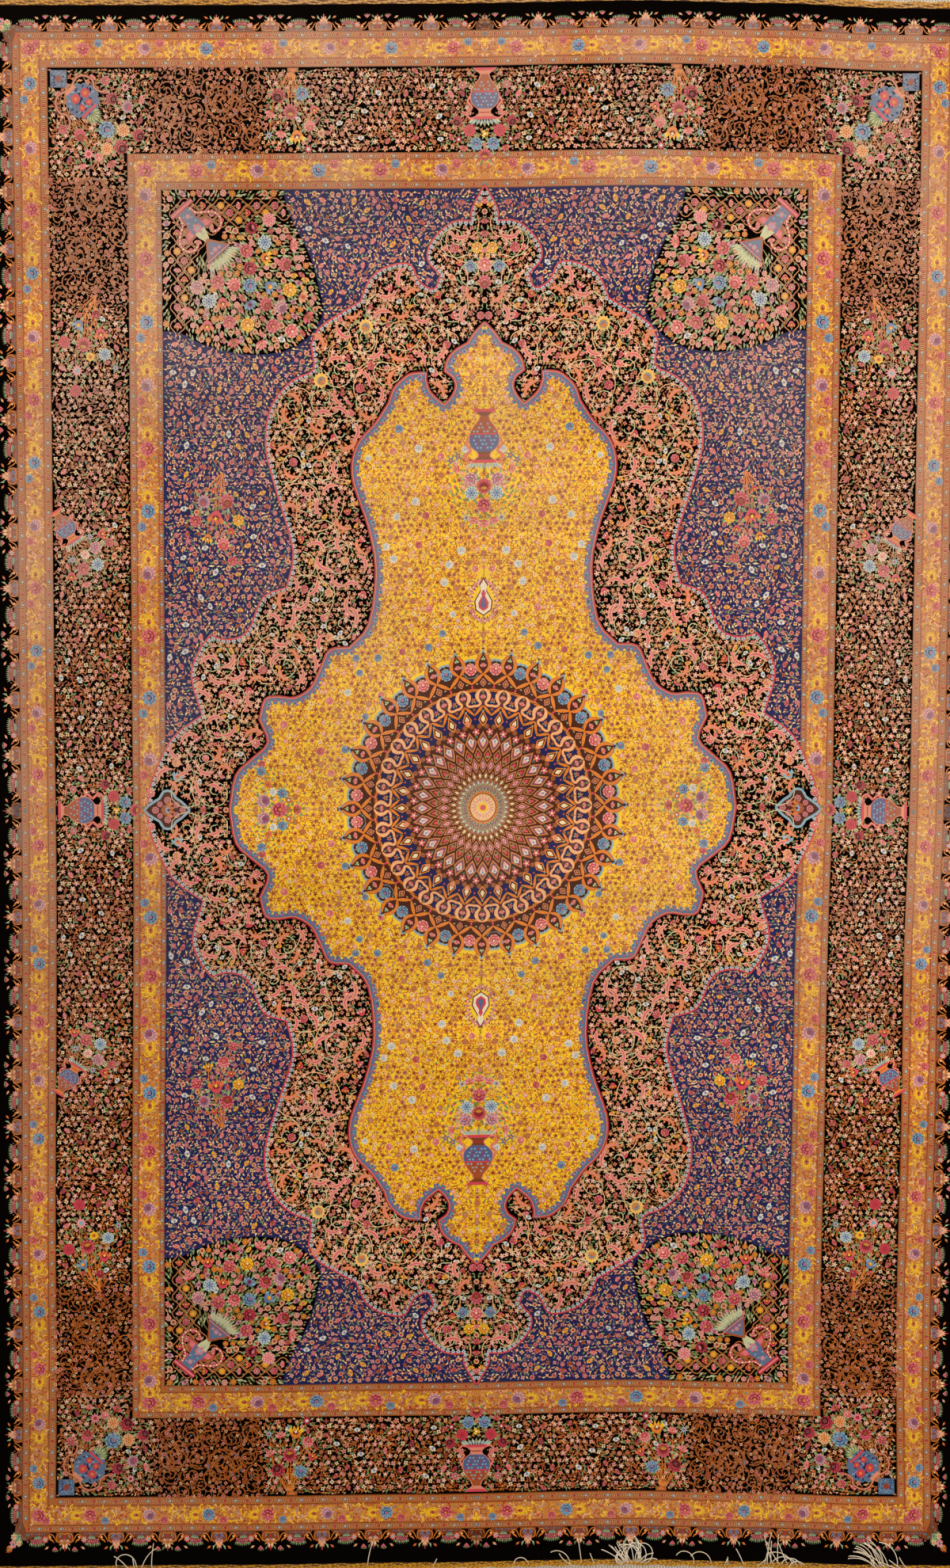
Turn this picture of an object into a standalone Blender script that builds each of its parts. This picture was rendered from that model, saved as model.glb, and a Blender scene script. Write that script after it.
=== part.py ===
"""Hand-knotted silk rug, lying flat.

The rug is one woven cloth: a knotted pile with a thin flat-woven band at each short end. Black overcasting
is bound along its long sides, and a fringe of warp ends lies beyond each short end. On the near end (-Y)
some of the warp ends are folded back over the rug's edge. Metres, +Z up, +Y towards the far short end.
"""

import math
import random
from collections import namedtuple

import bmesh
import bpy
from mathutils import Vector

# Driving dimensions.
HALF_WIDTH = 0.797
HALF_PILE_LENGTH = 1.2575
PILE_THICKNESS = 0.0050
END_BAND_WIDTH = 0.010
END_BAND_THICKNESS = 0.0026
BINDING_WIDTH = 0.0060
BINDING_HEIGHT = 0.0048
BINDING_ROUNDING = 0.22
GAP = 0.0003

# Where the middle of the design lies, so that the whole rug's box stands over the origin.
MIDDLE_X = 0.0040
MIDDLE_Y = 0.0004

# The weave drifts sideways towards the near end.
LEAN_FAR = 0.0025
LEAN_NEAR = -0.0105
LEAN_LENGTH = 0.86

# Fringe.
HEADING_WIDTH = 0.0030
HEADING_HEIGHT = 0.0024
STRAND_PITCH = 0.0160
STRAND_WIDTH = 0.0021
STRAND_HEIGHT = 0.0016
STRAND_LENGTH = 0.058
STRAND_TAPER = 0.35
STRAND_SINK_RATE = 1.6
STRAND_SWAY = 0.0038
SWAY_STEP = 0.9
SWAY_CHANCE = 0.0010
RIPPLE_CHANCE = 0.0012
LENGTH_SHARES = (1.0, 0.97, 0.93, 0.98)
STRAND_STEPS = 4
FRINGE_SEEDS = {"far": 11, "near": 23}
END_MARGIN = 0.006
NEAREST_ROOTS = 0.0042
FOLD_STEPS = 13
FOLD_CURL_TURN = 1.3

CLOTH_COLUMNS = 24
CLOTH_ROWS = 20

# How far the short ends wander from a straight line, seen across the width.
EdgePoint = namedtuple("EdgePoint", "x far near")
EDGE_WAVE = (
    EdgePoint(-0.85, -0.001, -0.007),
    EdgePoint(-0.40, -0.001, -0.004),
    EdgePoint(-0.10, 0.001, 0.000),
    EdgePoint(0.25, 0.006, 0.006),
    EdgePoint(0.45, 0.002, 0.002),
    EdgePoint(0.65, -0.006, -0.004),
    EdgePoint(0.85, -0.009, -0.006),
)

# One straight warp end's own drift to the side, its ripple, and its share of the full length.
Sway = namedtuple("Sway", "side ripple length")

# Warp ends folded back over the near edge: where each bunch starts, how many, and how it fans and curls.
FoldedBunch = namedtuple("FoldedBunch", "x count spacing reach lean_first lean_last curl")
FOLDED_BUNCHES = (
    FoldedBunch(-0.560, 3, 0.014, 0.030, -0.20, 0.55, 0.004),
    FoldedBunch(-0.176, 1, 0.010, 0.036, 0.10, 0.10, 0.005),
    FoldedBunch(-0.073, 1, 0.010, 0.016, -0.30, -0.30, 0.003),
    FoldedBunch(0.062, 2, 0.012, 0.020, -0.30, 0.30, 0.004),
    FoldedBunch(0.128, 3, 0.013, 0.022, -0.35, 0.40, 0.003),
    FoldedBunch(0.186, 1, 0.010, 0.018, 0.25, 0.25, 0.004),
    FoldedBunch(0.232, 7, 0.0075, 0.028, -0.45, 0.60, 0.005),
    FoldedBunch(0.330, 3, 0.014, 0.020, -0.30, 0.40, 0.004),
    FoldedBunch(0.418, 1, 0.010, 0.022, 0.20, 0.20, 0.003),
    FoldedBunch(0.452, 6, 0.0130, 0.036, -0.60, 0.50, 0.006),
    FoldedBunch(0.612, 7, 0.0110, 0.034, -0.50, 0.30, 0.006),
)

# A folded strand's rise over the edge: way out from the heading, and height of its middle line.
TurnPoint = namedtuple("TurnPoint", "out height")
FOLD_TURN = (
    TurnPoint(0.0000, 0.0012),
    TurnPoint(0.0040, 0.0011),
    TurnPoint(0.0072, 0.0021),
    TurnPoint(0.0084, 0.0040),
    TurnPoint(0.0070, 0.0060),
    TurnPoint(0.0030, 0.0072),
    TurnPoint(-0.0040, 0.0076),
    TurnPoint(-0.0120, 0.0072),
    TurnPoint(-0.0180, 0.0065),
)
FOLD_REST_HEIGHT = 0.0062

PILE_COLOUR = (0.20, 0.085, 0.045)
BINDING_COLOUR = (0.010, 0.008, 0.007)
WARP_COLOUR = (0.72, 0.63, 0.47)


def clear_scene():
    """Removes everything that the scene starts with."""
    for obj in list(bpy.data.objects):
        bpy.data.objects.remove(obj, do_unlink=True)


def silk(name, colour, roughness):
    """Returns a material for dyed silk."""
    material = bpy.data.materials.new(name)
    material.use_nodes = True
    shader = material.node_tree.nodes["Principled BSDF"]
    shader.inputs["Base Color"].default_value = (*colour, 1.0)
    shader.inputs["Roughness"].default_value = roughness
    shader.inputs["Metallic"].default_value = 0.0
    material.diffuse_color = (*colour, 1.0)
    return material


def ease(t):
    """Returns a smooth step from 0 to 1 for t from 0 to 1."""
    t = min(1.0, max(0.0, t))
    return t * t * (3.0 - 2.0 * t)


def lean(y):
    """Returns x of the rug's lengthwise middle line at y, as it drifts sideways."""
    target = LEAN_FAR if y > 0.0 else LEAN_NEAR
    return MIDDLE_X + target * ease(abs(y) / LEAN_LENGTH)


def edge_wave(x, end):
    """Returns how far a short end lies from its straight line at x; end is 'far' or 'near'."""
    for before, after in zip(EDGE_WAVE, EDGE_WAVE[1:]):
        if x <= after.x or after is EDGE_WAVE[-1]:
            t = ease((x - before.x) / (after.x - before.x))
            return getattr(before, end) * (1.0 - t) + getattr(after, end) * t


def row_y(x, y):
    """Returns y moved by the waves of both short ends, in proportion to how near each one is."""
    far_share = ease(0.5 + 0.5 * y / HALF_PILE_LENGTH)
    return y + MIDDLE_Y + far_share * edge_wave(x, "far") + (1.0 - far_share) * edge_wave(x, "near")


def rug_point(across, y, z):
    """Returns the place of a point of the cloth; across runs from -1 at the left side to 1 at the right."""
    x = across * HALF_WIDTH
    return Vector((x + lean(y), row_y(x, y), z))


def new_object(name, mesh_data, material, smooth_angle=None):
    """Turns a bmesh into an object of the scene with outward faces."""
    bmesh.ops.recalc_face_normals(mesh_data, faces=mesh_data.faces)
    mesh = bpy.data.meshes.new(name)
    mesh_data.to_mesh(mesh)
    mesh_data.free()
    mesh.materials.append(material)
    if smooth_angle is not None:
        mesh.shade_smooth()
        mesh.set_sharp_from_angle(angle=smooth_angle)
    obj = bpy.data.objects.new(name, mesh)
    bpy.context.scene.collection.objects.link(obj)
    return obj


def join_rings(mesh_data, rings, capped=True):
    """Skins closed rings of vertices one after the other, and closes both ends."""
    for ring, following in zip(rings, rings[1:]):
        count = len(ring)
        for i in range(count):
            j = (i + 1) % count
            mesh_data.faces.new((ring[i], ring[j], following[j], following[i]))
    if capped:
        mesh_data.faces.new(list(reversed(rings[0])))
        mesh_data.faces.new(rings[-1])


def pile_row(i):
    """Returns y of the cloth's row i, from 0 at the near end of the pile to CLOTH_ROWS at its far end."""
    return -HALF_PILE_LENGTH + 2.0 * HALF_PILE_LENGTH * i / CLOTH_ROWS


def cloth_profile():
    """Returns (y, z) round the cloth's lengthwise section, from the near end over the top and back below."""
    pile_rows = [pile_row(i) for i in range(CLOTH_ROWS + 1)]
    near_end = -HALF_PILE_LENGTH - END_BAND_WIDTH
    far_end = HALF_PILE_LENGTH + END_BAND_WIDTH
    over = [(near_end, 0.0), (near_end, END_BAND_THICKNESS), (-HALF_PILE_LENGTH, END_BAND_THICKNESS)]
    over += [(y, PILE_THICKNESS) for y in pile_rows]
    over += [(HALF_PILE_LENGTH, END_BAND_THICKNESS), (far_end, END_BAND_THICKNESS), (far_end, 0.0)]
    below = [(y, 0.0) for y in reversed(pile_rows)]
    return over + below


def make_cloth(material):
    """Makes the woven cloth: pile and both flat-woven ends in one body."""
    mesh_data = bmesh.new()
    profile = cloth_profile()
    rings = []
    for column in range(CLOTH_COLUMNS + 1):
        across = -1.0 + 2.0 * column / CLOTH_COLUMNS
        rings.append([mesh_data.verts.new(rug_point(across, y, z)) for y, z in profile])
    join_rings(mesh_data, rings, capped=False)
    close_side(mesh_data, rings[0])
    close_side(mesh_data, rings[-1])
    return new_object("rug_cloth", mesh_data, material)


def close_side(mesh_data, ring):
    """Closes one long side of the cloth with a strip of faces between its upper and lower edges."""
    near_band, near_step = ring[0:2], ring[2]
    top = ring[3:3 + CLOTH_ROWS + 1]
    far_step, *far_band = ring[3 + len(top):3 + len(top) + 3]
    below = list(reversed(ring[3 + len(top) + 3:]))
    for i in range(CLOTH_ROWS):
        corners = [top[i], top[i + 1], below[i + 1], below[i]]
        if i == 0:
            corners.append(near_step)
        if i == CLOTH_ROWS - 1:
            corners.insert(2, far_step)
        mesh_data.faces.new(corners)
    mesh_data.faces.new((*near_band, near_step, below[0]))
    mesh_data.faces.new((*reversed(far_band), far_step, below[-1]))


def make_binding(name, side, material):
    """Makes the overcasting along one long side; side is -1 for left and 1 for right."""
    end = HALF_PILE_LENGTH + END_BAND_WIDTH
    rows = [-end] + [pile_row(i) for i in range(CLOTH_ROWS + 1)] + [end]
    half = BINDING_WIDTH / 2.0
    corner = BINDING_WIDTH * BINDING_ROUNDING
    lift = BINDING_HEIGHT * BINDING_ROUNDING
    section = (
        (-half + corner, 0.0),
        (half - corner, 0.0),
        (half, lift),
        (half, BINDING_HEIGHT - lift),
        (half - corner, BINDING_HEIGHT),
        (-half + corner, BINDING_HEIGHT),
        (-half, BINDING_HEIGHT - lift),
        (-half, lift),
    )
    mesh_data = bmesh.new()
    rings = []
    for y in rows:
        edge = rug_point(side, y, 0.0)
        middle = edge.x + side * (GAP + half)
        rings.append([mesh_data.verts.new((middle + offset, edge.y, z)) for offset, z in section])
    join_rings(mesh_data, rings)
    return new_object(name, mesh_data, material, math.radians(50.0))


def heading_line(x, end):
    """Returns y of the heading's inner edge at x, just clear of the cloth's end between two of its columns."""
    sign = 1.0 if end == "far" else -1.0
    y = sign * (HALF_PILE_LENGTH + END_BAND_WIDTH)
    place = ((x - lean(y)) / HALF_WIDTH + 1.0) * 0.5 * CLOTH_COLUMNS
    column = min(CLOTH_COLUMNS - 1, max(0, math.floor(place)))
    before, after = (rug_point(-1.0 + 2.0 * c / CLOTH_COLUMNS, y, 0.0).y for c in (column, column + 1))
    return before + (after - before) * (place - column) + sign * GAP


def straight_strand(x, end, sway):
    """Returns the rings' corners of a warp end that lies on the floor, tapering to its tip."""
    sign = 1.0 if end == "far" else -1.0
    root = heading_line(x, end) + sign * HEADING_WIDTH
    rings = []
    for step in range(1, STRAND_STEPS + 1):
        t = step / STRAND_STEPS
        bend = sway.side * t * t + sway.ripple * math.sin(math.pi * 2.0 * t) * t
        half = 0.5 * STRAND_WIDTH * (1.0 - STRAND_TAPER * t)
        top = HEADING_HEIGHT + (STRAND_HEIGHT - HEADING_HEIGHT) * min(1.0, STRAND_SINK_RATE * t)
        y = root + sign * STRAND_LENGTH * sway.length * t
        middle = x + bend
        rings.append([
            Vector((middle - half, y, 0.0)),
            Vector((middle + half, y, 0.0)),
            Vector((middle + half, y, top)),
            Vector((middle - half, y, top)),
        ])
    return rings


def folded_line(x, bunch, lean_angle, end):
    """Returns the middle line of a warp end folded back over the edge, from its root."""
    sign = 1.0 if end == "far" else -1.0
    root = heading_line(x, end) + sign * HEADING_WIDTH
    points = [Vector((x, root + sign * p.out, p.height)) for p in FOLD_TURN]
    steps_left = FOLD_STEPS - len(FOLD_TURN)
    start = points[-1]
    for step in range(1, steps_left + 1):
        t = step / steps_left
        inward = bunch.reach * t
        sideways = math.tan(lean_angle) * inward + bunch.curl * math.sin(math.pi * FOLD_CURL_TURN * t)
        points.append(Vector((start.x + sideways, start.y - sign * inward, FOLD_REST_HEIGHT)))
    return points


def tube_rings(points, sign):
    """Returns the corners of four-sided rings carried along a line without twist."""
    side = Vector((1.0, 0.0, 0.0))
    up = Vector((0.0, 0.0, 1.0))
    direction = Vector((0.0, sign, 0.0))
    rings = []
    for i in range(1, len(points)):
        before = points[i] - points[i - 1]
        after = points[i + 1] - points[i] if i + 1 < len(points) else before
        turned = (before.normalized() + after.normalized()).normalized()
        turn = direction.rotation_difference(turned)
        side, up, direction = turn @ side, turn @ up, turned
        half_width = side * (0.5 * STRAND_HEIGHT)
        half_height = up * (0.5 * STRAND_HEIGHT)
        rings.append([
            points[i] - half_width - half_height,
            points[i] + half_width - half_height,
            points[i] + half_width + half_height,
            points[i] - half_width + half_height,
        ])
    return rings


def strand_plan(end):
    """Returns a list of (root x, rings) for every warp end of one fringe, from left to right."""
    sign = 1.0 if end == "far" else -1.0
    folded = []
    if end == "near":
        for bunch in FOLDED_BUNCHES:
            for i in range(bunch.count):
                share = i / (bunch.count - 1) if bunch.count > 1 else 0.0
                angle = bunch.lean_first + (bunch.lean_last - bunch.lean_first) * share
                x = bunch.x + bunch.spacing * i
                folded.append((x, tube_rings(folded_line(x, bunch, angle, end), sign)))
    drift = lean(sign * HALF_PILE_LENGTH)
    left = -HALF_WIDTH + drift + END_MARGIN
    count = round((2.0 * HALF_WIDTH - 2.0 * END_MARGIN) / STRAND_PITCH)
    pitch = (2.0 * HALF_WIDTH - 2.0 * END_MARGIN) / count
    chance = random.Random(FRINGE_SEEDS[end])
    straight = []
    for i in range(count + 1):
        sway = Sway(
            STRAND_SWAY * math.sin(SWAY_STEP * i) + chance.uniform(-SWAY_CHANCE, SWAY_CHANCE),
            chance.uniform(-RIPPLE_CHANCE, RIPPLE_CHANCE),
            chance.choice(LENGTH_SHARES),
        )
        x = left + pitch * i
        if all(abs(x - root) > NEAREST_ROOTS for root, _ in folded):
            straight.append((x, straight_strand(x, end, sway)))
    return sorted(folded + straight, key=lambda strand: strand[0])


def make_fringe(name, end, material):
    """Makes one fringe: a narrow heading strip from whose outer face every warp end grows."""
    sign = 1.0 if end == "far" else -1.0
    strands = strand_plan(end)
    drift = lean(sign * HALF_PILE_LENGTH)
    stations = [-HALF_WIDTH + drift]
    for x, _ in strands:
        stations += [x - STRAND_WIDTH / 2.0, x + STRAND_WIDTH / 2.0]
    stations.append(HALF_WIDTH + drift)
    mesh_data = bmesh.new()
    columns = []
    for x in stations:
        inner = heading_line(x, end)
        outer = inner + sign * HEADING_WIDTH
        places = ((inner, 0.0), (outer, 0.0), (outer, HEADING_HEIGHT), (inner, HEADING_HEIGHT))
        columns.append([mesh_data.verts.new((x, y, z)) for y, z in places])
    for index, (column, following) in enumerate(zip(columns, columns[1:])):
        for i in range(4):
            j = (i + 1) % 4
            is_root = index % 2 == 1 and i == 1
            if not is_root:
                mesh_data.faces.new((column[i], column[j], following[j], following[i]))
    mesh_data.faces.new(columns[0])
    mesh_data.faces.new(columns[-1])
    for number, (_, rings) in enumerate(strands):
        before, after = columns[2 * number + 1], columns[2 * number + 2]
        root = [before[1], after[1], after[2], before[2]]
        grown = [[mesh_data.verts.new(corner) for corner in ring] for ring in rings]
        join_rings(mesh_data, [root] + grown, capped=False)
        mesh_data.faces.new(grown[-1])
    return new_object(name, mesh_data, material)


def main():
    """Builds the whole rug."""
    clear_scene()
    pile = silk("rug_silk", PILE_COLOUR, 0.55)
    binding = silk("binding_silk", BINDING_COLOUR, 0.55)
    warp = silk("warp_silk", WARP_COLOUR, 0.50)
    make_cloth(pile)
    make_binding("side_binding_left", -1, binding)
    make_binding("side_binding_right", 1, binding)
    make_fringe("fringe_top", "far", warp)
    make_fringe("fringe_bottom", "near", warp)


main()
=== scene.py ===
"""Looks of a hand-knotted silk rug that lies flat on a pale floor.

The knotted pattern is drawn as thin coloured shapes on the pile, in millimetres from the middle of the
rosette. One quarter is drawn and mirrored, and the weave's drift is then applied. Metres in the scene.
"""

import logging
import math
from collections.abc import Sequence
from dataclasses import dataclass, field
from enum import Enum

import bpy
import numpy as np
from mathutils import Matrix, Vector
from mathutils.geometry import delaunay_2d_cdt
from mathutils.kdtree import KDTree


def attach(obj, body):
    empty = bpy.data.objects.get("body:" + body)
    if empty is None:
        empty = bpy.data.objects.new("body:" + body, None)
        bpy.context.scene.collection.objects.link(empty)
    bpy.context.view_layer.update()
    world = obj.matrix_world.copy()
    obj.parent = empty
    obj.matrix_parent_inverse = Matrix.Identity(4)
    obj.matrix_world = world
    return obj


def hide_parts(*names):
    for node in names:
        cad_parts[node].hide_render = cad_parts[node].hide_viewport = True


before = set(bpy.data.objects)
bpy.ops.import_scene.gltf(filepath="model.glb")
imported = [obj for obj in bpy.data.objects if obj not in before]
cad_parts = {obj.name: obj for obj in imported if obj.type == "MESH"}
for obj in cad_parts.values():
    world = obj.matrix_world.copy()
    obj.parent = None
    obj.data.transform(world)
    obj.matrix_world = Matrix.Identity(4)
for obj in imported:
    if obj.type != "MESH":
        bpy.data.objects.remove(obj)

LOG = logging.getLogger("rug")
MM = 0.001
BODY = "root"
YARN_ATTRIBUTE = "yarn"
BAKE_UV = "OFBake"

# The cloth, as the frame has it.
HALF_WIDTH = 0.797
HALF_PILE_LENGTH = 1.2575
PILE_THICKNESS = 0.0050
END_BAND_WIDTH = 0.010
END_BAND_THICKNESS = 0.0026
BINDING_WIDTH = 0.0060
BINDING_HEIGHT = 0.0048
BINDING_GAP = 0.0003
MIDDLE_X = 0.0040
MIDDLE_Y = 0.0004
LEAN_FAR = 0.0025
LEAN_NEAR = -0.0105
LEAN_LENGTH = 0.86
EDGE_WAVE = (
    (-0.85, -0.001, -0.007),
    (-0.40, -0.001, -0.004),
    (-0.10, 0.001, 0.000),
    (0.25, 0.006, 0.006),
    (0.45, 0.002, 0.002),
    (0.65, -0.006, -0.004),
    (0.85, -0.009, -0.006),
)
CLOTH_COLUMNS = 24

# Lengthwise place of the design's main lines: as drawn, and as woven in the far and the near half.
ROSETTE_Y = -0.0083
DRAWN_ROWS = (0.0, 960.0, 1019.0, 1148.0, 1205.0, 1230.0, 1257.0)
FAR_ROWS = (0.0, 981.0, 1037.0, 1170.0, 1225.0, 1248.0, 1266.0)
NEAR_ROWS = (0.0, 946.5, 1001.0, 1133.5, 1192.5, 1221.0, 1249.3)
MEDALLION_NEAR = 1.006
# The drawing's sideways pull, in metres: at the near corners and at the right side's waist.
EDGE_START = 0.744
FLARE, FLARE_FROM, FLARE_REACH = 0.0060, 0.85, 0.30
WAIST, WAIST_Y, WAIST_REACH = 0.0050, -0.24, 0.20

# Pile relief.
LEVEL_STEP = 0.00005
WAVE_HEIGHT = 0.0004
BUMP_DEPTH = 0.0004
GOLDEN = 0.6180339887

# A drawn point, a linear colour, and a place kept bare as x, y and radius.
Point = tuple[float, float]
Colour = tuple[float, float, float]
Spot = tuple[float, float, float]


def linear(value: Sequence[float]) -> Colour:
    """Turns an sRGB colour of 0 to 255 into a linear one.

    Args:
        value: Red, green and blue.

    Returns:
        The linear colour, 0 to 1.
    """
    parts = [v / 255.0 for v in value]
    return tuple(p / 12.92 if p <= 0.04045 else ((p + 0.055) / 1.055) ** 2.4 for p in parts)


class Yarn(Enum):
    """The dyed silks, as sRGB values."""

    BLACK = (6, 3, 2)
    SOOT = (30, 16, 12)
    NAVY = (32, 36, 84)
    SLATE = (84, 96, 140)
    BLUE = (88, 124, 168)
    STEEL = (86, 112, 146)
    UMBER = (74, 36, 24)
    COPPER = (178, 98, 40)
    OCHRE = (206, 128, 50)
    SKY = (138, 172, 190)
    ICE = (204, 216, 214)
    LILAC = (160, 118, 142)
    PLUM = (112, 62, 92)
    WINE = (118, 26, 38)
    RED = (176, 38, 52)
    ROSE = (214, 66, 84)
    PINK = (228, 122, 132)
    BLUSH = (238, 170, 158)
    SALMON = (226, 140, 112)
    RUST = (166, 78, 34)
    BROWN = (124, 62, 26)
    HONEY = (186, 98, 26)
    TAN = (198, 120, 62)
    AMBER = (226, 126, 36)
    GOLD = (214, 152, 44)
    YELLOW = (252, 204, 34)
    PEACH = (240, 184, 132)
    CREAM = (244, 220, 172)
    IVORY = (240, 226, 196)
    OLIVE = (124, 122, 58)
    GREEN = (112, 136, 84)
    MINT = (158, 186, 136)
    PISTACHIO = (204, 204, 156)
    PINE = (58, 76, 48)

    @property
    def rgb(self) -> Colour:
        """The linear colour."""
        return linear(self.value)


def dyed(names: str) -> tuple[Yarn, ...]:
    """The palette of the yarns that are named, with spaces between them."""
    return tuple(Yarn[name] for name in names.split())


def lots(names: str) -> tuple[tuple[Yarn, ...], ...]:
    """Several palettes, parted by commas."""
    return tuple(dyed(part) for part in names.split(","))


def tinted(palette: Sequence[Yarn], count: int = 1) -> np.ndarray:
    """A palette's linear colours, once for each of so many copies."""
    return np.tile([[yarn.rgb for yarn in palette]], (count, 1, 1))


class Symmetry(Enum):
    """The mirrored copies that a drawn shape gets."""

    FOUR = ((1, 1), (-1, 1), (1, -1), (-1, -1))
    ENDS = ((1, 1), (1, -1))
    SIDES = ((1, 1), (-1, 1))
    ONCE = ((1, 1),)


class Zone(Enum):
    """The parts of the pile that become pieces of their own."""

    BORDER = "border"
    FIELD = "field"
    MEDALLION = "medallion"


def ease(share: np.ndarray) -> np.ndarray:
    """A smooth step from 0 to 1."""
    held = np.clip(share, 0.0, 1.0)
    return held * held * (3.0 - 2.0 * held)


def lean(y: np.ndarray) -> np.ndarray:
    """Sideways place of the cloth's middle line.

    Args:
        y: Lengthwise places in metres.

    Returns:
        The middle line's x at each place.
    """
    return MIDDLE_X + np.where(y > 0, LEAN_FAR, LEAN_NEAR) * ease(np.abs(y) / LEAN_LENGTH)


def edge_wave(x: np.ndarray, end: int) -> np.ndarray:
    """How far a short end wanders from straight.

    Args:
        x: Places across, in metres.
        end: 1 for the far end and 2 for the near one.

    Returns:
        The wandering at each place.
    """
    knots = np.array(EDGE_WAVE)
    x = np.clip(x, knots[0, 0], knots[-1, 0])
    slot = np.clip(np.searchsorted(knots[:, 0], x, side="right") - 1, 0, len(knots) - 2)
    share = ease((x - knots[slot, 0]) / (knots[slot + 1, 0] - knots[slot, 0]))
    return knots[slot, end] * (1.0 - share) + knots[slot + 1, end] * share


def row_y(x: np.ndarray, y: np.ndarray) -> np.ndarray:
    """Lengthwise place of a woven row, with the short ends' wandering faded along the rug.

    Args:
        x: Places across, in metres.
        y: Places along, in metres, as if the ends were straight.

    Returns:
        The woven places along.
    """
    share = ease(0.5 + 0.5 * y / HALF_PILE_LENGTH)
    return y + MIDDLE_Y + share * edge_wave(x, 1) + (1.0 - share) * edge_wave(x, 2)


def pull(x: np.ndarray, y: np.ndarray) -> np.ndarray:
    """How far the drawing is pulled sideways: wider at the near corners, narrower at the right side's waist.

    Args:
        x: Places across the cloth, before it leans.
        y: Places along it.

    Returns:
        The shift of each, none on the cloth's own sides.
    """
    share = np.minimum(np.abs(x) / EDGE_START, (HALF_WIDTH - np.abs(x)) / (HALF_WIDTH - EDGE_START))
    flare = FLARE * np.clip((-y - FLARE_FROM) / FLARE_REACH, 0.0, 1.0) ** 1.6
    waist = WAIST * np.exp(-(((y - WAIST_Y) / WAIST_REACH) ** 2)) * (x > 0)
    return np.sign(x) * share * (flare - waist)


def swell(x: np.ndarray, y: np.ndarray) -> np.ndarray:
    """Soft waves of a silk rug on a floor, as height over the flat pile.

    Args:
        x: Places across, in metres.
        y: Places along, in metres.

    Returns:
        Heights in metres, near zero on the average.
    """
    far = np.clip((y + 0.2) / 1.2, 0.0, 1.0)
    waves = 0.55 * np.sin(11.0 * y + 1.9 * x + 0.6) * np.cos(3.1 * x - 0.4)
    waves = waves + 0.45 * np.sin(7.3 * x - 2.2 * y + 1.1)
    return WAVE_HEIGHT * waves * (0.45 + 0.55 * far)


def weave(points: np.ndarray) -> tuple[np.ndarray, np.ndarray]:
    """Places drawn points on the rug.

    Args:
        points: Points in millimetres from the rosette's middle, one to a row.

    Returns:
        Their x and y on the rug, in metres.
    """
    u, v = points[:, 0] * MM, points[:, 1]
    far = np.interp(np.abs(v), DRAWN_ROWS, FAR_ROWS)
    near = np.interp(np.abs(v), DRAWN_ROWS, NEAR_ROWS)
    y = ROSETTE_Y + np.where(v > 0, far, -near) * MM
    x = u + lean(y) + pull(u, y)
    return x, row_y(u, y)


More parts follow.
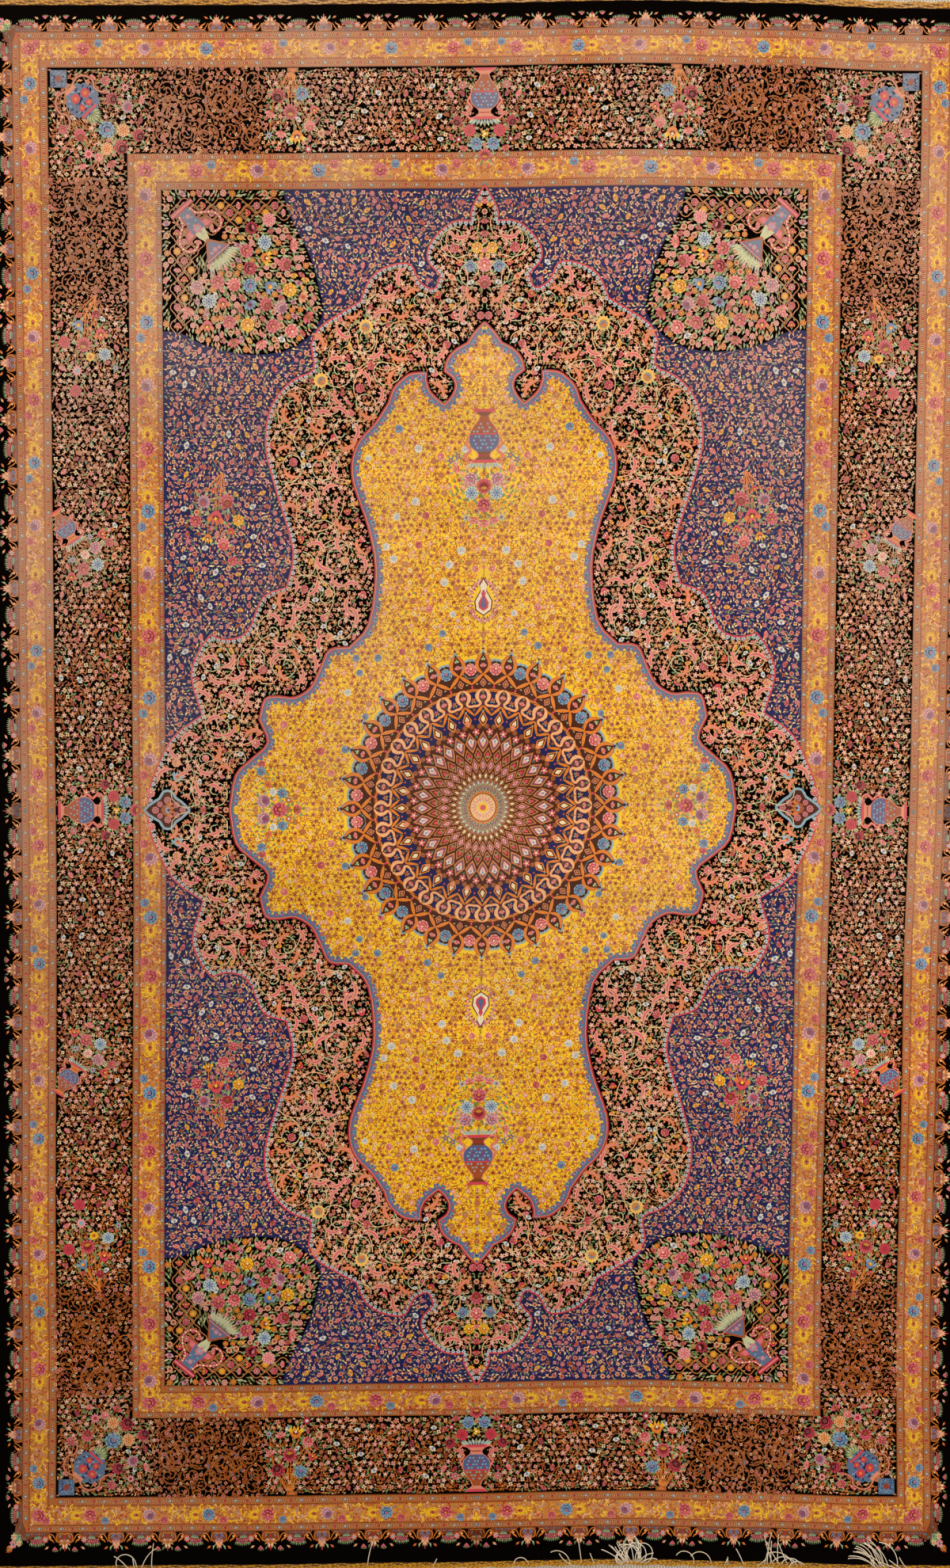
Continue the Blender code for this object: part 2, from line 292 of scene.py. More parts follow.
class Motif:
    """A flat motif of stacked shapes. Its tones are numbers that each copy's palette turns into yarns."""

    def __init__(self) -> None:
        """Starts an empty motif."""
        self.points: list[Point] = []
        self.tones: list[int] = []
        self.levels: list[float] = []
        self.triangles: list[tuple[int, int, int]] = []

    def add(self, point: Point, tone: int, level: float) -> int:
        """Adds a point.

        Args:
            point: Its place.
            tone: Its tone.
            level: Its height in steps.

        Returns:
            The point's number.
        """
        self.points.append(point)
        self.tones.append(tone)
        self.levels.append(level)
        return len(self.points) - 1

    def fan(self, outline: Sequence[Point], rim: Sequence[int], heart: int, level: float = 0.0,
            centre: Point | None = None) -> "Motif":
        """Adds a shape filled from its middle.

        Args:
            outline: The points round it.
            rim: One tone for each of them, or a single tone.
            heart: The middle's tone.
            level: Its height in steps.
            centre: The middle, if not the points' average.

        Returns:
            This motif.
        """
        if centre is None:
            centre = tuple(np.mean(outline, axis=0))
        middle = self.add(centre, heart, level)
        tones = list(rim) * (len(outline) if len(rim) == 1 else 1)
        ring = [self.add(p, t, level) for p, t in zip(outline, tones)]
        self.triangles += [(middle, ring[i - 1], ring[i]) for i in range(len(ring))]
        return self

    def bloom(self, petals: int, outer: float, notch: float, tones: tuple[int, int, int], level: float = 0.0,
              at: Point = (0.0, 0.0), turn: float = 0.0, broad: float = 0.0, squash: float = 1.0) -> "Motif":
        """Adds a flower head.

        Args:
            petals: How many petals.
            outer: Radius of the tips.
            notch: Radius between petals.
            tones: Tones of the tips, the notches and the middle.
            level: Its height in steps.
            at: Its middle.
            turn: How far it is turned.
            broad: Share of a petal that its flat tip takes, 0 for a pointed one.
            squash: Its height over its width.

        Returns:
            This motif.
        """
        outline, rim = [], []
        pitch = math.tau / petals
        for petal in range(petals):
            angle = turn + petal * pitch
            steps = [(0.0, notch, tones[1])]
            if broad:
                steps += [(0.5 - broad / 2, outer, tones[0]), (0.5 + broad / 2, outer, tones[0])]
            else:
                steps += [(0.5, outer, tones[0])]
            for share, radius, tone in steps:
                turned = angle + share * pitch
                outline.append((at[0] + radius * math.cos(turned),
                                at[1] + squash * radius * math.sin(turned)))
                rim.append(tone)
        return self.fan(outline, rim, tones[2], level, at)

    def leaf(self, root: Point, tip: Point, width: float, tones: tuple[int, int] = (0, 0), level: float = 0.0,
             bow: float = 0.0) -> "Motif":
        """Adds a pointed leaf of two or four triangles.

        Args:
            root: Where it starts.
            tip: Where it ends.
            width: Its greatest width.
            tones: Tones of its body and of its root and tip.
            level: Its height in steps.
            bow: How far its middle bends sideways, over its length.

        Returns:
            This motif.
        """
        dx, dy = tip[0] - root[0], tip[1] - root[1]
        length = math.hypot(dx, dy) or 1.0
        nx, ny = -dy / length, dx / length
        mx, my = root[0] + 0.45 * dx + bow * length * nx, root[1] + 0.45 * dy + bow * length * ny
        a = self.add(root, tones[1], level)
        b = self.add((mx + nx * width / 2, my + ny * width / 2), tones[0], level)
        c = self.add(tip, tones[1], level)
        d = self.add((mx - nx * width / 2, my - ny * width / 2), tones[0], level)
        self.triangles += [(a, d, b), (b, d, c)]
        return self

    def ribbon(self, path: Sequence[Point], widths: Sequence[float], tone: int, level: float = 0.0,
               side: int | None = None) -> "Motif":
        """Adds a strip along a path.

        Args:
            path: Its middle line.
            widths: Its width at each point, or one width.
            tone: Its tone.
            level: Its height in steps.
            side: Another tone for its right side.

        Returns:
            This motif.
        """
        line = np.array(path, float)
        spread = np.gradient(line, axis=0)
        spread /= np.linalg.norm(spread, axis=1)[:, None] + 1e-9
        normal = np.stack([-spread[:, 1], spread[:, 0]], axis=1)
        half = np.broadcast_to(np.array(widths, float), len(line))[:, None] / 2
        left, right = line + normal * half, line - normal * half
        other = tone if side is None else side
        numbers = [(self.add(tuple(p), tone, level), self.add(tuple(q), other, level))
                   for p, q in zip(left, right)]
        for (a, b), (c, d) in zip(numbers, numbers[1:]):
            self.triangles += [(a, b, c), (b, d, c)]
        return self

    def place(self, other: "Motif", at: Point, size: float = 1.0, turn: float = 0.0,
              tones: Sequence[int] | None = None, level: float = 0.0, mirror: bool = False) -> "Motif":
        """Adds a copy of another motif.

        Args:
            other: The motif to copy.
            at: Its place.
            size: Its scale.
            turn: Its turn.
            tones: This motif's tone for each of its tones.
            level: Steps to lift it by.
            mirror: Whether it is mirrored left to right.

        Returns:
            This motif.
        """
        cosine, sine = math.cos(turn) * size, math.sin(turn) * size
        start = len(self.points)
        for (x, y), tone, own in zip(other.points, other.tones, other.levels):
            x = -x if mirror else x
            spot = (at[0] + cosine * x - sine * y, at[1] + sine * x + cosine * y)
            self.add(spot, tones[tone] if tones else tone, own + level)
        self.triangles += [(a + start, b + start, c + start) for a, b, c in other.triangles]
        return self


def arc(centre: Point, radius: float, start: float, end: float, steps: int,
        squash: float = 1.0) -> list[Point]:
    """Points on an arc.

    Args:
        centre: Its middle.
        radius: Its radius.
        start: First angle in degrees.
        end: Last angle in degrees.
        steps: How many steps it is cut into.
        squash: Its height over its width.

    Returns:
        The points from start to end.
    """
    angles = np.radians(np.linspace(start, end, steps + 1))
    return [(centre[0] + radius * math.cos(a), centre[1] + squash * radius * math.sin(a)) for a in angles]


def spiral(centre: Point, first: float, last: float, start: float, turns: float, steps: int) -> list[Point]:
    """Points on a spiral.

    Args:
        centre: Its middle.
        first: First radius.
        last: Last radius.
        start: First angle in degrees.
        turns: How many turns it makes, negative for clockwise.
        steps: How many steps it is cut into.

    Returns:
        The points from first to last.
    """
    shares = np.linspace(0.0, 1.0, steps + 1)
    radii = first + (last - first) * shares
    angles = math.radians(start) + turns * math.tau * shares
    return [(centre[0] + r * math.cos(a), centre[1] + r * math.sin(a)) for r, a in zip(radii, angles)]


def smooth(points: Sequence[Point], steps: int) -> list[Point]:
    """A smooth line through points.

    Args:
        points: The points it passes.
        steps: How many steps each stretch is cut into.

    Returns:
        The line's points.
    """
    line = [Vector(p) for p in points]
    ends = [line[0] * 2 - line[1], *line, line[-1] * 2 - line[-2]]
    made = []
    for a, b, c, d in zip(ends, ends[1:], ends[2:], ends[3:]):
        for step in range(steps):
            t = step / steps
            made.append(0.5 * (2 * b + (c - a) * t + (2 * a - 5 * b + 4 * c - d) * t * t
                               + (3 * b - a - 3 * c + d) * t ** 3))
    return [tuple(p) for p in [*made, line[-1]]]


def cut(outline: Sequence[Point], longest: float) -> list[Point]:
    """A closed outline with its long sides cut up.

    Args:
        outline: Its corners.
        longest: The longest side it may have.

    Returns:
        The corners and the points between them.
    """
    made = []
    for a, b in zip(outline, [*outline[1:], outline[0]]):
        steps = max(1, math.ceil(math.dist(a, b) / longest))
        made += [(a[0] + (b[0] - a[0]) * n / steps, a[1] + (b[1] - a[1]) * n / steps) for n in range(steps)]
    return made


@dataclass
class Region:
    """An outline that motifs are kept inside."""

    outline: np.ndarray
    holes: list[np.ndarray] = field(default_factory=list)

    @staticmethod
    def crossing(points: np.ndarray, outline: np.ndarray) -> np.ndarray:
        """Which points an outline holds.

        Args:
            points: The points, one to a row.
            outline: The closed outline's corners.

        Returns:
            True for each point inside.
        """
        a, b = outline, np.roll(outline, -1, axis=0)
        px, py = points[:, :1], points[:, 1:]
        spans = (a[:, 1] > py) != (b[:, 1] > py)
        rise = np.where(b[:, 1] == a[:, 1], 1e-9, b[:, 1] - a[:, 1])
        beyond = px < (b[:, 0] - a[:, 0]) * (py - a[:, 1]) / rise + a[:, 0]
        return (np.count_nonzero(spans & beyond, axis=1) % 2) == 1

    @staticmethod
    def distance(points: np.ndarray, outline: np.ndarray) -> np.ndarray:
        """How far points lie from an outline, whose stretches on the mirror lines don't count.

        Args:
            points: The points, one to a row.
            outline: The closed outline's corners.

        Returns:
            The distance of each.
        """
        a, b = outline, np.roll(outline, -1, axis=0)
        real = ~((np.maximum(a, b) < 0.5).any(1))
        a, b = a[real], b[real]
        ab = b - a
        rel = points[:, None, :] - a[None]
        share = np.clip((rel * ab).sum(2) / ((ab * ab).sum(1) + 1e-9), 0.0, 1.0)
        return np.linalg.norm(rel - share[:, :, None] * ab, axis=2).min(1)

    def holds(self, points: np.ndarray, margin: float = 0.0) -> np.ndarray:
        """Which points lie inside by at least a margin.

        Args:
            points: The points, one to a row.
            margin: How far inside they have to be.

        Returns:
            True for each that does.
        """
        inside = self.crossing(points, self.outline)
        for hole in self.holes:
            inside &= ~self.crossing(points, hole)
        if margin and inside.any():
            near = np.flatnonzero(inside)
            for line in [self.outline, *self.holes]:
                inside[near] &= self.distance(points[near], line) > margin
        return inside


class Pattern:
    """Collects the coloured shapes of the whole pile."""

    def __init__(self) -> None:
        """Starts with no shapes."""
        self.chunks: dict[Zone, list[tuple[np.ndarray, ...]]] = {zone: [] for zone in Zone}
        self.count = 0

    def put(self, zone: Zone, points: np.ndarray, levels: np.ndarray, colours: np.ndarray,
            triangles: np.ndarray, symmetry: Symmetry) -> None:
        """Adds triangles and their mirrored copies.

        Args:
            zone: The part of the pile they belong to.
            points: Their points in millimetres.
            levels: Each point's height in steps.
            colours: Each point's linear colour.
            triangles: Three point numbers to a row.
            symmetry: The copies they get.
        """
        for copy in symmetry.value:
            self.chunks[zone].append((points * copy, levels, colours, triangles))

    def stamp(self, zone: Zone, motif: Motif, places: np.ndarray, turns: np.ndarray, sizes: np.ndarray,
              palettes: np.ndarray, level: float, symmetry: Symmetry = Symmetry.FOUR,
              mirror: np.ndarray | None = None) -> None:
        """Adds copies of a motif.

        Args:
            zone: The part of the pile they belong to.
            motif: The motif.
            places: Their middles.
            turns: Their turns in radians.
            sizes: Their scales.
            palettes: Each copy's linear colours, by tone.
            level: The height they stand at, in steps.
            symmetry: The mirrored copies that each gets.
            mirror: 1 or -1 for each copy, to mirror it left to right.
        """
        if not len(places):
            return
        shape = np.array(motif.points)[None] * np.asarray(sizes, float)[:, None, None]
        if mirror is not None:
            shape = shape * np.stack([mirror, np.ones(len(mirror))], axis=1)[:, None, :]
        cosine, sine = np.cos(turns)[:, None], np.sin(turns)[:, None]
        x = places[:, :1] + cosine * shape[..., 0] - sine * shape[..., 1]
        y = places[:, 1:] + sine * shape[..., 0] + cosine * shape[..., 1]
        copies, size = x.shape
        lift = ((self.count + np.arange(copies)) * GOLDEN % 1.0) * 0.8
        self.count += copies
        levels = level + lift[:, None] + np.array(motif.levels)[None]
        colours = palettes[:, motif.tones]
        starts = (np.arange(copies) * size)[:, None, None]
        triangles = (np.array(motif.triangles)[None] + starts).reshape(-1, 3)
        self.put(zone, np.stack([x, y], axis=2).reshape(-1, 2), levels.reshape(-1), colours.reshape(-1, 3),
                 triangles, symmetry)

    def one(self, zone: Zone, motif: Motif, at: Point, palette: Sequence[Yarn], level: float,
            size: float = 1.0, turn: float = 0.0, symmetry: Symmetry = Symmetry.FOUR,
            mirror: bool = False) -> None:
        """Adds one copy of a motif.

        Args:
            zone: The part of the pile it belongs to.
            motif: The motif.
            at: Its middle.
            palette: Its yarns, by tone.
            level: Its height in steps.
            size: Its scale.
            turn: Its turn in degrees.
            symmetry: The mirrored copies that it gets.
            mirror: Whether it is mirrored left to right.
        """
        colours = tinted(palette)
        flip = np.array([-1.0 if mirror else 1.0])
        self.stamp(zone, motif, np.array([at], float), np.array([math.radians(turn)]), np.array([size]),
                   colours, level, symmetry, flip)

    def ground(self, zone: Zone, outline: Sequence[Point], yarn: Yarn, level: float, symmetry: Symmetry,
               grain: float = 26.0) -> None:
        """Fills an outline with one yarn, cut small enough to follow the pile's waves.

        Args:
            zone: The part of the pile it belongs to.
            outline: The outline's corners.
            yarn: Its yarn.
            level: Its height in steps.
            symmetry: The mirrored copies that it gets.
            grain: The spacing of its inner points.
        """
        rim = np.array(cut(outline, grain))
        low, high = rim.min(0), rim.max(0)
        columns = np.arange(low[0] + grain / 2, high[0], grain)
        rows = np.arange(low[1] + grain / 2, high[1], grain)
        inner = np.stack(np.meshgrid(columns, rows), axis=2).reshape(-1, 2)
        if len(inner):
            inner = inner[Region(rim).holds(inner, grain * 0.3)]
        count = len(rim)
        edges = [(i, (i + 1) % count) for i in range(count)]
        corners = [Vector(p) for p in [*rim, *inner]]
        made = delaunay_2d_cdt(corners, edges, [tuple(range(count))], 1, 1e-5)
        points = np.array([tuple(p) for p in made[0]])
        triangles = np.array([f for f in made[2]])
        colours = np.tile(yarn.rgb, (len(points), 1))
        self.put(zone, points, np.full(len(points), float(level)), colours, triangles, symmetry)

    def size(self) -> int:
        """How many triangles it has."""
        return sum(len(chunk[3]) for chunks in self.chunks.values() for chunk in chunks)

    def pieces(self) -> dict[Zone, tuple[np.ndarray, ...]]:
        """The collected shapes, joined and woven.

        Returns:
            For each zone its corners (x, y, z), their colours and its triangles, lowest shapes first.
        """
        joined = {}
        for zone, chunks in self.chunks.items():
            if not chunks:
                continue
            starts = np.cumsum([0] + [len(c[0]) for c in chunks[:-1]])
            points = np.concatenate([c[0] for c in chunks])
            levels = np.concatenate([c[1] for c in chunks])
            colours = np.concatenate([c[2] for c in chunks])
            triangles = np.concatenate([c[3] + s for c, s in zip(chunks, starts)])
            if zone is Zone.MEDALLION:
                points = np.where(points[:, 1:] < 0, points * (1.0, MEDALLION_NEAR), points)
            x, y = weave(points)
            z = PILE_THICKNESS + swell(x, y) + (levels + 1.0) * LEVEL_STEP
            corners = np.stack([x, y, z], axis=1)
            a, b, c = (corners[triangles[:, i], :2] for i in range(3))
            area = (b - a)[:, 0] * (c - a)[:, 1] - (b - a)[:, 1] * (c - a)[:, 0]
            triangles = np.where(area[:, None] < 0, triangles[:, ::-1], triangles)
            triangles = triangles[np.abs(area) > 1e-9]
            order = np.argsort(levels[triangles].mean(1), kind="stable")
            joined[zone] = (corners, colours, triangles[order])
        return joined


def blossom(petals: int = 5) -> Motif:
    """A small open flower of unit radius: petals, notches, throat and eye.

    Args:
        petals: How many petals.

    Returns:
        The motif, with tones 0 to 3.
    """
    made = Motif().bloom(petals, 1, 0.5, (0, 1, 1), broad=0.5)
    return made.bloom(4, 0.36, 0.36, (3, 3, 3), 1)


def floret(petals: int = 5) -> Motif:
    """A small flower of round petals, tones petal, notch and heart."""
    return Motif().bloom(petals, 1, 0.5, (0, 1, 2), broad=0.42)


def star(points: int = 6) -> Motif:
    """A pointed little star with an eye, tones 0 to 2."""
    return Motif().bloom(points, 1, 0.42, (0, 1, 2))


def quad() -> Motif:
    """Four dots round an eye, tones dot and eye.

    Returns:
        The motif.
    """
    made = Motif()
    for step in range(4):
        angle = math.tau * (step + 0.5) / 4
        made.leaf((0.15 * math.cos(angle), 0.15 * math.sin(angle)), (math.cos(angle), math.sin(angle)), 0.86)
    return made.leaf((-0.3, 0), (0.3, 0), 0.6, (1, 1), 0.5)


def ringlet(petals: int = 7) -> Motif:
    """A round little flower with a dark ring: tones petal, ring and eye."""
    made = Motif().bloom(petals, 1, 0.82, (0, 0, 1), turn=0.2)
    return made.bloom(3, 0.46, 0.4, (1, 1, 2), 0.5, turn=0.3)


def spark(points: int = 4) -> Motif:
    """A pointed little flower, tones tip, notch and eye."""
    return Motif().bloom(points, 1, 0.45, (0, 1, 2)).leaf((-0.2, 0), (0.2, 0), 0.4, (2, 2), 0.5)


def sprig(bend: float = 0.3, width: float = 0.11) -> Motif:
    """A bent bit of stem along x, two units long, in one tone."""
    path = [(-1, -bend / 2), (-0.35, bend / 2), (0.35, bend / 2), (1, -bend / 2)]
    return Motif().ribbon(path, (width,), 0)


def leaflet(bow: float = 0.0) -> Motif:
    """A narrow leaf along x, one unit long, tones 0 and 1."""
    return Motif().leaf((-0.5, 0), (0.5, 0), 0.42, (0, 1), bow=bow)


def bud() -> Motif:
    """A bud in its calyx, along x: tones petal, tip and calyx."""
    made = Motif().leaf((-0.35, 0), (0.6, 0), 0.62, (0, 1), 0)
    return made.fan([(-0.65, 0), (-0.1, -0.3), (0.05, 0), (-0.1, 0.3)], (2,), 2, 0.5)


def rose() -> Motif:
    """A full rose of unit radius: tones light, middle, dark and heart.

    Returns:
        The motif.
    """
    made = Motif().bloom(8, 1, 0.87, (0, 2, 1), 0, broad=0.6)
    made.bloom(6, 0.76, 0.66, (1, 2, 2), 1, (0, -0.04), 0.5, 0.5)
    made.bloom(6, 0.62, 0.5, (0, 1, 1), 2, (0.02, 0.06), 0.1, 0.5)
    made.ribbon(arc((0.03, 0.1), 0.4, 150, 400, 5), (0.05, 0.14, 0.15, 0.15, 0.14, 0.05), 2, 3)
    return made.bloom(3, 0.2, 0.15, (3, 3, 3), 4, (0.03, 0.12))


def peony() -> Motif:
    """A ragged peony with a pale skirt of petals: tones light, middle, dark and heart.

    Returns:
        The motif.
    """
    made = Motif().bloom(11, 1, 0.84, (0, 1, 1), 0, (0, -0.06), 0.1, 0.3)
    made.bloom(8, 0.72, 0.6, (1, 2, 2), 1, (0, 0.12), 0.3, 0.4)
    made.ribbon(arc((0, 0.1), 0.5, 190, 350, 4), (0.05, 0.16, 0.18, 0.16, 0.05), 0, 2)
    return made.bloom(5, 0.3, 0.2, (3, 2, 2), 3, (0, 0.22), 0.1)


def cup() -> Motif:
    """A flower seen from the side, facing +y: tones light, middle, dark and heart.

    Returns:
        The motif.
    """
    skirt = [(0, -0.55), (0.5, -0.5), (0.9, -0.1), (1, 0.35), (0.62, 0.3), (0.45, 0.75), (0.18, 0.5),
             (0, 0.95), (-0.18, 0.5), (-0.45, 0.75), (-0.62, 0.3), (-1, 0.35), (-0.9, -0.1), (-0.5, -0.5)]
    made = Motif().fan(skirt, (2, 1, 0, 0, 1, 0, 1, 0, 1, 0, 1, 0, 0, 1), 1, 0, (0, -0.1))
    return made.bloom(5, 0.42, 0.3, (3, 2, 2), 1, (0, 0.05), 0.3)


def honeycomb() -> Motif:
    """A round flower netted with dark spots: tones ground, edge and spot.

    Returns:
        The motif.
    """
    made = Motif().bloom(9, 1, 0.86, (1, 1, 0), 0, broad=0.5)
    for ring, count in ((0, 1), (0.42, 6), (0.76, 11)):
        for step in range(count):
            angle = math.tau * step / count + ring
            made.leaf((ring * math.cos(angle) - 0.11, ring * math.sin(angle)),
                      (ring * math.cos(angle) + 0.11, ring * math.sin(angle)), 0.2, (2, 2), 1)
    return made


def daisy(petals: int = 9) -> Motif:
    """A daisy of pointed petals round an eye: tones petal, its foot and eye."""
    made = Motif().bloom(petals, 1, 0.5, (0, 1, 1))
    return made.bloom(5, 0.34, 0.3, (2, 2, 2), 1)


def thistle() -> Motif:
    """A jagged flower with a pale skirt, facing +y: tones skirt, head, shade and heart.

    Returns:
        The motif.
    """
    made = Motif().bloom(13, 1, 0.78, (0, 1, 1), 0, turn=0.2)
    made.bloom(9, 0.66, 0.5, (1, 2, 2), 1, (0, 0.1), 0.3)
    for step in range(5):
        angle = math.radians(90 + 26 * (step - 2))
        made.leaf((0, 0.05), (0.62 * math.cos(angle), 0.62 * math.sin(angle)), 0.16, (3, 3), 2)
    return made


def lily() -> Motif:
    """An open lily seen from the side, facing +y: tones rim, petal, throat and stamen.

    Returns:
        The motif.
    """
    rim = [(-0.5, -0.6), (0, -0.85), (0.5, -0.6), (0.75, -0.1), (1.05, 0.2), (0.8, 0.75), (0.45, 0.35),
           (0.3, 0.95), (0, 0.5), (-0.3, 0.95), (-0.45, 0.35), (-0.8, 0.75), (-1.05, 0.2), (-0.75, -0.1)]
    made = Motif().fan(rim, (1, 1, 1, 1, 0, 0, 1, 0, 1, 0, 1, 0, 0, 1), 1, 0, (0, -0.2))
    made.bloom(6, 0.5, 0.34, (2, 2, 2), 1, (0, 0), 0.3, squash=0.7)
    return made.bloom(4, 0.24, 0.16, (3, 3, 3), 2, (0, 0.12), 0.5)


def sheaf(count: int, spread: float, length: float, width: float) -> Motif:
    """Leaves that fan out from the origin towards +y, in two tones.

    Args:
        count: How many leaves.
        spread: The whole angle of the fan in degrees.
        length: The middle leaf's length.
        width: Each leaf's width.

    Returns:
        The motif, with tones 0 and 1.
    """
    made = Motif()
    for step in range(count):
        share = 2 * step / (count - 1) - 1
        angle = math.radians(90 - share * spread / 2)
        reach = length * (1 - 0.3 * abs(share))
        made.leaf((0.12 * reach * math.cos(angle), 0.12 * reach * math.sin(angle)),
                  (reach * math.cos(angle), reach * math.sin(angle)), width, (step % 2, 1), 0.1 * step,
                  -0.08 * share)
    return made


def scroll(turns: float = 1.5) -> Motif:
    """A spiral of unit radius with branches, leaves and dashes.

    Args:
        turns: How many turns it makes.

    Returns:
        The motif, with tones stem, core, leaf and dash.
    """
    steps = 26
    path = spiral((0, 0), 0.2, 1, 200, turns, steps)
    swollen = 0.085 + 0.05 * np.abs(np.sin(np.arange(steps + 1) * 0.55))
    swollen[[0, -1]] = 0.03
    made = Motif().ribbon(path, swollen, 0, 0.5).ribbon(path, swollen * 0.42, 1, 0.8)
    made.ribbon(arc((path[0][0] + 0.1, path[0][1] + 0.05), 0.14, 200, 420, 5), (0.09,), 0, 0.6)
    for step in range(4, steps, 5):
        made.leaf(path[step], path[step + 1], 0.07, (3, 3), 1.1)
    for step in range(6, steps, 4):
        x, y = path[step]
        ahead = math.atan2(path[step + 1][1] - y, path[step + 1][0] - x)
        for side in (-1, 1):
            angle = ahead + side * 0.6
            tip = (x + 0.26 * math.cos(angle), y + 0.26 * math.sin(angle))
            made.leaf((x, y), tip, 0.085, (2, 0), 0.4, 0.12)
    x, y = path[-1]
    tail = [(x, y), (x + 0.28, y - 0.1), (x + 0.5, y + 0.05), (x + 0.52, y + 0.28), (x + 0.36, y + 0.34)]
    return made.ribbon(smooth(tail, 2), np.linspace(0.1, 0.04, 9), 0, 0.4)


def split_leaf() -> Motif:
    """A long split leaf with curled lobes, along x: tones body, edge and vein.

    Returns:
        The motif.
    """
    path = smooth([(-1, -0.3), (-0.5, 0.05), (0, 0.18), (0.5, 0.06), (1, -0.34)], 3)
    made = Motif().ribbon(path, np.interp(range(13), (0, 4, 9, 12), (0.12, 0.46, 0.34, 0.04)), 1)
    made.ribbon(path, np.interp(range(13), (0, 4, 9, 12), (0.04, 0.3, 0.2, 0.01)), 0, 0.5)
    for x, y, angle, reach in ((-0.5, 0.2, 55, 0.5), (-0.05, 0.3, 40, 0.46), (0.4, 0.2, 20, 0.42),
                               (-0.5, -0.12, -75, 0.4), (0, -0.02, -60, 0.5), (0.5, -0.1, -55, 0.36)):
        turned = math.radians(angle)
        tip = (x + reach * math.cos(turned), y + reach * math.sin(turned))
        made.leaf((x, y), tip, 0.26, (1, 1), 0.2, 0.2).leaf((x, y), tip, 0.13, (0, 0), 0.6, 0.2)
    return made.ribbon(path[2:11], (0.06,), 2, 0.9)


def urn() -> Motif:
    """A footed urn of unit height facing +y, its foot at the origin.

    Returns:
        The motif, with tones foot, body, cone, rim, plume, handle, spot and fleck.
    """
    heights = (0, 0.03, 0.05, 0.09, 0.11, 0.16, 0.19, 0.27, 0.36, 0.46, 0.55, 0.62, 0.67, 0.7, 0.75, 0.8,
               0.82, 0.86)
    halves = (0.2, 0.19, 0.14, 0.12, 0.06, 0.05, 0.09, 0.16, 0.215, 0.245, 0.24, 0.2, 0.13, 0.09, 0.085, 0.11,
              0.2, 0.215)
    made = Motif()
    for low, high, tone in ((0, 0.05, 3), (0.05, 0.11, 0), (0.11, 0.19, 2), (0.19, 0.4, 2), (0.4, 0.68, 1),
                            (0.68, 0.81, 0), (0.81, 0.86, 3)):
        steps = np.linspace(low, high, max(2, round((high - low) * 28)))
        widths = 2 * np.interp(steps, heights, halves)
        line = [(0, y) for y in steps]
        made.ribbon(line, widths + 0.035, 5, 0.6).ribbon(line, widths, tone, 1)
    for row, y in enumerate((0.24, 0.3, 0.36, 0.44, 0.5, 0.56, 0.62)):
        half = float(np.interp(y, heights, halves)) - 0.04
        for column in range(-4, 5):
            x = (column + 0.5 * (row % 2)) * 0.056
            if abs(x) < half:
                tone = 7 if (row + column) % 3 else 6
                made.leaf((x - 0.022, y), (x + 0.022, y), 0.04, (tone, tone), 1.5)
    made.ribbon([(-0.2, 0.4), (0.2, 0.4)], (0.02,), 3, 1.4)
    made.ribbon([(-0.09, 0.745), (0.09, 0.745)], (0.02,), 6, 1.4)
    for side in (-1, 1):
        grip = [(0.1, 0.8), (0.25, 0.85), (0.32, 0.75), (0.22, 0.66), (0.3, 0.56), (0.24, 0.46)]
        grip = smooth([(side * x, y) for x, y in grip], 2)
        made.ribbon(grip, (0.045,), 3, 0.3).ribbon(grip, (0.026,), 5, 0.5)
        for step in range(5):
            root = (side * 0.04 * step, 0.85)
            made.leaf(root, (side * (0.075 * step), 1.0 - 0.02 * step), 0.05, (4, 4), 0.4)
            made.leaf(root, (side * (0.06 * step + 0.03), 0.95), 0.025, (7, 7), 0.5)
    return made


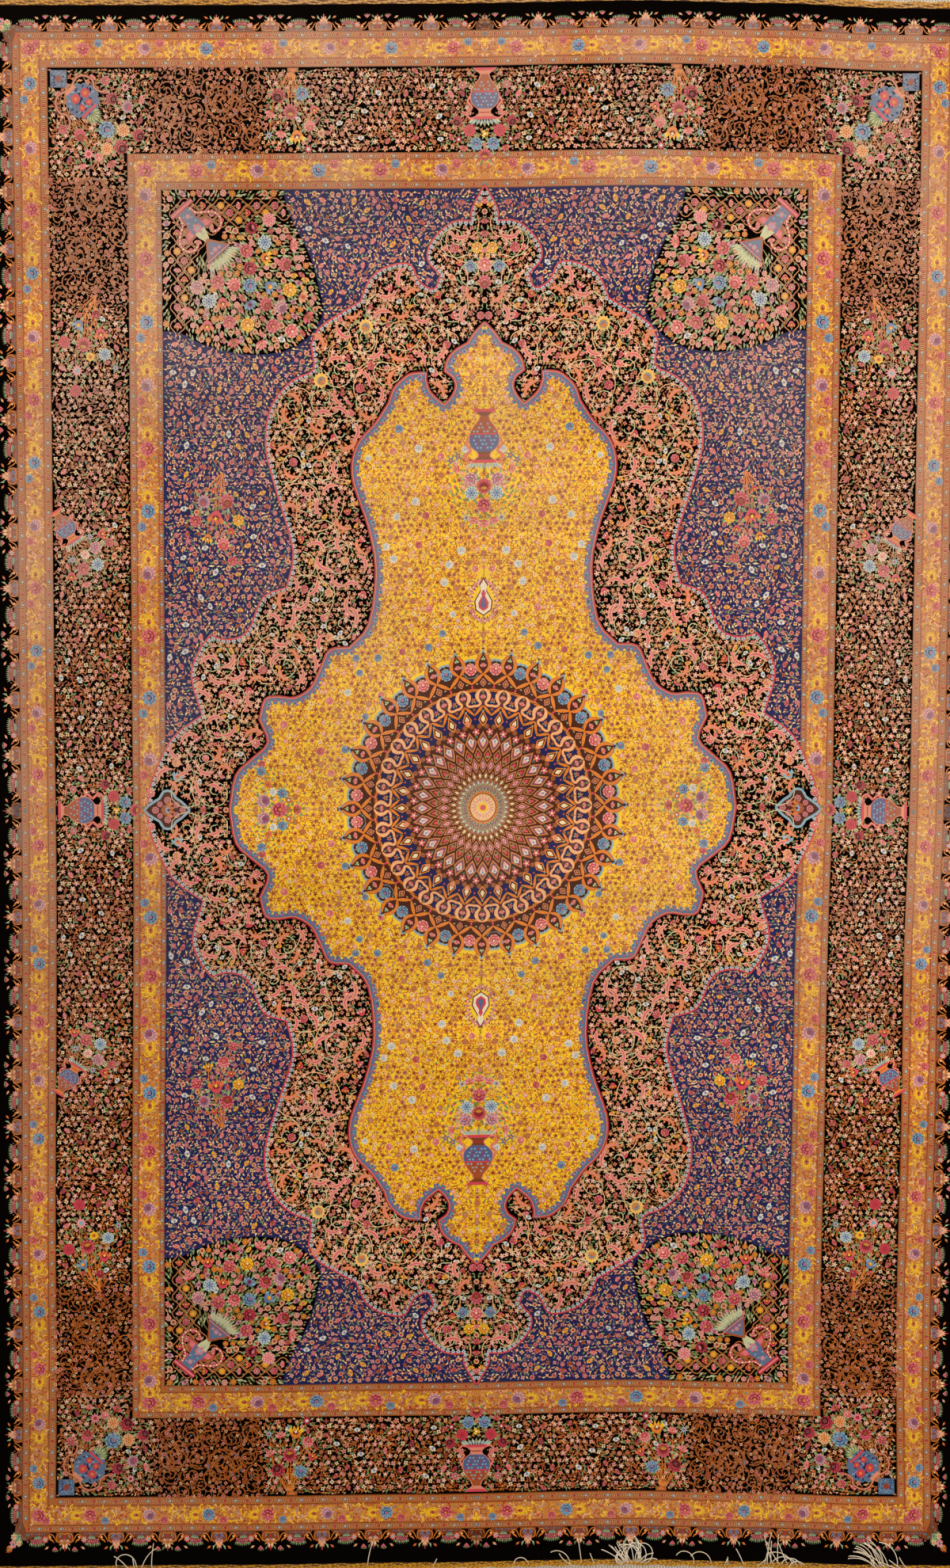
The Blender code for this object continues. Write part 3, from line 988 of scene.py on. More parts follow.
def ewer() -> Motif:
    """A lobed urn with a cone-shaped mouth and twisted handles, of unit height facing +y.

    Returns:
        The motif, with tones foot, body, cone, rim, plume, handle, spot and fleck.
    """
    made = Motif()
    for step in range(13):
        x = (step - 6) / 6
        made.leaf((0.15 * x, 0.88), (0.29 * x, 1.13 - 0.1 * abs(x)), 0.045, (4, 4 if step % 2 else 7), 0.2)
    for side in (-1, 1):
        made.leaf((side * 0.03, 0.27), (side * 0.27, 0.5), 0.2, (2, 2), 0.4, side * 0.1)
        made.leaf((side * 0.1, 0.35), (side * 0.23, 0.46), 0.1, (0, 6), 1.2, side * 0.1)
        grip = smooth([(side * x, y) for x, y in ((0.1, 0.1), (0.13, 0.22), (0.26, 0.31), (0.35, 0.42),
                                                  (0.33, 0.55), (0.22, 0.61), (0.13, 0.57))], 3)
        made.ribbon(grip, (0.045,), 3, 1.6)
        for step in range(len(grip) - 1):
            made.leaf(grip[step], grip[step + 1], 0.034, (0, 5) if step % 2 else (5, 5), 3)
    for number, (line, widths, tone) in enumerate((
        ([(0, 0.07), (0, 0.13), (0, 0.26), (0, 0.38), (0, 0.48)], (0.22, 0.2, 0.19, 0.3, 0.2), 3),
        ([(0, 0.08), (0, 0.13), (0, 0.26), (0, 0.38), (0, 0.47)], (0.19, 0.17, 0.16, 0.27, 0.17), 1),
        ([(0, 0.44), (0, 0.52), (0, 0.62)], (0.17, 0.15, 0.07), 4),
        ([(0, 0.6), (0, 0.86)], (0.03, 0.42), 2),
        ([(0, 0.65), (0, 0.84)], (0.02, 0.32), 1),
        ([(-0.21, 0.865), (0.21, 0.865)], (0.045,), 3),
        ([(-0.2, 0.865), (0.2, 0.865)], (0.015,), 7),
        ([(-0.2, 0.04), (0.2, 0.04)], (0.075,), 3),
        ([(-0.19, 0.04), (0.19, 0.04)], (0.03,), 0),
    )):
        made.ribbon(line, widths, tone, 1 + 0.15 * number)
    for x, y, size in ((0, 0.4, 0.085), (0, 0.79, 0.05), (-0.07, 0.8, 0.03), (0.07, 0.8, 0.03),
                       (0, 0.18, 0.05)):
        made.bloom(6, size, size * 0.6, (6, 0, 7), 3, (x, y))
    for step in range(12):
        x, y = 0.075 * math.cos(step * 2.4) * (1 - step / 30), 0.12 + 0.035 * step
        made.leaf((x - 0.02, y), (x + 0.02, y), 0.026, (7, 7), 2.6)
    return made


ROSE_RED = dyed("PINK RED WINE GOLD")
ROSE_PINK = dyed("BLUSH ROSE RED CREAM")
ROSE_BLUE = dyed("SKY BLUE NAVY ROSE")
ROSE_ORANGE = dyed("YELLOW AMBER RUST CREAM")
ROSE_PALE = dyed("IVORY BLUSH ROSE RED")
ROSE_LILAC = dyed("BLUSH LILAC PLUM ROSE")
ROSE_ICE = dyed("IVORY ICE BLUE SALMON")
ROSE_CRIMSON = dyed("ROSE WINE SOOT PINK")
ROSE_SALMON = dyed("PEACH SALMON RED GOLD")
NET_RED = dyed("RED ROSE WINE")
NET_BLUE = dyed("BLUE ICE NAVY")
NET_ORANGE = dyed("AMBER PEACH WINE")
NET_PINK = dyed("PINK BLUSH RED")
DAISY_ICE = dyed("ICE SKY RED")
DAISY_RED = dyed("ROSE RED ICE")
LILY_FIRE = dyed("AMBER ROSE WINE YELLOW")
LILY_SUN = dyed("YELLOW AMBER WINE CREAM")


@dataclass(frozen=True)
class Kind:
    """One kind of small shape in a filling."""

    motif: Motif
    sizes: tuple[float, float]
    palettes: tuple[tuple[Yarn, ...], ...]
    share: float = 1.0


@dataclass
class Swirls:
    """Centres that stems and leaves of a filling curl round."""

    centres: np.ndarray
    tilt: float = 0.45

    def angles(self, points: np.ndarray) -> np.ndarray:
        """The curl's direction at points.

        Args:
            points: The points, one to a row.

        Returns:
            Angles in radians.
        """
        rel = points[:, None, :] - self.centres[None]
        nearest = (rel ** 2).sum(2).argmin(1)
        way = rel[np.arange(len(points)), nearest]
        sign = np.where(nearest % 2 == 0, 1.0, -1.0)
        return np.arctan2(way[:, 1], way[:, 0]) + sign * (math.pi / 2 - self.tilt)


def lattice(low: Point, high: Point, pitch: float, jitter: float, rng: np.random.Generator) -> np.ndarray:
    """A six-sided lattice of points, each a little out of place.

    Args:
        low: The lowest corner.
        high: The highest corner.
        pitch: The spacing.
        jitter: How far out of place, over the spacing.
        rng: The source of the draws.

    Returns:
        The points.
    """
    rows = np.arange(low[1], high[1], pitch * 0.866)
    columns = np.arange(low[0], high[0], pitch)
    u, v = np.meshgrid(columns, rows)
    u = u + (np.arange(len(rows)) % 2)[:, None] * pitch / 2
    points = np.stack([u, v], axis=2).reshape(-1, 2)
    return points + rng.uniform(-jitter, jitter, points.shape) * pitch


class Meadow:
    """Fills a region with small flowers and leaves that keep clear of each other."""

    def __init__(self, pattern: Pattern, zone: Zone, region: Region, seed: int, swirls: Swirls | None = None,
                 taken: Sequence[Spot] = ()) -> None:
        """Starts an empty filling.

        Args:
            pattern: Where the shapes go.
            zone: Their part of the pile.
            region: What they stay inside.
            seed: The seed of the draws.
            swirls: What they curl round.
            taken: Places kept bare, as (x, y, radius).
        """
        self.pattern, self.zone, self.region, self.swirls = pattern, zone, region, swirls
        self.rng = np.random.default_rng(seed)
        self.taken = np.array(taken, float).reshape(-1, 3)
        self.forget()

    def forget(self) -> None:
        """Forgets what has grown, so that the next layer may run over it."""
        self.grown = np.empty((0, 3))

    def free(self, points: np.ndarray, reach: float) -> np.ndarray:
        """Which points lie clear of the bare places and of what has grown.

        Args:
            points: The points, one to a row.
            reach: Their own radius.

        Returns:
            True for each that is clear.
        """
        clear = np.ones(len(points), bool)
        for x, y, radius in self.taken:
            clear &= np.hypot(points[:, 0] - x, points[:, 1] - y) > radius + reach * 0.5
        if len(self.grown):
            tree = KDTree(len(self.grown))
            for number, (x, y, _) in enumerate(self.grown):
                tree.insert((x, y, 0), number)
            tree.balance()
            for number in np.flatnonzero(clear):
                _, found, gap = tree.find((*points[number], 0))
                clear[number] = gap > self.grown[found, 2] + reach
        return clear

    def grow(self, kinds: Sequence[Kind], pitch: float, reach: float, level: float, margin: float = 1.5,
             jitter: float = 0.22, spread: float = math.pi, block: float | None = None,
             symmetry: Symmetry = Symmetry.FOUR) -> None:
        """Grows one layer.

        Args:
            kinds: The shapes it is drawn from.
            pitch: Their spacing.
            reach: The radius that each keeps clear of the others' blocks.
            level: Their height in steps.
            margin: How far inside the region they stay.
            jitter: How far out of the lattice, over the spacing.
            spread: How far they turn from the curl.
            block: The radius that each blocks for later layers, if not its reach.
            symmetry: The mirrored copies.
        """
        low, high = self.region.outline.min(0), self.region.outline.max(0)
        points = lattice(tuple(low), tuple(high), pitch, jitter, self.rng)
        if symmetry is Symmetry.FOUR:
            points = points[(points[:, 0] > reach * 0.8) & (points[:, 1] > reach * 0.8)]
        points = points[self.region.holds(points, margin)]
        points = points[self.free(points, reach)]
        base = self.swirls.angles(points) if self.swirls else np.zeros(len(points))
        turns = base + self.rng.uniform(-spread, spread, len(points))
        shares = np.array([k.share for k in kinds])
        choice = self.rng.choice(len(kinds), len(points), p=shares / shares.sum())
        for number, kind in enumerate(kinds):
            mine = np.flatnonzero(choice == number)
            if not len(mine):
                continue
            palettes = np.array([[yarn.rgb for yarn in p] for p in kind.palettes])
            picked = palettes[self.rng.integers(0, len(palettes), len(mine))]
            sizes = self.rng.uniform(*kind.sizes, len(mine))
            flip = self.rng.choice((-1, 1), len(mine))
            self.pattern.stamp(self.zone, kind.motif, points[mine], turns[mine], sizes, picked, level,
                               symmetry, flip)
        blocked = np.full((len(points), 1), reach if block is None else block)
        self.grown = np.concatenate([self.grown, np.concatenate([points, blocked], axis=1)])

    def seam(self, kinds: Sequence[Kind], pitch: float, reach: float, level: float, side: bool,
             margin: float = 3.0) -> None:
        """Sets evenly built motifs on a mirror line, where nothing else can stand.

        Args:
            kinds: The motifs, in turn.
            pitch: Their spacing.
            reach: The radius that each blocks.
            level: Their height in steps.
            side: Whether the line is the crosswise one.
            margin: How far inside the region they stay.
        """
        far = self.region.outline.max(0)[0 if side else 1]
        steps = np.arange(pitch * 0.6, far, pitch)
        points = np.stack([steps, steps * 0 + 0.01] if side else [steps * 0 + 0.01, steps], axis=1)
        points = points[self.region.holds(points, margin)]
        points = points[self.free(points, reach * 0.9)]
        symmetry = Symmetry.SIDES if side else Symmetry.ENDS
        for number, point in enumerate(points):
            kind = kinds[number % len(kinds)]
            palette = kind.palettes[number // len(kinds) % len(kind.palettes)]
            self.pattern.one(self.zone, kind.motif, tuple(point), palette, level, sum(kind.sizes) / 2,
                             -90 if side else 0, symmetry)
        self.grown = np.concatenate([self.grown, np.c_[points, np.full(len(points), reach)]])


@dataclass(frozen=True)
class Head:
    """One flower of a bouquet, placed in millimetres from the bouquet's root."""

    motif: Motif
    palette: tuple[Yarn, ...]
    x: float
    y: float
    radius: float


@dataclass(frozen=True)
class Bouquet:
    """Flower heads on curved stems from one root, with leaves between them."""

    zone: Zone
    root: Point
    heads: tuple[Head, ...]
    turn: float = 0.0
    level: float = 7.0
    stem: Yarn | None = Yarn.TAN
    leaves: tuple[Yarn, ...] = dyed("GREEN MINT OLIVE")
    paired: bool = False
    symmetry: Symmetry = Symmetry.FOUR
    scale: float = 1.0

    def draw(self, pattern: Pattern) -> list[Spot]:
        """Draws it.

        Args:
            pattern: Where it goes.

        Returns:
            The places that it takes, as (x, y, radius).
        """
        taken = []
        sides = (1, -1) if self.paired else (1,)
        for number, head in enumerate(self.heads):
            for side in sides if head.x else (1,):
                taken.append(self.flower(pattern, head, side, number))
        return taken

    def flower(self, pattern: Pattern, head: Head, side: int, number: int) -> Spot:
        """Draws one flower with its stem and leaves.

        Args:
            pattern: Where it goes.
            head: The flower.
            side: -1 for its mirrored copy.
            number: Its place in the bouquet, which varies its leaves.

        Returns:
            The place that it takes.
        """
        x, y = side * head.x * self.scale, head.y * self.scale
        radius = head.radius * self.scale
        reach = math.hypot(x, y) or 1
        way = math.atan2(y, x) if reach > radius else math.pi / 2
        made = Motif()
        if reach > 2.2 * radius and self.stem is not None:
            bend = side * 0.1 * reach
            middle = (x * 0.45 - bend * math.sin(way), y * 0.45 + bend * math.cos(way))
            made.ribbon(smooth([(0, 0), middle, (x, y)], 4), (1.1,), 0, -1.5)
        for step in range(6):
            angle = way + (step - 2.5) * 1.05 + 0.2 * number
            base = (x + 0.7 * radius * math.cos(angle), y + 0.7 * radius * math.sin(angle))
            tip = (x + 1.65 * radius * math.cos(angle + 0.12), y + 1.65 * radius * math.sin(angle + 0.12))
            made.leaf(base, tip, 0.42 * radius, (1 + step % 3, 1 + (step + 1) % 3), -1, 0.1)
        turn = math.radians(self.turn)
        colours = (self.stem or Yarn.TAN, *self.leaves)
        pattern.one(self.zone, made, self.root, colours, self.level, 1, self.turn, self.symmetry)
        spot = (self.root[0] + x * math.cos(turn) - y * math.sin(turn),
                self.root[1] + x * math.sin(turn) + y * math.cos(turn))
        pattern.one(self.zone, head.motif, spot, head.palette, self.level + 1 + 0.12 * number, radius,
                    self.turn + math.degrees(way) - 90, self.symmetry, side < 0)
        return (*spot, radius * 0.95)


@dataclass(frozen=True)
class Run:
    """A straight stretch of a band, from a middle line of the rug to its corner."""

    middle: float
    length: float
    side: bool

    def place(self, s: float, t: float) -> Point:
        """The drawn point at a distance along and outwards."""
        return (self.middle + t, s) if self.side else (s, self.middle + t)

    def stamp(self, pattern: Pattern, zone: Zone, motif: Motif, steps: Sequence[float], t: float, size: float,
              palette: Sequence[Yarn], level: float, turn: float = 0.0, mirror: bool = False) -> None:
        """Sets copies of a motif along the stretch.

        Args:
            pattern: Where they go.
            zone: Their part of the pile.
            motif: The motif, with +x along the stretch and +y outwards.
            steps: Their distances along it.
            t: How far outwards of the middle they stand.
            size: Their scale.
            palette: Their yarns, by tone.
            level: Their height in steps.
            turn: Their turn in degrees.
            mirror: Whether they run backwards.
        """
        steps = np.asarray(steps, float)
        if not len(steps):
            return
        across = np.full(len(steps), self.middle + t)
        places = np.stack([across, steps] if self.side else [steps, across], axis=1)
        angle = -90 - turn if self.side else turn
        flip = np.full(len(steps), -1.0 if mirror != self.side else 1.0)
        colours = tinted(palette, len(steps))
        pattern.stamp(zone, motif, places, np.full(len(steps), math.radians(angle)),
                      np.full(len(steps), size), colours, level, Symmetry.FOUR, flip)


@dataclass(frozen=True)
class Band:
    """A band between two rectangles round the design, in its first quarter."""

    outer: Point
    inner: Point

    def outline(self) -> list[Point]:
        """The corners of its quarter."""
        (a, b), (c, d) = self.outer, self.inner
        return [(0, d), (c, d), (c, 0), (a, 0), (a, b), (0, b)]

    def runs(self) -> tuple[Run, Run]:
        """Its stretches along the short end and along the side, up to their shared corner."""
        across, along = (self.outer[0] + self.inner[0]) / 2, (self.outer[1] + self.inner[1]) / 2
        return Run(along, across, False), Run(across, along, True)

    def edges(self, pattern: Pattern, zone: Zone, width: float, yarn: Yarn, level: float, gap: float) -> None:
        """Draws a line just inside each of its two rims.

        Args:
            pattern: Where it goes.
            zone: Its part of the pile.
            width: The line's width.
            yarn: Its yarn.
            level: Its height in steps.
            gap: How far inside the rim it runs.
        """
        for (a, b), way in ((self.outer, -1), (self.inner, 1)):
            far, near = gap + width, gap
            out = (a + way * near, b + way * near)
            inn = (a + way * far, b + way * far)
            if way > 0:
                out, inn = inn, out
            pattern.ground(zone, Band(out, inn).outline(), yarn, level, Symmetry.FOUR)


EDGE = Band((797, 1257), (744, 1205))
STRIPES = (
    Band((744, 1205), (731.5, 1193)),
    Band((701.5, 1162), (688.5, 1148)),
    Band((564, 1019), (553, 1008)),
    Band((519, 973), (511, 960)),
)
GUARDS = (Band((731.5, 1193), (701.5, 1162)), Band((553, 1008), (519, 973)))
MAIN = Band((688.5, 1148), (564, 1019))
FIELD_CORNER = (511.0, 960.0)
VINE_BOXES = (((345.0, 1019.0), (520.0, 1148.0)), ((564.0, 790.0), (688.5, 972.0)))

# Turning points of the two lobed outlines, first quarter, in millimetres. A third number of 1 is a cusp.
SURROUND_TURNS = (
    (0, 965, 1), (20, 928, 0), (20, 910, 1), (52, 908, 0), (83, 880, 0), (90, 852, 0), (70, 828, 1),
    (80, 806, 0), (104, 818, 0), (118, 844, 0), (150, 842, 0), (180, 824, 0), (197, 788, 1), (232, 768, 0),
    (262, 748, 0), (275, 722, 1), (272, 684, 0), (305, 668, 0), (338, 630, 0), (348, 568, 0), (330, 495, 0),
    (304, 405, 0), (315, 348, 1), (352, 334, 0), (371, 291, 1), (385, 274, 0), (412, 267, 0), (438, 274, 1),
    (457, 247, 0), (468, 209, 0), (451, 149, 1), (500, 112, 0), (533, 45, 0), (542, 0, 0),
)
MEDALLION_TURNS = (
    (0, 755, 1), (11, 744, 0), (19, 735, 0), (25, 726, 0), (27, 723, 1), (35, 719, 0), (44, 714, 0),
    (53, 706, 0), (59, 697, 0), (62, 686, 0), (63, 681, 1), (56, 676, 0), (50, 671, 0), (46, 662, 0),
    (46, 653, 0), (50, 644, 0), (56, 636, 0), (64, 629, 1), (72, 635, 0), (80, 642, 0), (87, 650, 0),
    (91, 660, 0), (93, 669, 0), (92, 678, 1), (105, 678, 0), (118, 676, 0), (129, 669, 0), (144, 654, 0),
    (152, 632, 1), (173, 601, 0), (190, 584, 0), (203, 566, 0), (210, 541, 0), (209, 514, 0),
    (200, 485, 0), (184, 440, 0), (172, 373, 0), (183, 290, 0), (215, 253, 1), (246, 250, 0), (259, 226, 1),
    (276, 192, 0), (302, 176, 0), (328, 178, 1), (350, 174, 0), (359, 142, 1), (346, 106, 0), (372, 80, 0),
    (398, 54, 0), (408, 0, 0),
)
CORNER_TURNS = (
    (511, 744, 1), (484, 742, 0), (441, 722, 0), (368, 708, 0), (300, 720, 0), (258, 764, 0), (262, 807, 0),
    (276, 857, 0), (298, 900, 0), (312, 930, 0), (318, 960, 1),
)


def lobed(turns: Sequence[tuple[float, float, int]], steps: int = 3) -> list[Point]:
    """A smooth line with cusps.

    Args:
        turns: Its turning points, each with 1 for a cusp or 0.
        steps: How many steps each stretch is cut into.

    Returns:
        The line's points.
    """
    made: list[Point] = []
    stretch: list[Point] = []
    for x, y, cusp in turns:
        stretch.append((x, y))
        if cusp and len(stretch) > 1:
            made += smooth(stretch, steps)[:-1]
            stretch = [(x, y)]
    if len(stretch) > 1:
        made += smooth(stretch, steps)[:-1]
    return [*made, turns[-1][:2]]


SURROUND_LINE = lobed(SURROUND_TURNS)
MEDALLION_LINE = lobed(MEDALLION_TURNS)
CORNER_LINE = lobed(CORNER_TURNS)


def mirrored(line: Sequence[Point]) -> np.ndarray:
    """The closed outline that a quarter's line makes.

    Args:
        line: The line, from the lengthwise middle line to the crosswise one.

    Returns:
        The whole outline.
    """
    quarter = np.array(line)
    upper = np.concatenate([quarter * (-1, 1), quarter[::-1]])
    return np.concatenate([upper, upper[::-1] * (1, -1)])


def inset(line: Sequence[Point], gap: float) -> list[Point]:
    """A line moved sideways.

    Args:
        line: The line.
        gap: How far it moves, to its right.

    Returns:
        The moved line.
    """
    points = np.array(line, float)
    way = np.gradient(points, axis=0)
    way /= np.linalg.norm(way, axis=1)[:, None] + 1e-9
    return [tuple(p) for p in points + np.stack([way[:, 1], -way[:, 0]], axis=1) * gap]


def closed(line: Sequence[Point]) -> list[Point]:
    """A quarter's line, closed through the middle."""
    return [*line, (0, 0)]


def centres(low: Point, high: Point, pitch: float, seed: int) -> np.ndarray:
    """Swirl centres spread over a box.

    Args:
        low: Its lowest corner.
        high: Its highest corner.
        pitch: Their spacing.
        seed: The seed of the draws.

    Returns:
        The centres.
    """
    return lattice(low, high, pitch, 0.12, np.random.default_rng(seed))


def arms(pattern: Pattern, zone: Zone, region: Region, swirls: Swirls, yarn: Yarn, reach: float, width: float,
         level: float, count: int = 3, turns: float = 0.75) -> list[Spot]:
    """Draws thin curling stems round every swirl.

    Args:
        pattern: Where they go.
        zone: Their part of the pile.
        region: What they stay inside.
        swirls: Their centres.
        yarn: Their yarn.
        reach: How far out they curl.
        width: Their width.
        level: Their height in steps.
        count: How many stems each swirl has.
        turns: How far round each goes.

    Returns:
        The places that they take, as (x, y, radius).
    """
    taken = []
    for number, centre in enumerate(swirls.centres):
        sign = 1 if number % 2 == 0 else -1
        for arm in range(count):
            line = spiral(tuple(centre), reach * 0.12, reach, 360 * arm / count + 40 * number,
                          -turns * sign, 14)
            inside = region.holds(np.array(line), width * 2) & (np.array(line).min(1) > 0.5)
            kept = [p for p, held in zip(line, inside) if held]
            if len(kept) > 4 and inside[: len(kept)].all():
                pattern.one(zone, Motif().ribbon(kept, (width,), 0), (0, 0), (yarn,), level)
                taken += [(x, y, width * 0.6) for x, y in kept]
    return taken


@dataclass(frozen=True)
class Bouquets:
    """The urns, vases and bouquets, drawn in the first quarter."""

    @staticmethod
    def vessel(pattern: Pattern, zone: Zone, root: Point, height: float, turn: float, level: float,
               symmetry: Symmetry = Symmetry.FOUR, foot: Yarn = Yarn.SALMON,
               shape: Motif | None = None) -> list[Spot]:
        """Draws an urn.

        Args:
            pattern: Where it goes.
            zone: Its part of the pile.
            root: The middle of its foot.
            height: Its height.
            turn: Its turn in degrees, 0 for upright.
            level: Its height over the pile, in steps.
            symmetry: The mirrored copies.
            foot: The yarn of its foot and neck.
            shape: Its motif, if not the plain urn.

        Returns:
            The places that it takes, as (x, y, radius).
        """
        palette = (foot, Yarn.SLATE, Yarn.RUST, Yarn.ROSE, Yarn.PISTACHIO, Yarn.SALMON, Yarn.RED, Yarn.SKY)
        if shape is not None:
            palette = (foot, Yarn.STEEL, Yarn.RUST, Yarn.RED, Yarn.PISTACHIO, Yarn.CREAM, Yarn.ROSE, Yarn.SKY)
        pattern.one(zone, shape or urn(), root, palette, level, height, turn, symmetry)
        ahead = math.radians(turn + 90)
        return [(root[0] + share * height * math.cos(ahead), root[1] + share * height * math.sin(ahead),
                 wide * height) for share, wide in ((0.1, 0.14), (0.35, 0.16), (0.55, 0.26), (0.8, 0.2))]

    def border(self, pattern: Pattern) -> list[Spot]:
        """Draws those of the main border.

        Args:
            pattern: Where it goes.

        Returns:
            The places that they take, as (x, y, radius).
        """
        zone, taken = Zone.BORDER, []
        group = (
            Head(thistle(), ROSE_RED, 0, 131, 11.5), Head(rose(), ROSE_BLUE, 13.5, 114, 10),
            Head(honeycomb(), NET_RED, 23.5, 94, 9.8), Head(daisy(), DAISY_RED, 41, 107, 6),
            Head(cup(), ROSE_RED, 33, 120, 7.5), Head(blossom(3), ROSE_ORANGE, 0, 99, 6),
            Head(peony(), ROSE_CRIMSON, 43, 80, 8.5), Head(cup(), ROSE_PINK, 53, 39, 7),
            Head(ringlet(), dyed("PINK WINE CREAM"), 35, 26, 6.5),
            Head(bud(), dyed("RED ROSE GREEN"), 21.8, 17, 6),
        )
        for root, turn, symmetry, scale in (((0, 1145), 180, Symmetry.ENDS, 1),
                                            ((684.5, 0), 90, Symmetry.SIDES, 0.95)):
            taken += self.vessel(pattern, zone, root, 90 * scale, turn, 9, symmetry)
            taken += Bouquet(zone, root, group, turn, 6, None, paired=True, symmetry=symmetry,
                             scale=scale).draw(pattern)
        mound = Motif().fan([(-9, 0), (-7, 5), (0, 8), (7, 5), (9, 0)], (0,), 1)
        pattern.one(zone, mound, (302, 1147), dyed("RUST AMBER"), 5, turn=180)
        taken += Bouquet(zone, (302, 1144), (
            Head(thistle(), ROSE_RED, -4, 63, 13), Head(lily(), LILY_SUN, 6, 100, 12),
            Head(daisy(), DAISY_RED, 24, 119, 8), Head(rose(), ROSE_BLUE, 14, 36, 10.5),
            Head(peony(), ROSE_CRIMSON, -23, 39, 11.5), Head(cup(), ROSE_PINK, -36, 66, 9),
            Head(cup(), ROSE_PINK, -19, 96, 9), Head(peony(), ROSE_PINK, 26, 85, 9),
            Head(lily(), LILY_FIRE, 33, 60, 8.5), Head(daisy(), DAISY_ICE, -38, 98, 6),
            Head(ringlet(), dyed("PEACH WINE ROSE"), 44, 96, 6),
        ), 180, 6, Yarn.AMBER).draw(pattern)
        taken += Bouquet(zone, (616, 800), (
            Head(honeycomb(), NET_RED, -34, 147, 10), Head(daisy(11), dyed("PINK BLUSH SKY"), -31, 116, 11.5),
            Head(ringlet(), dyed("YELLOW AMBER WINE"), -10, 95, 7.5),
            Head(honeycomb(), NET_BLUE, 13, 91, 9.8),
            Head(thistle(), ROSE_RED, -20, 76, 13), Head(honeycomb(), NET_RED, -51, 72, 10),
            Head(lily(), LILY_FIRE, 7, 60, 11), Head(lily(), dyed("SKY BLUE AMBER YELLOW"), -28, 46, 9.8),
            Head(rose(), ROSE_CRIMSON, 0, 30, 7), Head(ringlet(), dyed("PINK WINE CREAM"), 15, 149, 6),
            Head(daisy(), DAISY_ICE, 30, 112, 6),
        ), 180, 6, Yarn.AMBER).draw(pattern)
        taken += self.vessel(pattern, zone, (685, 468), 66, 147, 9, foot=Yarn.AMBER)
        taken += Bouquet(zone, (655, 422), (
            Head(rose(), ROSE_RED, 15, 44, 10), Head(honeycomb(), NET_BLUE, 38, 37, 10),
            Head(daisy(), DAISY_ICE, -2, 30, 6.5), Head(rose(), ROSE_PALE, 18, 22, 7.5),
            Head(rose(), ROSE_LILAC, 35, 11, 10), Head(daisy(), DAISY_ICE, 26, -6, 6),
            Head(rose(), ROSE_RED, 57, 3, 7), Head(bud(), dyed("RED ROSE GREEN"), 57, 56, 8),
            Head(cup(), ROSE_PINK, 20, 68, 8), Head(lily(), LILY_FIRE, 45, -10, 9),
            Head(lily(), LILY_FIRE, -4, 56, 9), Head(cup(), ROSE_SALMON, 64, 24, 7),
        ), 180, 6, Yarn.TAN).draw(pattern)
        rng = np.random.default_rng(77)
        plinth = Motif().fan([(-1, -1), (1, -1), (1, 1), (-1, 1)], (0,), 0)
        belly = Motif().bloom(13, 1, 0.9, (0, 0, 0), broad=0.5)
        for made, tall in ((plinth, 0.9), (belly, 0.82)):
            for x, y in rng.uniform(-tall, tall, (70, 2)):
                if made is plinth or math.hypot(x, y) < 0.82:
                    angle = 0.8 * math.sin(5 * x) + 1.2 * math.cos(4 * y)
                    dx, dy = 0.13 * math.cos(angle), 0.13 * math.sin(angle)
                    tone = 1 if (x + y) % 0.4 < 0.26 else 2
                    made.leaf((x - dx, y - dy), (x + dx, y + dy), 0.1, (tone, tone), 0.5)
        plinth.bloom(8, 0.42, 0.34, (3, 4, 3), 1)
        for x, y, size in ((0.42, 0.1, 0.3), (-0.14, 0.44, 0.3), (-0.36, -0.06, 0.22), (0.04, -0.4, 0.22)):
            belly.bloom(9, size, size * 0.82, (3, 4, 4), 1, (x, y))
            belly.bloom(4, size * 0.4, size * 0.3, (5, 5, 5), 1.6, (x, y))
        tones = dyed("STEEL NAVY SKY RED ROSE AMBER")
        pattern.one(zone, plinth, (671, 1131), (*tones[:3], Yarn.BROWN, Yarn.RED), 6, 13)
        pattern.one(zone, belly, (633, 1098), tones, 8.5, 27)
        foot, tilt = (660, 1122), 137
        for side in (-1, 1):
            line = smooth([(side * x, y) for x, y in ((5, 8), (20, 4), (31, 10), (36, 24), (30, 34),
                                                      (34, 46), (42, 50))], 3)
            pattern.one(zone, Motif().ribbon(line, (4,), 0), foot, dyed("BROWN"), 7.8, 1, tilt)
            pattern.one(zone, Motif().ribbon(line, (1.8,), 0), foot, dyed("SALMON"), 8.2, 1, tilt)
        pattern.one(zone, Motif().ribbon([(-15, 54), (15, 54)], (4,), 0), foot, dyed("ROSE"), 9.4, 1, tilt)
        pattern.one(zone, Motif().ribbon([(-9, 11), (9, 11)], (6,), 0), foot, dyed("SALMON"), 8, 1, tilt)
        pattern.one(zone, sheaf(13, 120, 24, 3.4), (621, 1081), dyed("PISTACHIO GREEN"), 8.2, 1, tilt)
        taken += [(633, 1098, 27), (672, 1131, 15), (655, 1118, 10), (614, 1081, 14)]
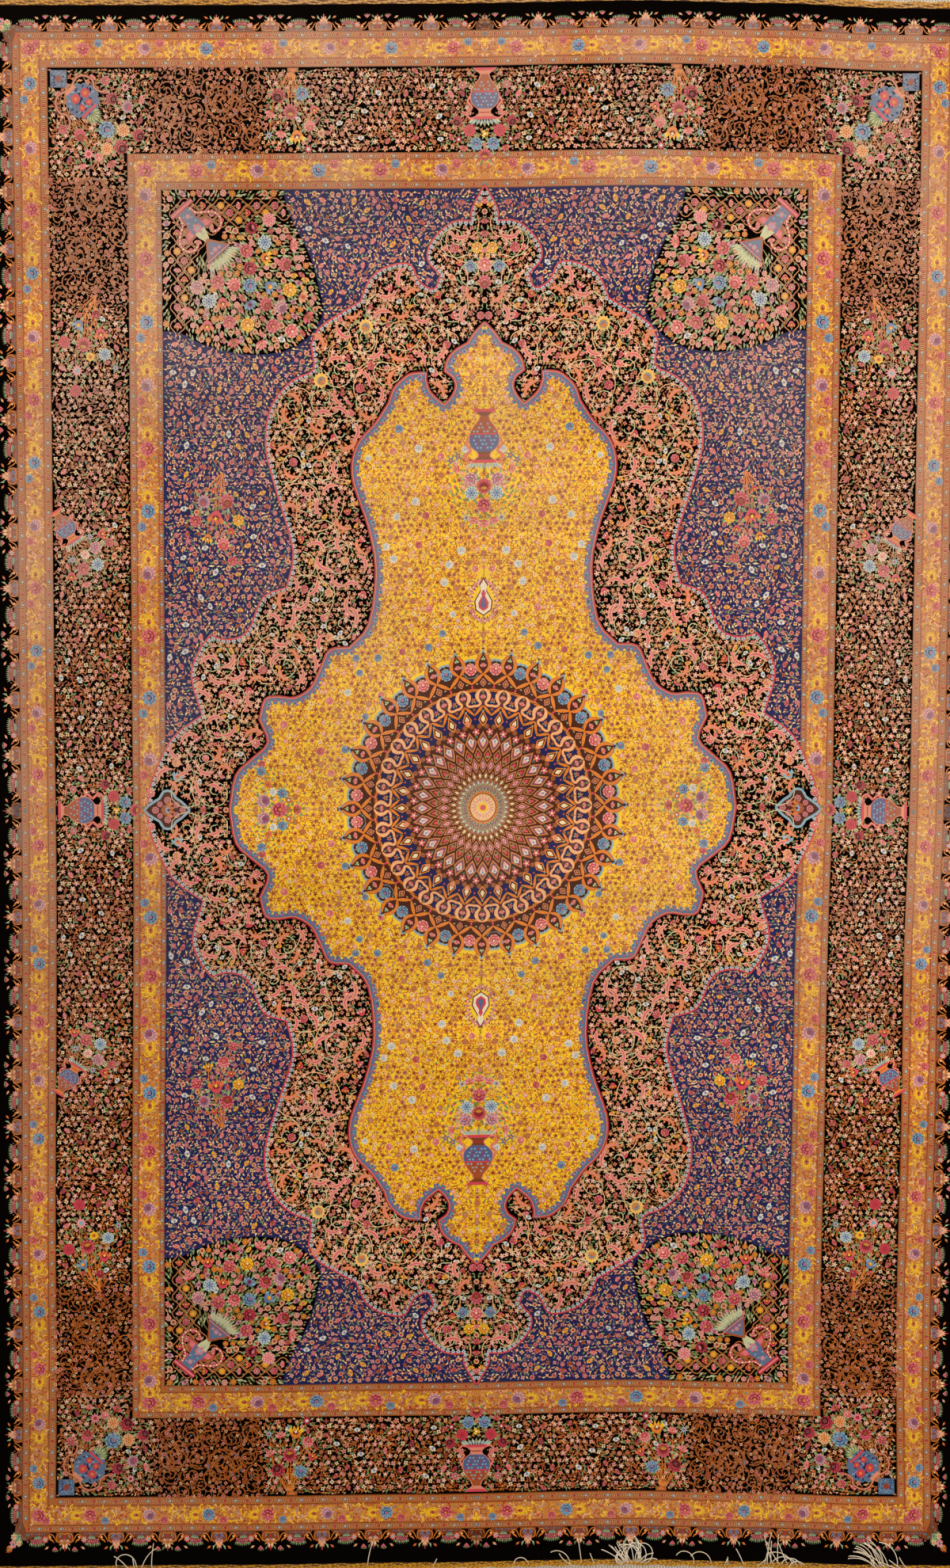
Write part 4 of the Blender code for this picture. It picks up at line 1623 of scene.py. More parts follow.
        return taken + Bouquet(zone, (660, 1124), (
            Head(peony(), ROSE_RED, 22, 78, 10), Head(rose(), ROSE_RED, -5, 69, 7.5),
            Head(daisy(11), dyed("BLUSH PINK RED"), 35, 106, 10.5), Head(rose(), ROSE_PINK, 51, 111, 7),
            Head(cup(), ROSE_RED, 71, 122, 9.5), Head(honeycomb(), NET_ORANGE, 64, 98, 10),
            Head(peony(), ROSE_CRIMSON, 87, 96, 11.5), Head(honeycomb(), NET_ORANGE, 90, 70, 10.5),
            Head(rose(), ROSE_BLUE, 64, 69, 13), Head(peony(), ROSE_CRIMSON, 115, 78, 10),
            Head(thistle(), ROSE_LILAC, 97, 35, 10.5), Head(peony(), ROSE_CRIMSON, 73, 23, 10),
            Head(daisy(11), dyed("PINK BLUSH WINE"), 94, 6, 8),
            Head(rose(), ROSE_RED, 63, -4, 7.5), Head(cup(), ROSE_PINK, 119, 25, 8),
            Head(cup(), ROSE_PINK, 25, 126, 8),
        ), 180, 6, Yarn.TAN).draw(pattern)

    def field(self, pattern: Pattern) -> list[Spot]:
        """Draws the sprays of the navy ground.

        Args:
            pattern: Where it goes.

        Returns:
            The places that they take, as (x, y, radius).
        """
        return Bouquet(Zone.FIELD, (416, 527), (
            Head(peony(), ROSE_PINK, 0, 111, 10.5), Head(lily(), LILY_FIRE, -12, 70, 13.5),
            Head(rose(), ROSE_RED, -44, 75, 10), Head(lily(), LILY_SUN, -25, 102, 8.5),
            Head(rose(), ROSE_ORANGE, 24, 74, 9), Head(lily(), LILY_FIRE, 12, 91, 7),
            Head(thistle(), ROSE_LILAC, -31, 45, 11.5), Head(peony(), ROSE_RED, 6, 45, 12),
            Head(lily(), LILY_FIRE, -15, 28, 6), Head(rose(), ROSE_RED, 15, 137, 8),
        ), 180, 5, Yarn.AMBER).draw(pattern)

    def corner(self, pattern: Pattern) -> list[Spot]:
        """Draws the field's corner urn and its flowers.

        Args:
            pattern: Where it goes.

        Returns:
            The places that they take, as (x, y, radius).
        """
        taken = self.vessel(pattern, Zone.FIELD, (482, 934), 108, 139.5, 9, foot=Yarn.PINK, shape=ewer())
        flowers = (
            (rose(), ROSE_RED, 405, 758), (lily(), LILY_FIRE, 415, 787), (honeycomb(), NET_BLUE, 437, 790),
            (rose(), ROSE_LILAC, 456, 811), (rose(), ROSE_RED, 423, 819), (peony(), ROSE_PINK, 397, 815),
            (rose(), ROSE_BLUE, 372, 814), (cup(), ROSE_BLUE, 372, 785), (peony(), ROSE_RED, 346, 785),
            (lily(), dyed("SKY BLUE AMBER YELLOW"), 340, 812), (rose(), ROSE_CRIMSON, 372, 840),
            (lily(), LILY_SUN, 346, 856), (rose(), ROSE_RED, 377, 867), (peony(), ROSE_RED, 316, 846),
            (honeycomb(), NET_BLUE, 348, 880), (thistle(), ROSE_CRIMSON, 369, 902),
            (rose(), ROSE_PINK, 306, 744),
            (cup(), ROSE_PINK, 354, 724), (rose(), ROSE_ORANGE, 309, 807), (cup(), ROSE_SALMON, 288, 796),
            (cup(), ROSE_PINK, 302, 875), (honeycomb(), NET_PINK, 341, 914), (cup(), ROSE_RED, 398, 727),
            (lily(), LILY_FIRE, 440, 752), (cup(), ROSE_PINK, 470, 775), (rose(), ROSE_ORANGE, 376, 754),
            (rose(), ROSE_RED, 336, 752), (cup(), ROSE_RED, 280, 765), (peony(), ROSE_LILAC, 322, 780),
        )
        root = (430, 880)
        heads = tuple(Head(motif, palette, root[0] - x, root[1] - y, 11) for motif, palette, x, y in flowers)
        return taken + Bouquet(Zone.FIELD, root, heads, 180, 6, Yarn.OLIVE).draw(pattern)

    def surround(self, pattern: Pattern) -> list[Spot]:
        """Draws the large flowers of the surround.

        Args:
            pattern: Where it goes.

        Returns:
            The places that they take, as (x, y, radius).
        """
        zone = Zone.FIELD
        lotus = thistle(), dyed("BLUSH YELLOW SLATE AMBER")
        taken = []
        for x, y, turn in ((188, 750, 200), (260, 668, 130)):
            taken += Bouquet(zone, (x, y), (Head(*lotus, 0, 0, 13),), turn, 12, None).draw(pattern)
        taken += Bouquet(zone, (0, 905), (
            Head(peony(), ROSE_RED, 0, 89, 11), Head(rose(), ROSE_PINK, 0, 62, 11.5),
            Head(rose(), ROSE_BLUE, 23, 64, 9.5), Head(rose(), ROSE_ORANGE, 12, 36, 9),
            Head(cup(), ROSE_RED, 0, 14, 8), Head(cup(), ROSE_SALMON, 52, 80, 8),
            Head(cup(), ROSE_PINK, 32, 98, 8), Head(rose(), ROSE_RED, 48, 36, 8),
        ), 180, 11, None, paired=True, symmetry=Symmetry.ENDS).draw(pattern)
        ogive = [(0, -1.15), (0.42, -0.72), (0.62, -0.42), (0.95, -0.2), (0.95, 0.2), (0.6, 0.42),
                 (0.42, 0.72), (0, 1.2)]
        line = smooth(ogive + [(-x, y) for x, y in ogive[-2::-1]], 2)
        crest = Motif().fan(line[:-1], (1,), 1, 0, (0, 0)).ribbon(line, (0.13,), 0, 0.5)
        crest.place(lily(), (0, 0), 0.42, math.pi, tones=(2, 3, 4, 5), level=1)
        for x, y, size in ((0.5, 0, 0.2), (-0.5, 0, 0.2), (0.26, -0.46, 0.17), (-0.26, -0.46, 0.17),
                           (0, 0.64, 0.2), (0, -0.78, 0.18), (0.3, 0.4, 0.16), (-0.3, 0.4, 0.16)):
            crest.place(ringlet(), (x, y), size, tones=(6, 1, 7), level=1)
        tones = dyed("SKY UMBER AMBER RUST SKY WINE PINK BLUSH")
        pattern.one(zone, crest, (508, 0), tones, 11, 31, -90, Symmetry.SIDES)
        for side in (-1, 1):
            for x, y, size, motif, tones in (
                (535, 27, 7, rose(), ROSE_PINK), (545, 14, 6.5, split_leaf(), dyed("SALMON PEACH RED")),
                (492, 52, 9.5, lily(), dyed("SKY SKY AMBER RED")),
                (478, 21, 9, split_leaf(), dyed("SALMON AMBER RED")),
            ):
                pattern.one(zone, motif, (x, side * y), tones, 12, size, 20 * side, Symmetry.SIDES)
                taken.append((x, side * y, size))
        taken.append((508, 0, 34))
        return taken + Bouquet(zone, (452, 0), (
            Head(cup(), ROSE_RED, 0, -2, 8), Head(ringlet(), dyed("PEACH WINE ROSE"), 12, 8, 5),
        ), -90, 12, None, paired=True, symmetry=Symmetry.SIDES).draw(pattern)

    def medallion(self, pattern: Pattern) -> list[Spot]:
        """Draws the vases, the pendants and the bouquets of the medallion.

        Args:
            pattern: Where it goes.

        Returns:
            The places that they take, as (x, y, radius).
        """
        zone = Zone.MEDALLION
        taken = self.vessel(pattern, zone, (0, 622), 97, 180, 19, Symmetry.ENDS, Yarn.BROWN)
        taken += Bouquet(zone, (0, 538), (
            Head(thistle(), ROSE_RED, 0, 35, 13.5), Head(honeycomb(), NET_BLUE, 20, 46, 10.5),
            Head(rose(), ROSE_LILAC, 22, 25, 11.5), Head(rose(), ROSE_RED, 0, 65, 11.5),
            Head(cup(), ROSE_PINK, 0, 93, 9.5), Head(cup(), ROSE_PINK, 16, 88, 9),
            Head(bud(), dyed("ROSE PINK GREEN"), 40, 52, 9),
            Head(bud(), dyed("ROSE PINK GREEN"), 45, 37, 9),
            Head(daisy(5), dyed("BLUE SLATE AMBER"), 53, -5, 6.5),
            Head(daisy(5), dyed("BLUE SLATE AMBER"), 42, -12, 6.5),
            Head(cup(), ROSE_PINK, 44, 8, 8.5), Head(rose(), ROSE_ORANGE, 20, 66, 7.5),
            Head(daisy(), DAISY_ICE, 28, 84, 6),
        ), 180, 17, None, paired=True, symmetry=Symmetry.ENDS).draw(pattern)
        taken += Bouquet(zone, (392, 0), (
            Head(rose(), ROSE_RED, 0, 64, 12.5), Head(cup(), ROSE_RED, 0, 92, 9.5),
            Head(peony(), ROSE_LILAC, 14, 39, 11.5), Head(rose(), ROSE_BLUE, 26, 69, 8),
            Head(rose(), ROSE_BLUE, 61, 35, 7.5), Head(bud(), dyed("ROSE PINK GREEN"), 57, 55, 7),
            Head(daisy(), DAISY_RED, 15, 79, 6.5), Head(cup(), LILY_FIRE, 40, 46, 7.5),
            Head(bud(), dyed("ROSE PINK GREEN"), 35, 27, 7),
        ), 90, 17, None, paired=True, symmetry=Symmetry.SIDES).draw(pattern)
        return taken + self.pendant(pattern, zone)

    @staticmethod
    def pendant(pattern: Pattern, zone: Zone) -> list[Spot]:
        """Draws the small pale drop on the medallion's middle line.

        Args:
            pattern: Where it goes.
            zone: Its part of the pile.

        Returns:
            The place that it takes.
        """
        drop = [(0, -0.9), (0.14, -0.66), (0.1, -0.45), (0.32, -0.05), (0.28, 0.28), (0, 0.48)]
        whole = [*drop, *[(-x, y) for x, y in drop[-2:0:-1]]]
        made = Motif()
        for step in range(26):
            angle = math.tau * step / 26
            x, y = 0.5 * math.cos(angle), 0.76 * math.sin(angle) - 0.06
            made.leaf((x * 0.8, y * 0.8), (x * 1.4, y * 1.25), 0.13, (1 if step % 3 else 6, 5), 0.2)
            made.bloom(5, 0.085, 0.06, (4, 4, 0) if step % 2 else (6, 6, 2), 0.6, (x * 1.08, y * 1.04))
        made.fan([(1.16 * x, 1.1 * y) for x, y in whole], (1,), 5, 0.9, (0, 0)).fan(whole, (0,), 0, 1, (0, 0))
        made.fan([(0.66 * x, 0.62 * y + 0.04) for x, y in whole], (4,), 2, 1.4, (0, 0.05))
        made.fan([(0.36 * x, 0.34 * y + 0.06) for x, y in whole], (3,), 3, 1.8, (0, 0.05))
        pattern.one(zone, made, (0, 322), dyed("IVORY WINE RED SLATE ROSE PLUM BLUSH"), 17,
                    40, 180, Symmetry.ENDS)
        return [(0, 326, 22), (0, 356, 14), (0, 298, 16)]


@dataclass
class EdgeBand:
    """The plain black edge with its row of palmettes, drawn in millimetres outwards from the last stripe."""

    end_pitch: float = 84.3
    side_pitch: float = 87.0

    def draw(self, pattern: Pattern) -> None:
        """Draws it.

        Args:
            pattern: Where it goes.
        """
        pattern.ground(Zone.BORDER, EDGE.outline(), Yarn.BLACK, 0, Symmetry.FOUR)
        self.row(pattern, Run(1205.0, 744.0, False), np.arange(9) * self.end_pitch, 0)
        self.row(pattern, Run(744.0, 1205.0, True), np.arange(14) * self.side_pitch, 1)
        self.corner(pattern)

    @staticmethod
    def frame(half: float) -> Motif:
        """The brown panel behind a palmette, between two amber arcs: tones line and fill.

        Args:
            half: Half its width.

        Returns:
            The motif.
        """
        made = Motif().fan([(-half, 0), (-half - 1, 6), (-half + 1, 13), (-6, 17), (6, 17), (half - 1, 13),
                            (half + 1, 6), (half, 0)], (1,), 1)
        for side in (-1, 1):
            made.ribbon([(0, 2.6), (side * half * 0.4, 1.4), (side * half * 0.8, 2.8), (side * half, 7),
                         (side * (half - 0.6), 12.4), (side * (half - 4.5), 15.6)], (1.3,), 0, 0.4)
        return made

    def warm(self) -> Motif:
        """A palmette of rust and peach petals: tones line, fill, petal, body, tip, red, dot and leaf.

        Returns:
            The motif.
        """
        made = self.frame(13.5)
        for side in (-1, 1):
            made.leaf((side * 6, 3.4), (side * 8.6, 8), 2.6, (6, 4), 0.5)
            made.leaf((side * 10.6, 5), (side * 9, 11), 2, (5, 3), 0.5)
            made.leaf((side * 5.2, 21.5), (side * 8, 28), 2.8, (7, 7), 0.5, -0.1 * side)
            made.leaf((side * 1, 11), (side * 10.2, 14.4), 4.4, (2, 5), 0.8)
            made.leaf((side * 1, 12), (side * 9.4, 19.6), 4.6, (3, 2), 1)
            made.leaf((side * 0.6, 14), (side * 5, 24), 4.2, (2, 5), 1.2)
            made.leaf((side * 1.6, 17), (side * 2.6, 25.4), 3.4, (4, 2), 1.4)
        made.leaf((0, 18), (0, 30), 3, (5, 5), 1.6).leaf((0, 3), (0, 11), 5.4, (5, 1), 0.7)
        return made.fan([(-3.2, 16), (0, 12.4), (3.2, 16), (0, 20)], (3,), 3, 1.8).bloom(
            5, 2, 1.5, (6, 6, 0), 2, (0, 11.6))

    def cool(self) -> Motif:
        """A palmette under a blue crown: tones line, fill, petal, blue, tip, red, lilac and leaf.

        Returns:
            The motif.
        """
        made = self.frame(12.5)
        for side in (-1, 1):
            made.leaf((side * 0.6, 2.8), (side * 8.8, 9), 5.2, (3, 6), 0.6, -0.12 * side)
            made.leaf((side * 1, 6.4), (side * 6.6, 12), 2.6, (6, 3), 0.8)
            made.leaf((side * 6, 19.5), (side * 10.2, 27.6), 3, (7, 7), 0.5, -0.14 * side)
            made.leaf((side * 1.4, 12), (side * 8.8, 15.6), 4.4, (2, 5), 0.9)
            made.leaf((side * 1, 14), (side * 6.4, 20.8), 4.6, (4, 2), 1.1)
            made.leaf((side * 1.2, 16), (side * 3.4, 25.6), 3.6, (2, 4), 1.3)
        made.leaf((0, 15), (0, 28), 3.4, (4, 2), 1.5).leaf((0, 25), (0, 30.4), 2.8, (5, 5), 1.6)
        made.fan([(-3.4, 13), (0, 8.8), (3.4, 13), (0, 18)], (6,), 4, 1.8)
        return made.bloom(4, 1.5, 1, (3, 3, 5), 2, (0, 12.6))

    @staticmethod
    def hook() -> Motif:
        """A black hook with an amber rim and a pale drop: tones black, line and drop.

        Returns:
            The motif.
        """
        made = Motif().fan([(5.5, 11), (5.2, 6), (2.4, 2.8), (-1.2, 2.6), (-4.4, 5.4), (-7, 10), (-9, 15),
                            (-2, 17), (3, 16)], (0,), 0, 0, (-1, 10))
        made.ribbon([(8.6, 11), (5.6, 6.8), (2.6, 3.4), (-1, 2.8), (-4, 5.6), (-6.6, 10), (-8.8, 14.6)],
                    (0.7, 1.3, 1.5, 1.5, 1.4, 1.2, 0.6), 1, 0.5)
        made.ribbon([(2.4, 5.2), (3.4, 7.6), (1, 10.4), (-2.6, 12.6), (-4.6, 15.4)],
                    (1.2, 2.6, 2.6, 1.8, 0.4), 1, 0.6)
        return made.bloom(6, 1.7, 1.5, (2, 2, 2), 0.8, (1.6, 7))

    @staticmethod
    def cluster() -> Motif:
        """Pink dotted flowers on leaves: tones ground, dot, rim, leaf, moss, steel, fill and star.

        Returns:
            The motif.
        """
        mound = [(-23, 0), (23, 0), (20, 4), (13, 7), (4, 8), (-8, 8), (-16, 7), (-21, 4)]
        made = Motif().fan(mound, (6,), 6)
        for step in range(8):
            x = -14.5 + 4.1 * step
            made.leaf((x, 1 + step % 2), (x + 3.4, 3.4 - step % 2), 1.7, (5 - 4 * (step % 3 == 2), 5), 0.2)
        for step in range(9):
            x = -10.6 + 2.6 * step
            made.leaf((x, 14), (x * 1.22, 22.6 - 0.024 * x * x), 2.4, (3 + step % 2, 3), 0.3, 0.06)
        made.fan([(-9, 9.6), (-4, 4.4), (1, 5.4), (5, 9.6)], (4, 5, 5, 4), 3, 0.5)
        ground = [(-10.5, 12), (-8, 9), (0, 10.2), (8, 9.2), (11, 12.4), (9, 16.4), (0, 18), (-8, 17)]
        made.fan(ground, (0,), 0, 0.7)
        for step in range(19):
            x, y = -9.8 + 1.02 * step, 11.2 + 2.4 * (step % 3)
            made.leaf((x, y), (x + 2.2, y), 1.9, (1, 2), 0.9)
        made.bloom(6, 2.4, 1.2, (7, 0, 2), 1.1, (-5.2, 13.4))
        return made.bloom(4, 1.7, 1, (2, 7, 0), 1.1, (14.6, 13.4))

    @staticmethod
    def tulip() -> Motif:
        """A small bud on a curled calyx: tones petal, heart and leaf.

        Returns:
            The motif.
        """
        made = Motif().fan([(-4.6, 1.6), (-3, -1.6), (0, -4.4), (3, -1.6), (4.6, 1.6), (1.6, 0.8), (0, 2.2),
                            (-1.6, 0.8)], (0,), 1, 0, (0, -0.6))
        return made.ribbon([(-5.6, 0.2), (-4.4, 2.4), (0, 3.2), (4.4, 2.4)], (0.3, 1.1, 1.1, 0.3), 2, 0.3)

    def row(self, pattern: Pattern, run: Run, steps: np.ndarray, first: int) -> None:
        """Draws the palmettes of one stretch.

        Args:
            pattern: Where they go.
            run: The stretch.
            steps: Their distances along it.
            first: 0 if the palmette on the mirror line is a warm one, 1 if it is a cool one.
        """
        zone = Zone.BORDER
        warm, cool = steps[first::2], steps[1 - first::2]
        tones = dyed("WINE PINK BLUSH GREEN MINT STEEL BROWN RED")
        rose_tones = dyed("ROSE PEACH WINE SKY")
        hook_tones = dyed("BLACK AMBER PEACH")
        for away in (False, True):
            sign = -1 if away else 1
            heads = warm[warm > 0] if away else warm
            run.stamp(pattern, zone, self.cluster(), heads + sign * 46, 0, 1, tones, 0.6, mirror=away)
            run.stamp(pattern, zone, self.hook(), steps + sign * 22, 0, 1, hook_tones, 2.4, mirror=away)
            run.stamp(pattern, zone, blossom(7), heads + sign * 31.8, 10.4, 5.4, rose_tones, 4.6)
            run.stamp(pattern, zone, self.tulip(), warm + sign * 16.2, 25.6, 1, dyed("PINK RED GREEN"), 4)
            run.stamp(pattern, zone, leaflet(), warm + sign * 29.6, 23, 8.4, dyed("PEACH TAN"), 4,
                      turn=sign * 32)
            run.stamp(pattern, zone, leaflet(), cool + sign * 16.6, 23.4, 8.4, dyed("AMBER RED"), 4,
                      turn=sign * 34)
        petals = dyed("AMBER BROWN PEACH COPPER CREAM RED STEEL GREEN")
        run.stamp(pattern, zone, self.warm(), warm, 0, 1, petals, 1.6)
        petals = dyed("AMBER BROWN SALMON STEEL PEACH RED LILAC MINT")
        run.stamp(pattern, zone, self.cool(), cool, 0, 1, petals, 1.6)

    @staticmethod
    def corner(pattern: Pattern) -> None:
        """Draws the flowers on the diagonal of each corner.

        Args:
            pattern: Where it goes.
        """
        zone = Zone.BORDER
        panel = [(738, 1200), (744, 1186), (755, 1190), (760, 1214), (738, 1217), (722, 1211),
                 (724, 1205), (738, 1205)]
        pattern.ground(zone, panel, Yarn.BROWN, 0.5, Symmetry.FOUR)
        for spot, turn in (((748, 1197), 60), ((752, 1203), 110), ((735, 1209), 10), ((741, 1213), 150)):
            pattern.one(zone, leaflet(), spot, dyed("STEEL GREEN"), 1.4, 7, turn)
        spray = sheaf(9, 150, 19, 3.2)
        pattern.one(zone, spray, (750, 1211), dyed("GREEN MINT"), 2, 1, -45)
        tip = sheaf(5, 60, 15, 4)
        pattern.one(zone, tip, (764, 1225), dyed("AMBER RUST"), 2.6, 1, -45)
        pattern.one(zone, leaflet(), (764, 1225), dyed("PISTACHIO GREEN"), 3.4, 14, 45)
        pattern.one(zone, blossom(7), (761, 1222), dyed("PINK BLUSH WINE STEEL"), 4.4, 6.6)
        for spot in ((750, 1221), (760, 1211)):
            pattern.one(zone, blossom(6), spot, dyed("CREAM AMBER SLATE PINK"), 4, 4.6)
        pattern.one(zone, blossom(4), (750, 1211), dyed("MINT GREEN PINE STEEL"), 3.6, 4.6)


@dataclass
class BrownStripes:
    """The four narrow brown stripes with blue and pink dots."""

    pitch: float = 17.9

    def draw(self, pattern: Pattern) -> None:
        """Draws them.

        Args:
            pattern: Where it goes.
        """
        zone = Zone.BORDER
        scribble = Motif()
        for step in range(10):
            x, side = -0.62 + step * 0.138, 1 if step % 2 else -1
            scribble.leaf((x - 0.12, -0.36 * side), (x + 0.1, 0.38 * side), 0.085, (step % 2, step % 2))
        for x, y in ((-0.5, 0.34), (-0.22, -0.36), (0.05, 0.36), (0.32, -0.34), (0.56, 0.34)):
            scribble.leaf((x - 0.07, y), (x + 0.07, y), 0.09, (2, 2), 0.3)
        for stripe in STRIPES:
            pattern.ground(zone, stripe.outline(), Yarn.COPPER, 0, Symmetry.FOUR)
            stripe.edges(pattern, zone, 1.1, Yarn.BROWN, 1, 0.3)
            for run in stripe.runs():
                steps = np.arange(0, run.length, self.pitch)
                run.stamp(pattern, zone, spark(5), steps[0::2], 0, 4.3, dyed("STEEL BLUE PISTACHIO"), 2)
                run.stamp(pattern, zone, spark(4), steps[1::2], 0, 3.3, dyed("ROSE RED RED"), 2)
                run.stamp(pattern, zone, scribble, steps[:-1] + self.pitch / 2, 0, 10.5,
                          dyed("PEACH UMBER PEACH"), 1.5)


@dataclass(frozen=True)
class Beat:
    """Where a guard's repeat starts on one stretch, in millimetres from the mirror line."""

    first: float
    order: tuple[int, int, int]
    low: tuple[int, int, int]


@dataclass
class GoldGuards:
    """The two gold borders of roses, buds, loops and feathered leaves."""

    pitch: float = 97.0
    beats: tuple[tuple[Beat, Beat], ...] = (
        (Beat(50, (0, 1, 2), (1, 0, 0)), Beat(57, (0, 2, 1), (0, 0, 1))),
        (Beat(68, (2, 0, 1), (0, 1, 0)), Beat(79, (2, 1, 0), (0, 1, 0))),
    )

    def draw(self, pattern: Pattern) -> None:
        """Draws them.

        Args:
            pattern: Where it goes.
        """
        for number, (guard, beats) in enumerate(zip(GUARDS, self.beats)):
            pattern.ground(Zone.BORDER, guard.outline(), Yarn.OCHRE, 0, Symmetry.FOUR)
            guard.edges(pattern, Zone.BORDER, 1.1, Yarn.RUST, 1, 0.2)
            taken = []
            for run, beat in zip(guard.runs(), beats):
                taken += self.flowers(pattern, run, beat, (guard.outer[0] - guard.inner[0]) / 30)
            self.feathers(pattern, guard, taken, 40 + number)

    def flowers(self, pattern: Pattern, run: Run, beat: Beat, fit: float) -> list[Spot]:
        """Draws the flowers of one stretch.

        Args:
            pattern: Where they go.
            run: The stretch.
            beat: Where its repeats start.
            fit: The scale that fits the band's width.

        Returns:
            The places that they take, as (x, y, radius).
        """
        taken: list[Spot] = []
        mains = np.arange(beat.first, run.length - 16, self.pitch)
        numbers = np.arange(len(mains)) % 3
        roses = ((rose(), ROSE_RED), (rose(), ROSE_BLUE), (peony(), ROSE_LILAC))
        for kind, (flower, palette) in enumerate(roses):
            mine = mains[[beat.order[n] == kind for n in numbers]]
            run.stamp(pattern, Zone.BORDER, flower, mine, 0, 10.3 * fit, palette, 4, turn=20 * kind)
        taken += [(*run.place(s, 0), 9.6 * fit) for s in mains]
        early = np.concatenate([[beat.first - self.pitch], mains])
        lows = early + 73
        for kind, (flower, palette) in enumerate(((rose(), ROSE_RED), (rose(), ROSE_BLUE))):
            mine = np.array([s for n, s in enumerate(lows) if beat.low[n % 3] == kind])
            self.lay(pattern, run, taken, flower, mine, 9 * fit, 6.6 * fit, palette, 4)
        parts = (
            (22, 0, 5.6, bud(), dyed("ROSE RED WINE"), 7),
            (-33, -1, 4, bud(), dyed("ROSE PINK GREEN"), 3.5),
            (50, -5, 3.3, star(6), dyed("CREAM PLUM LILAC"), 2.5),
            (42, 6, 2.9, star(6), dyed("LILAC PLUM CREAM"), 2.5),
            (58, 7, 2.8, star(5), dyed("BLUSH PLUM PLUM"), 2.5),
            (-14, -9, 5, bud(), dyed("BLUE SKY GREEN"), 3.5),
            (-16, 1, 3, star(5), dyed("ROSE RED GREEN"), 2.5),
            (34, -9, 3.4, bud(), dyed("PINK CREAM GREEN"), 3.5),
        )
        for s, t, size, motif, palette, level in parts:
            self.lay(pattern, run, taken, motif, early + s, t * fit, size * fit, palette, level)
        loop = Motif()
        for step in range(9):
            angle = math.radians(130 - 32 * step)
            start = (0.62 * math.cos(angle), 0.5 * math.sin(angle))
            end = (1.45 * math.cos(angle - 0.35), 1.15 * math.sin(angle - 0.35))
            loop.leaf(start, end, 0.44, (0, 0), 0.1 * step, 0.1)
            loop.leaf(start, end, 0.1, (1, 1), 1 + 0.1 * step, 0.1)
        loop.ribbon(arc((0, 0), 0.7, 140, -150, 9, 0.8), (0.24,), 0, 1.2)
        self.lay(pattern, run, taken, loop, early + 22, 0, 8.4 * fit, dyed("YELLOW HONEY"), 5, 9.5)
        if run.side:
            run.stamp(pattern, Zone.BORDER, rose(), [run.length], 0, 11 * fit, ROSE_RED, 6)
        return [*taken, (*run.place(run.length, 0), 11 * fit)]

    @staticmethod
    def lay(pattern: Pattern, run: Run, taken: list[Spot], motif: Motif,
            steps: np.ndarray, t: float, size: float, palette: Sequence[Yarn], level: float,
            room: float | None = None) -> None:
        """Sets a motif at those steps that lie on the stretch, and notes their places.

        Args:
            pattern: Where it goes.
            run: The stretch.
            taken: The list that gets its places.
            motif: The motif.
            steps: Its distances along the stretch.
            t: How far outwards it stands.
            size: Its scale.
            palette: Its yarns.
            level: Its height in steps.
            room: The radius that it takes, if not its own.
        """
        kept = steps[(steps > size * 0.5) & (steps < run.length - 9)]
        run.stamp(pattern, Zone.BORDER, motif, kept, t, size, palette, level)
        taken += [(*run.place(s, t), size if room is None else room) for s in kept]

    def feathers(self, pattern: Pattern, guard: Band, taken: list[Spot], seed: int) -> None:
        """Fills what is left with feathered leaves.

        Args:
            pattern: Where they go.
            guard: The border.
            taken: The places of the flowers.
            seed: The seed of the draws.
        """
        meadow = Meadow(pattern, Zone.BORDER, Region(np.array(guard.outline())), seed, None, taken)
        meadow.grow((
            Kind(leaflet(0.3), (7, 11), lots("YELLOW GOLD, GOLD GOLD, PEACH GOLD"), 2.4),
            Kind(sprig(0.7, 0.34), (3.6, 5.4), lots("YELLOW, YELLOW, PEACH"), 2),
            Kind(leaflet(0.2), (6, 9), lots("RUST HONEY, RED RUST"), 2.4),
            Kind(sprig(0.5, 0.2), (3.4, 5), lots("BROWN, RED, WINE"), 2.2),
            Kind(spark(5), (2.2, 3), lots("LILAC PLUM CREAM, CREAM RUST PLUM, PINK RED CREAM"), 1.6),
            Kind(bud(), (2.8, 3.4), lots("ROSE PINK GREEN, STEEL SKY GREEN")),
        ), 4.7, 1.3, 1.2, 1.6, block=1.7)


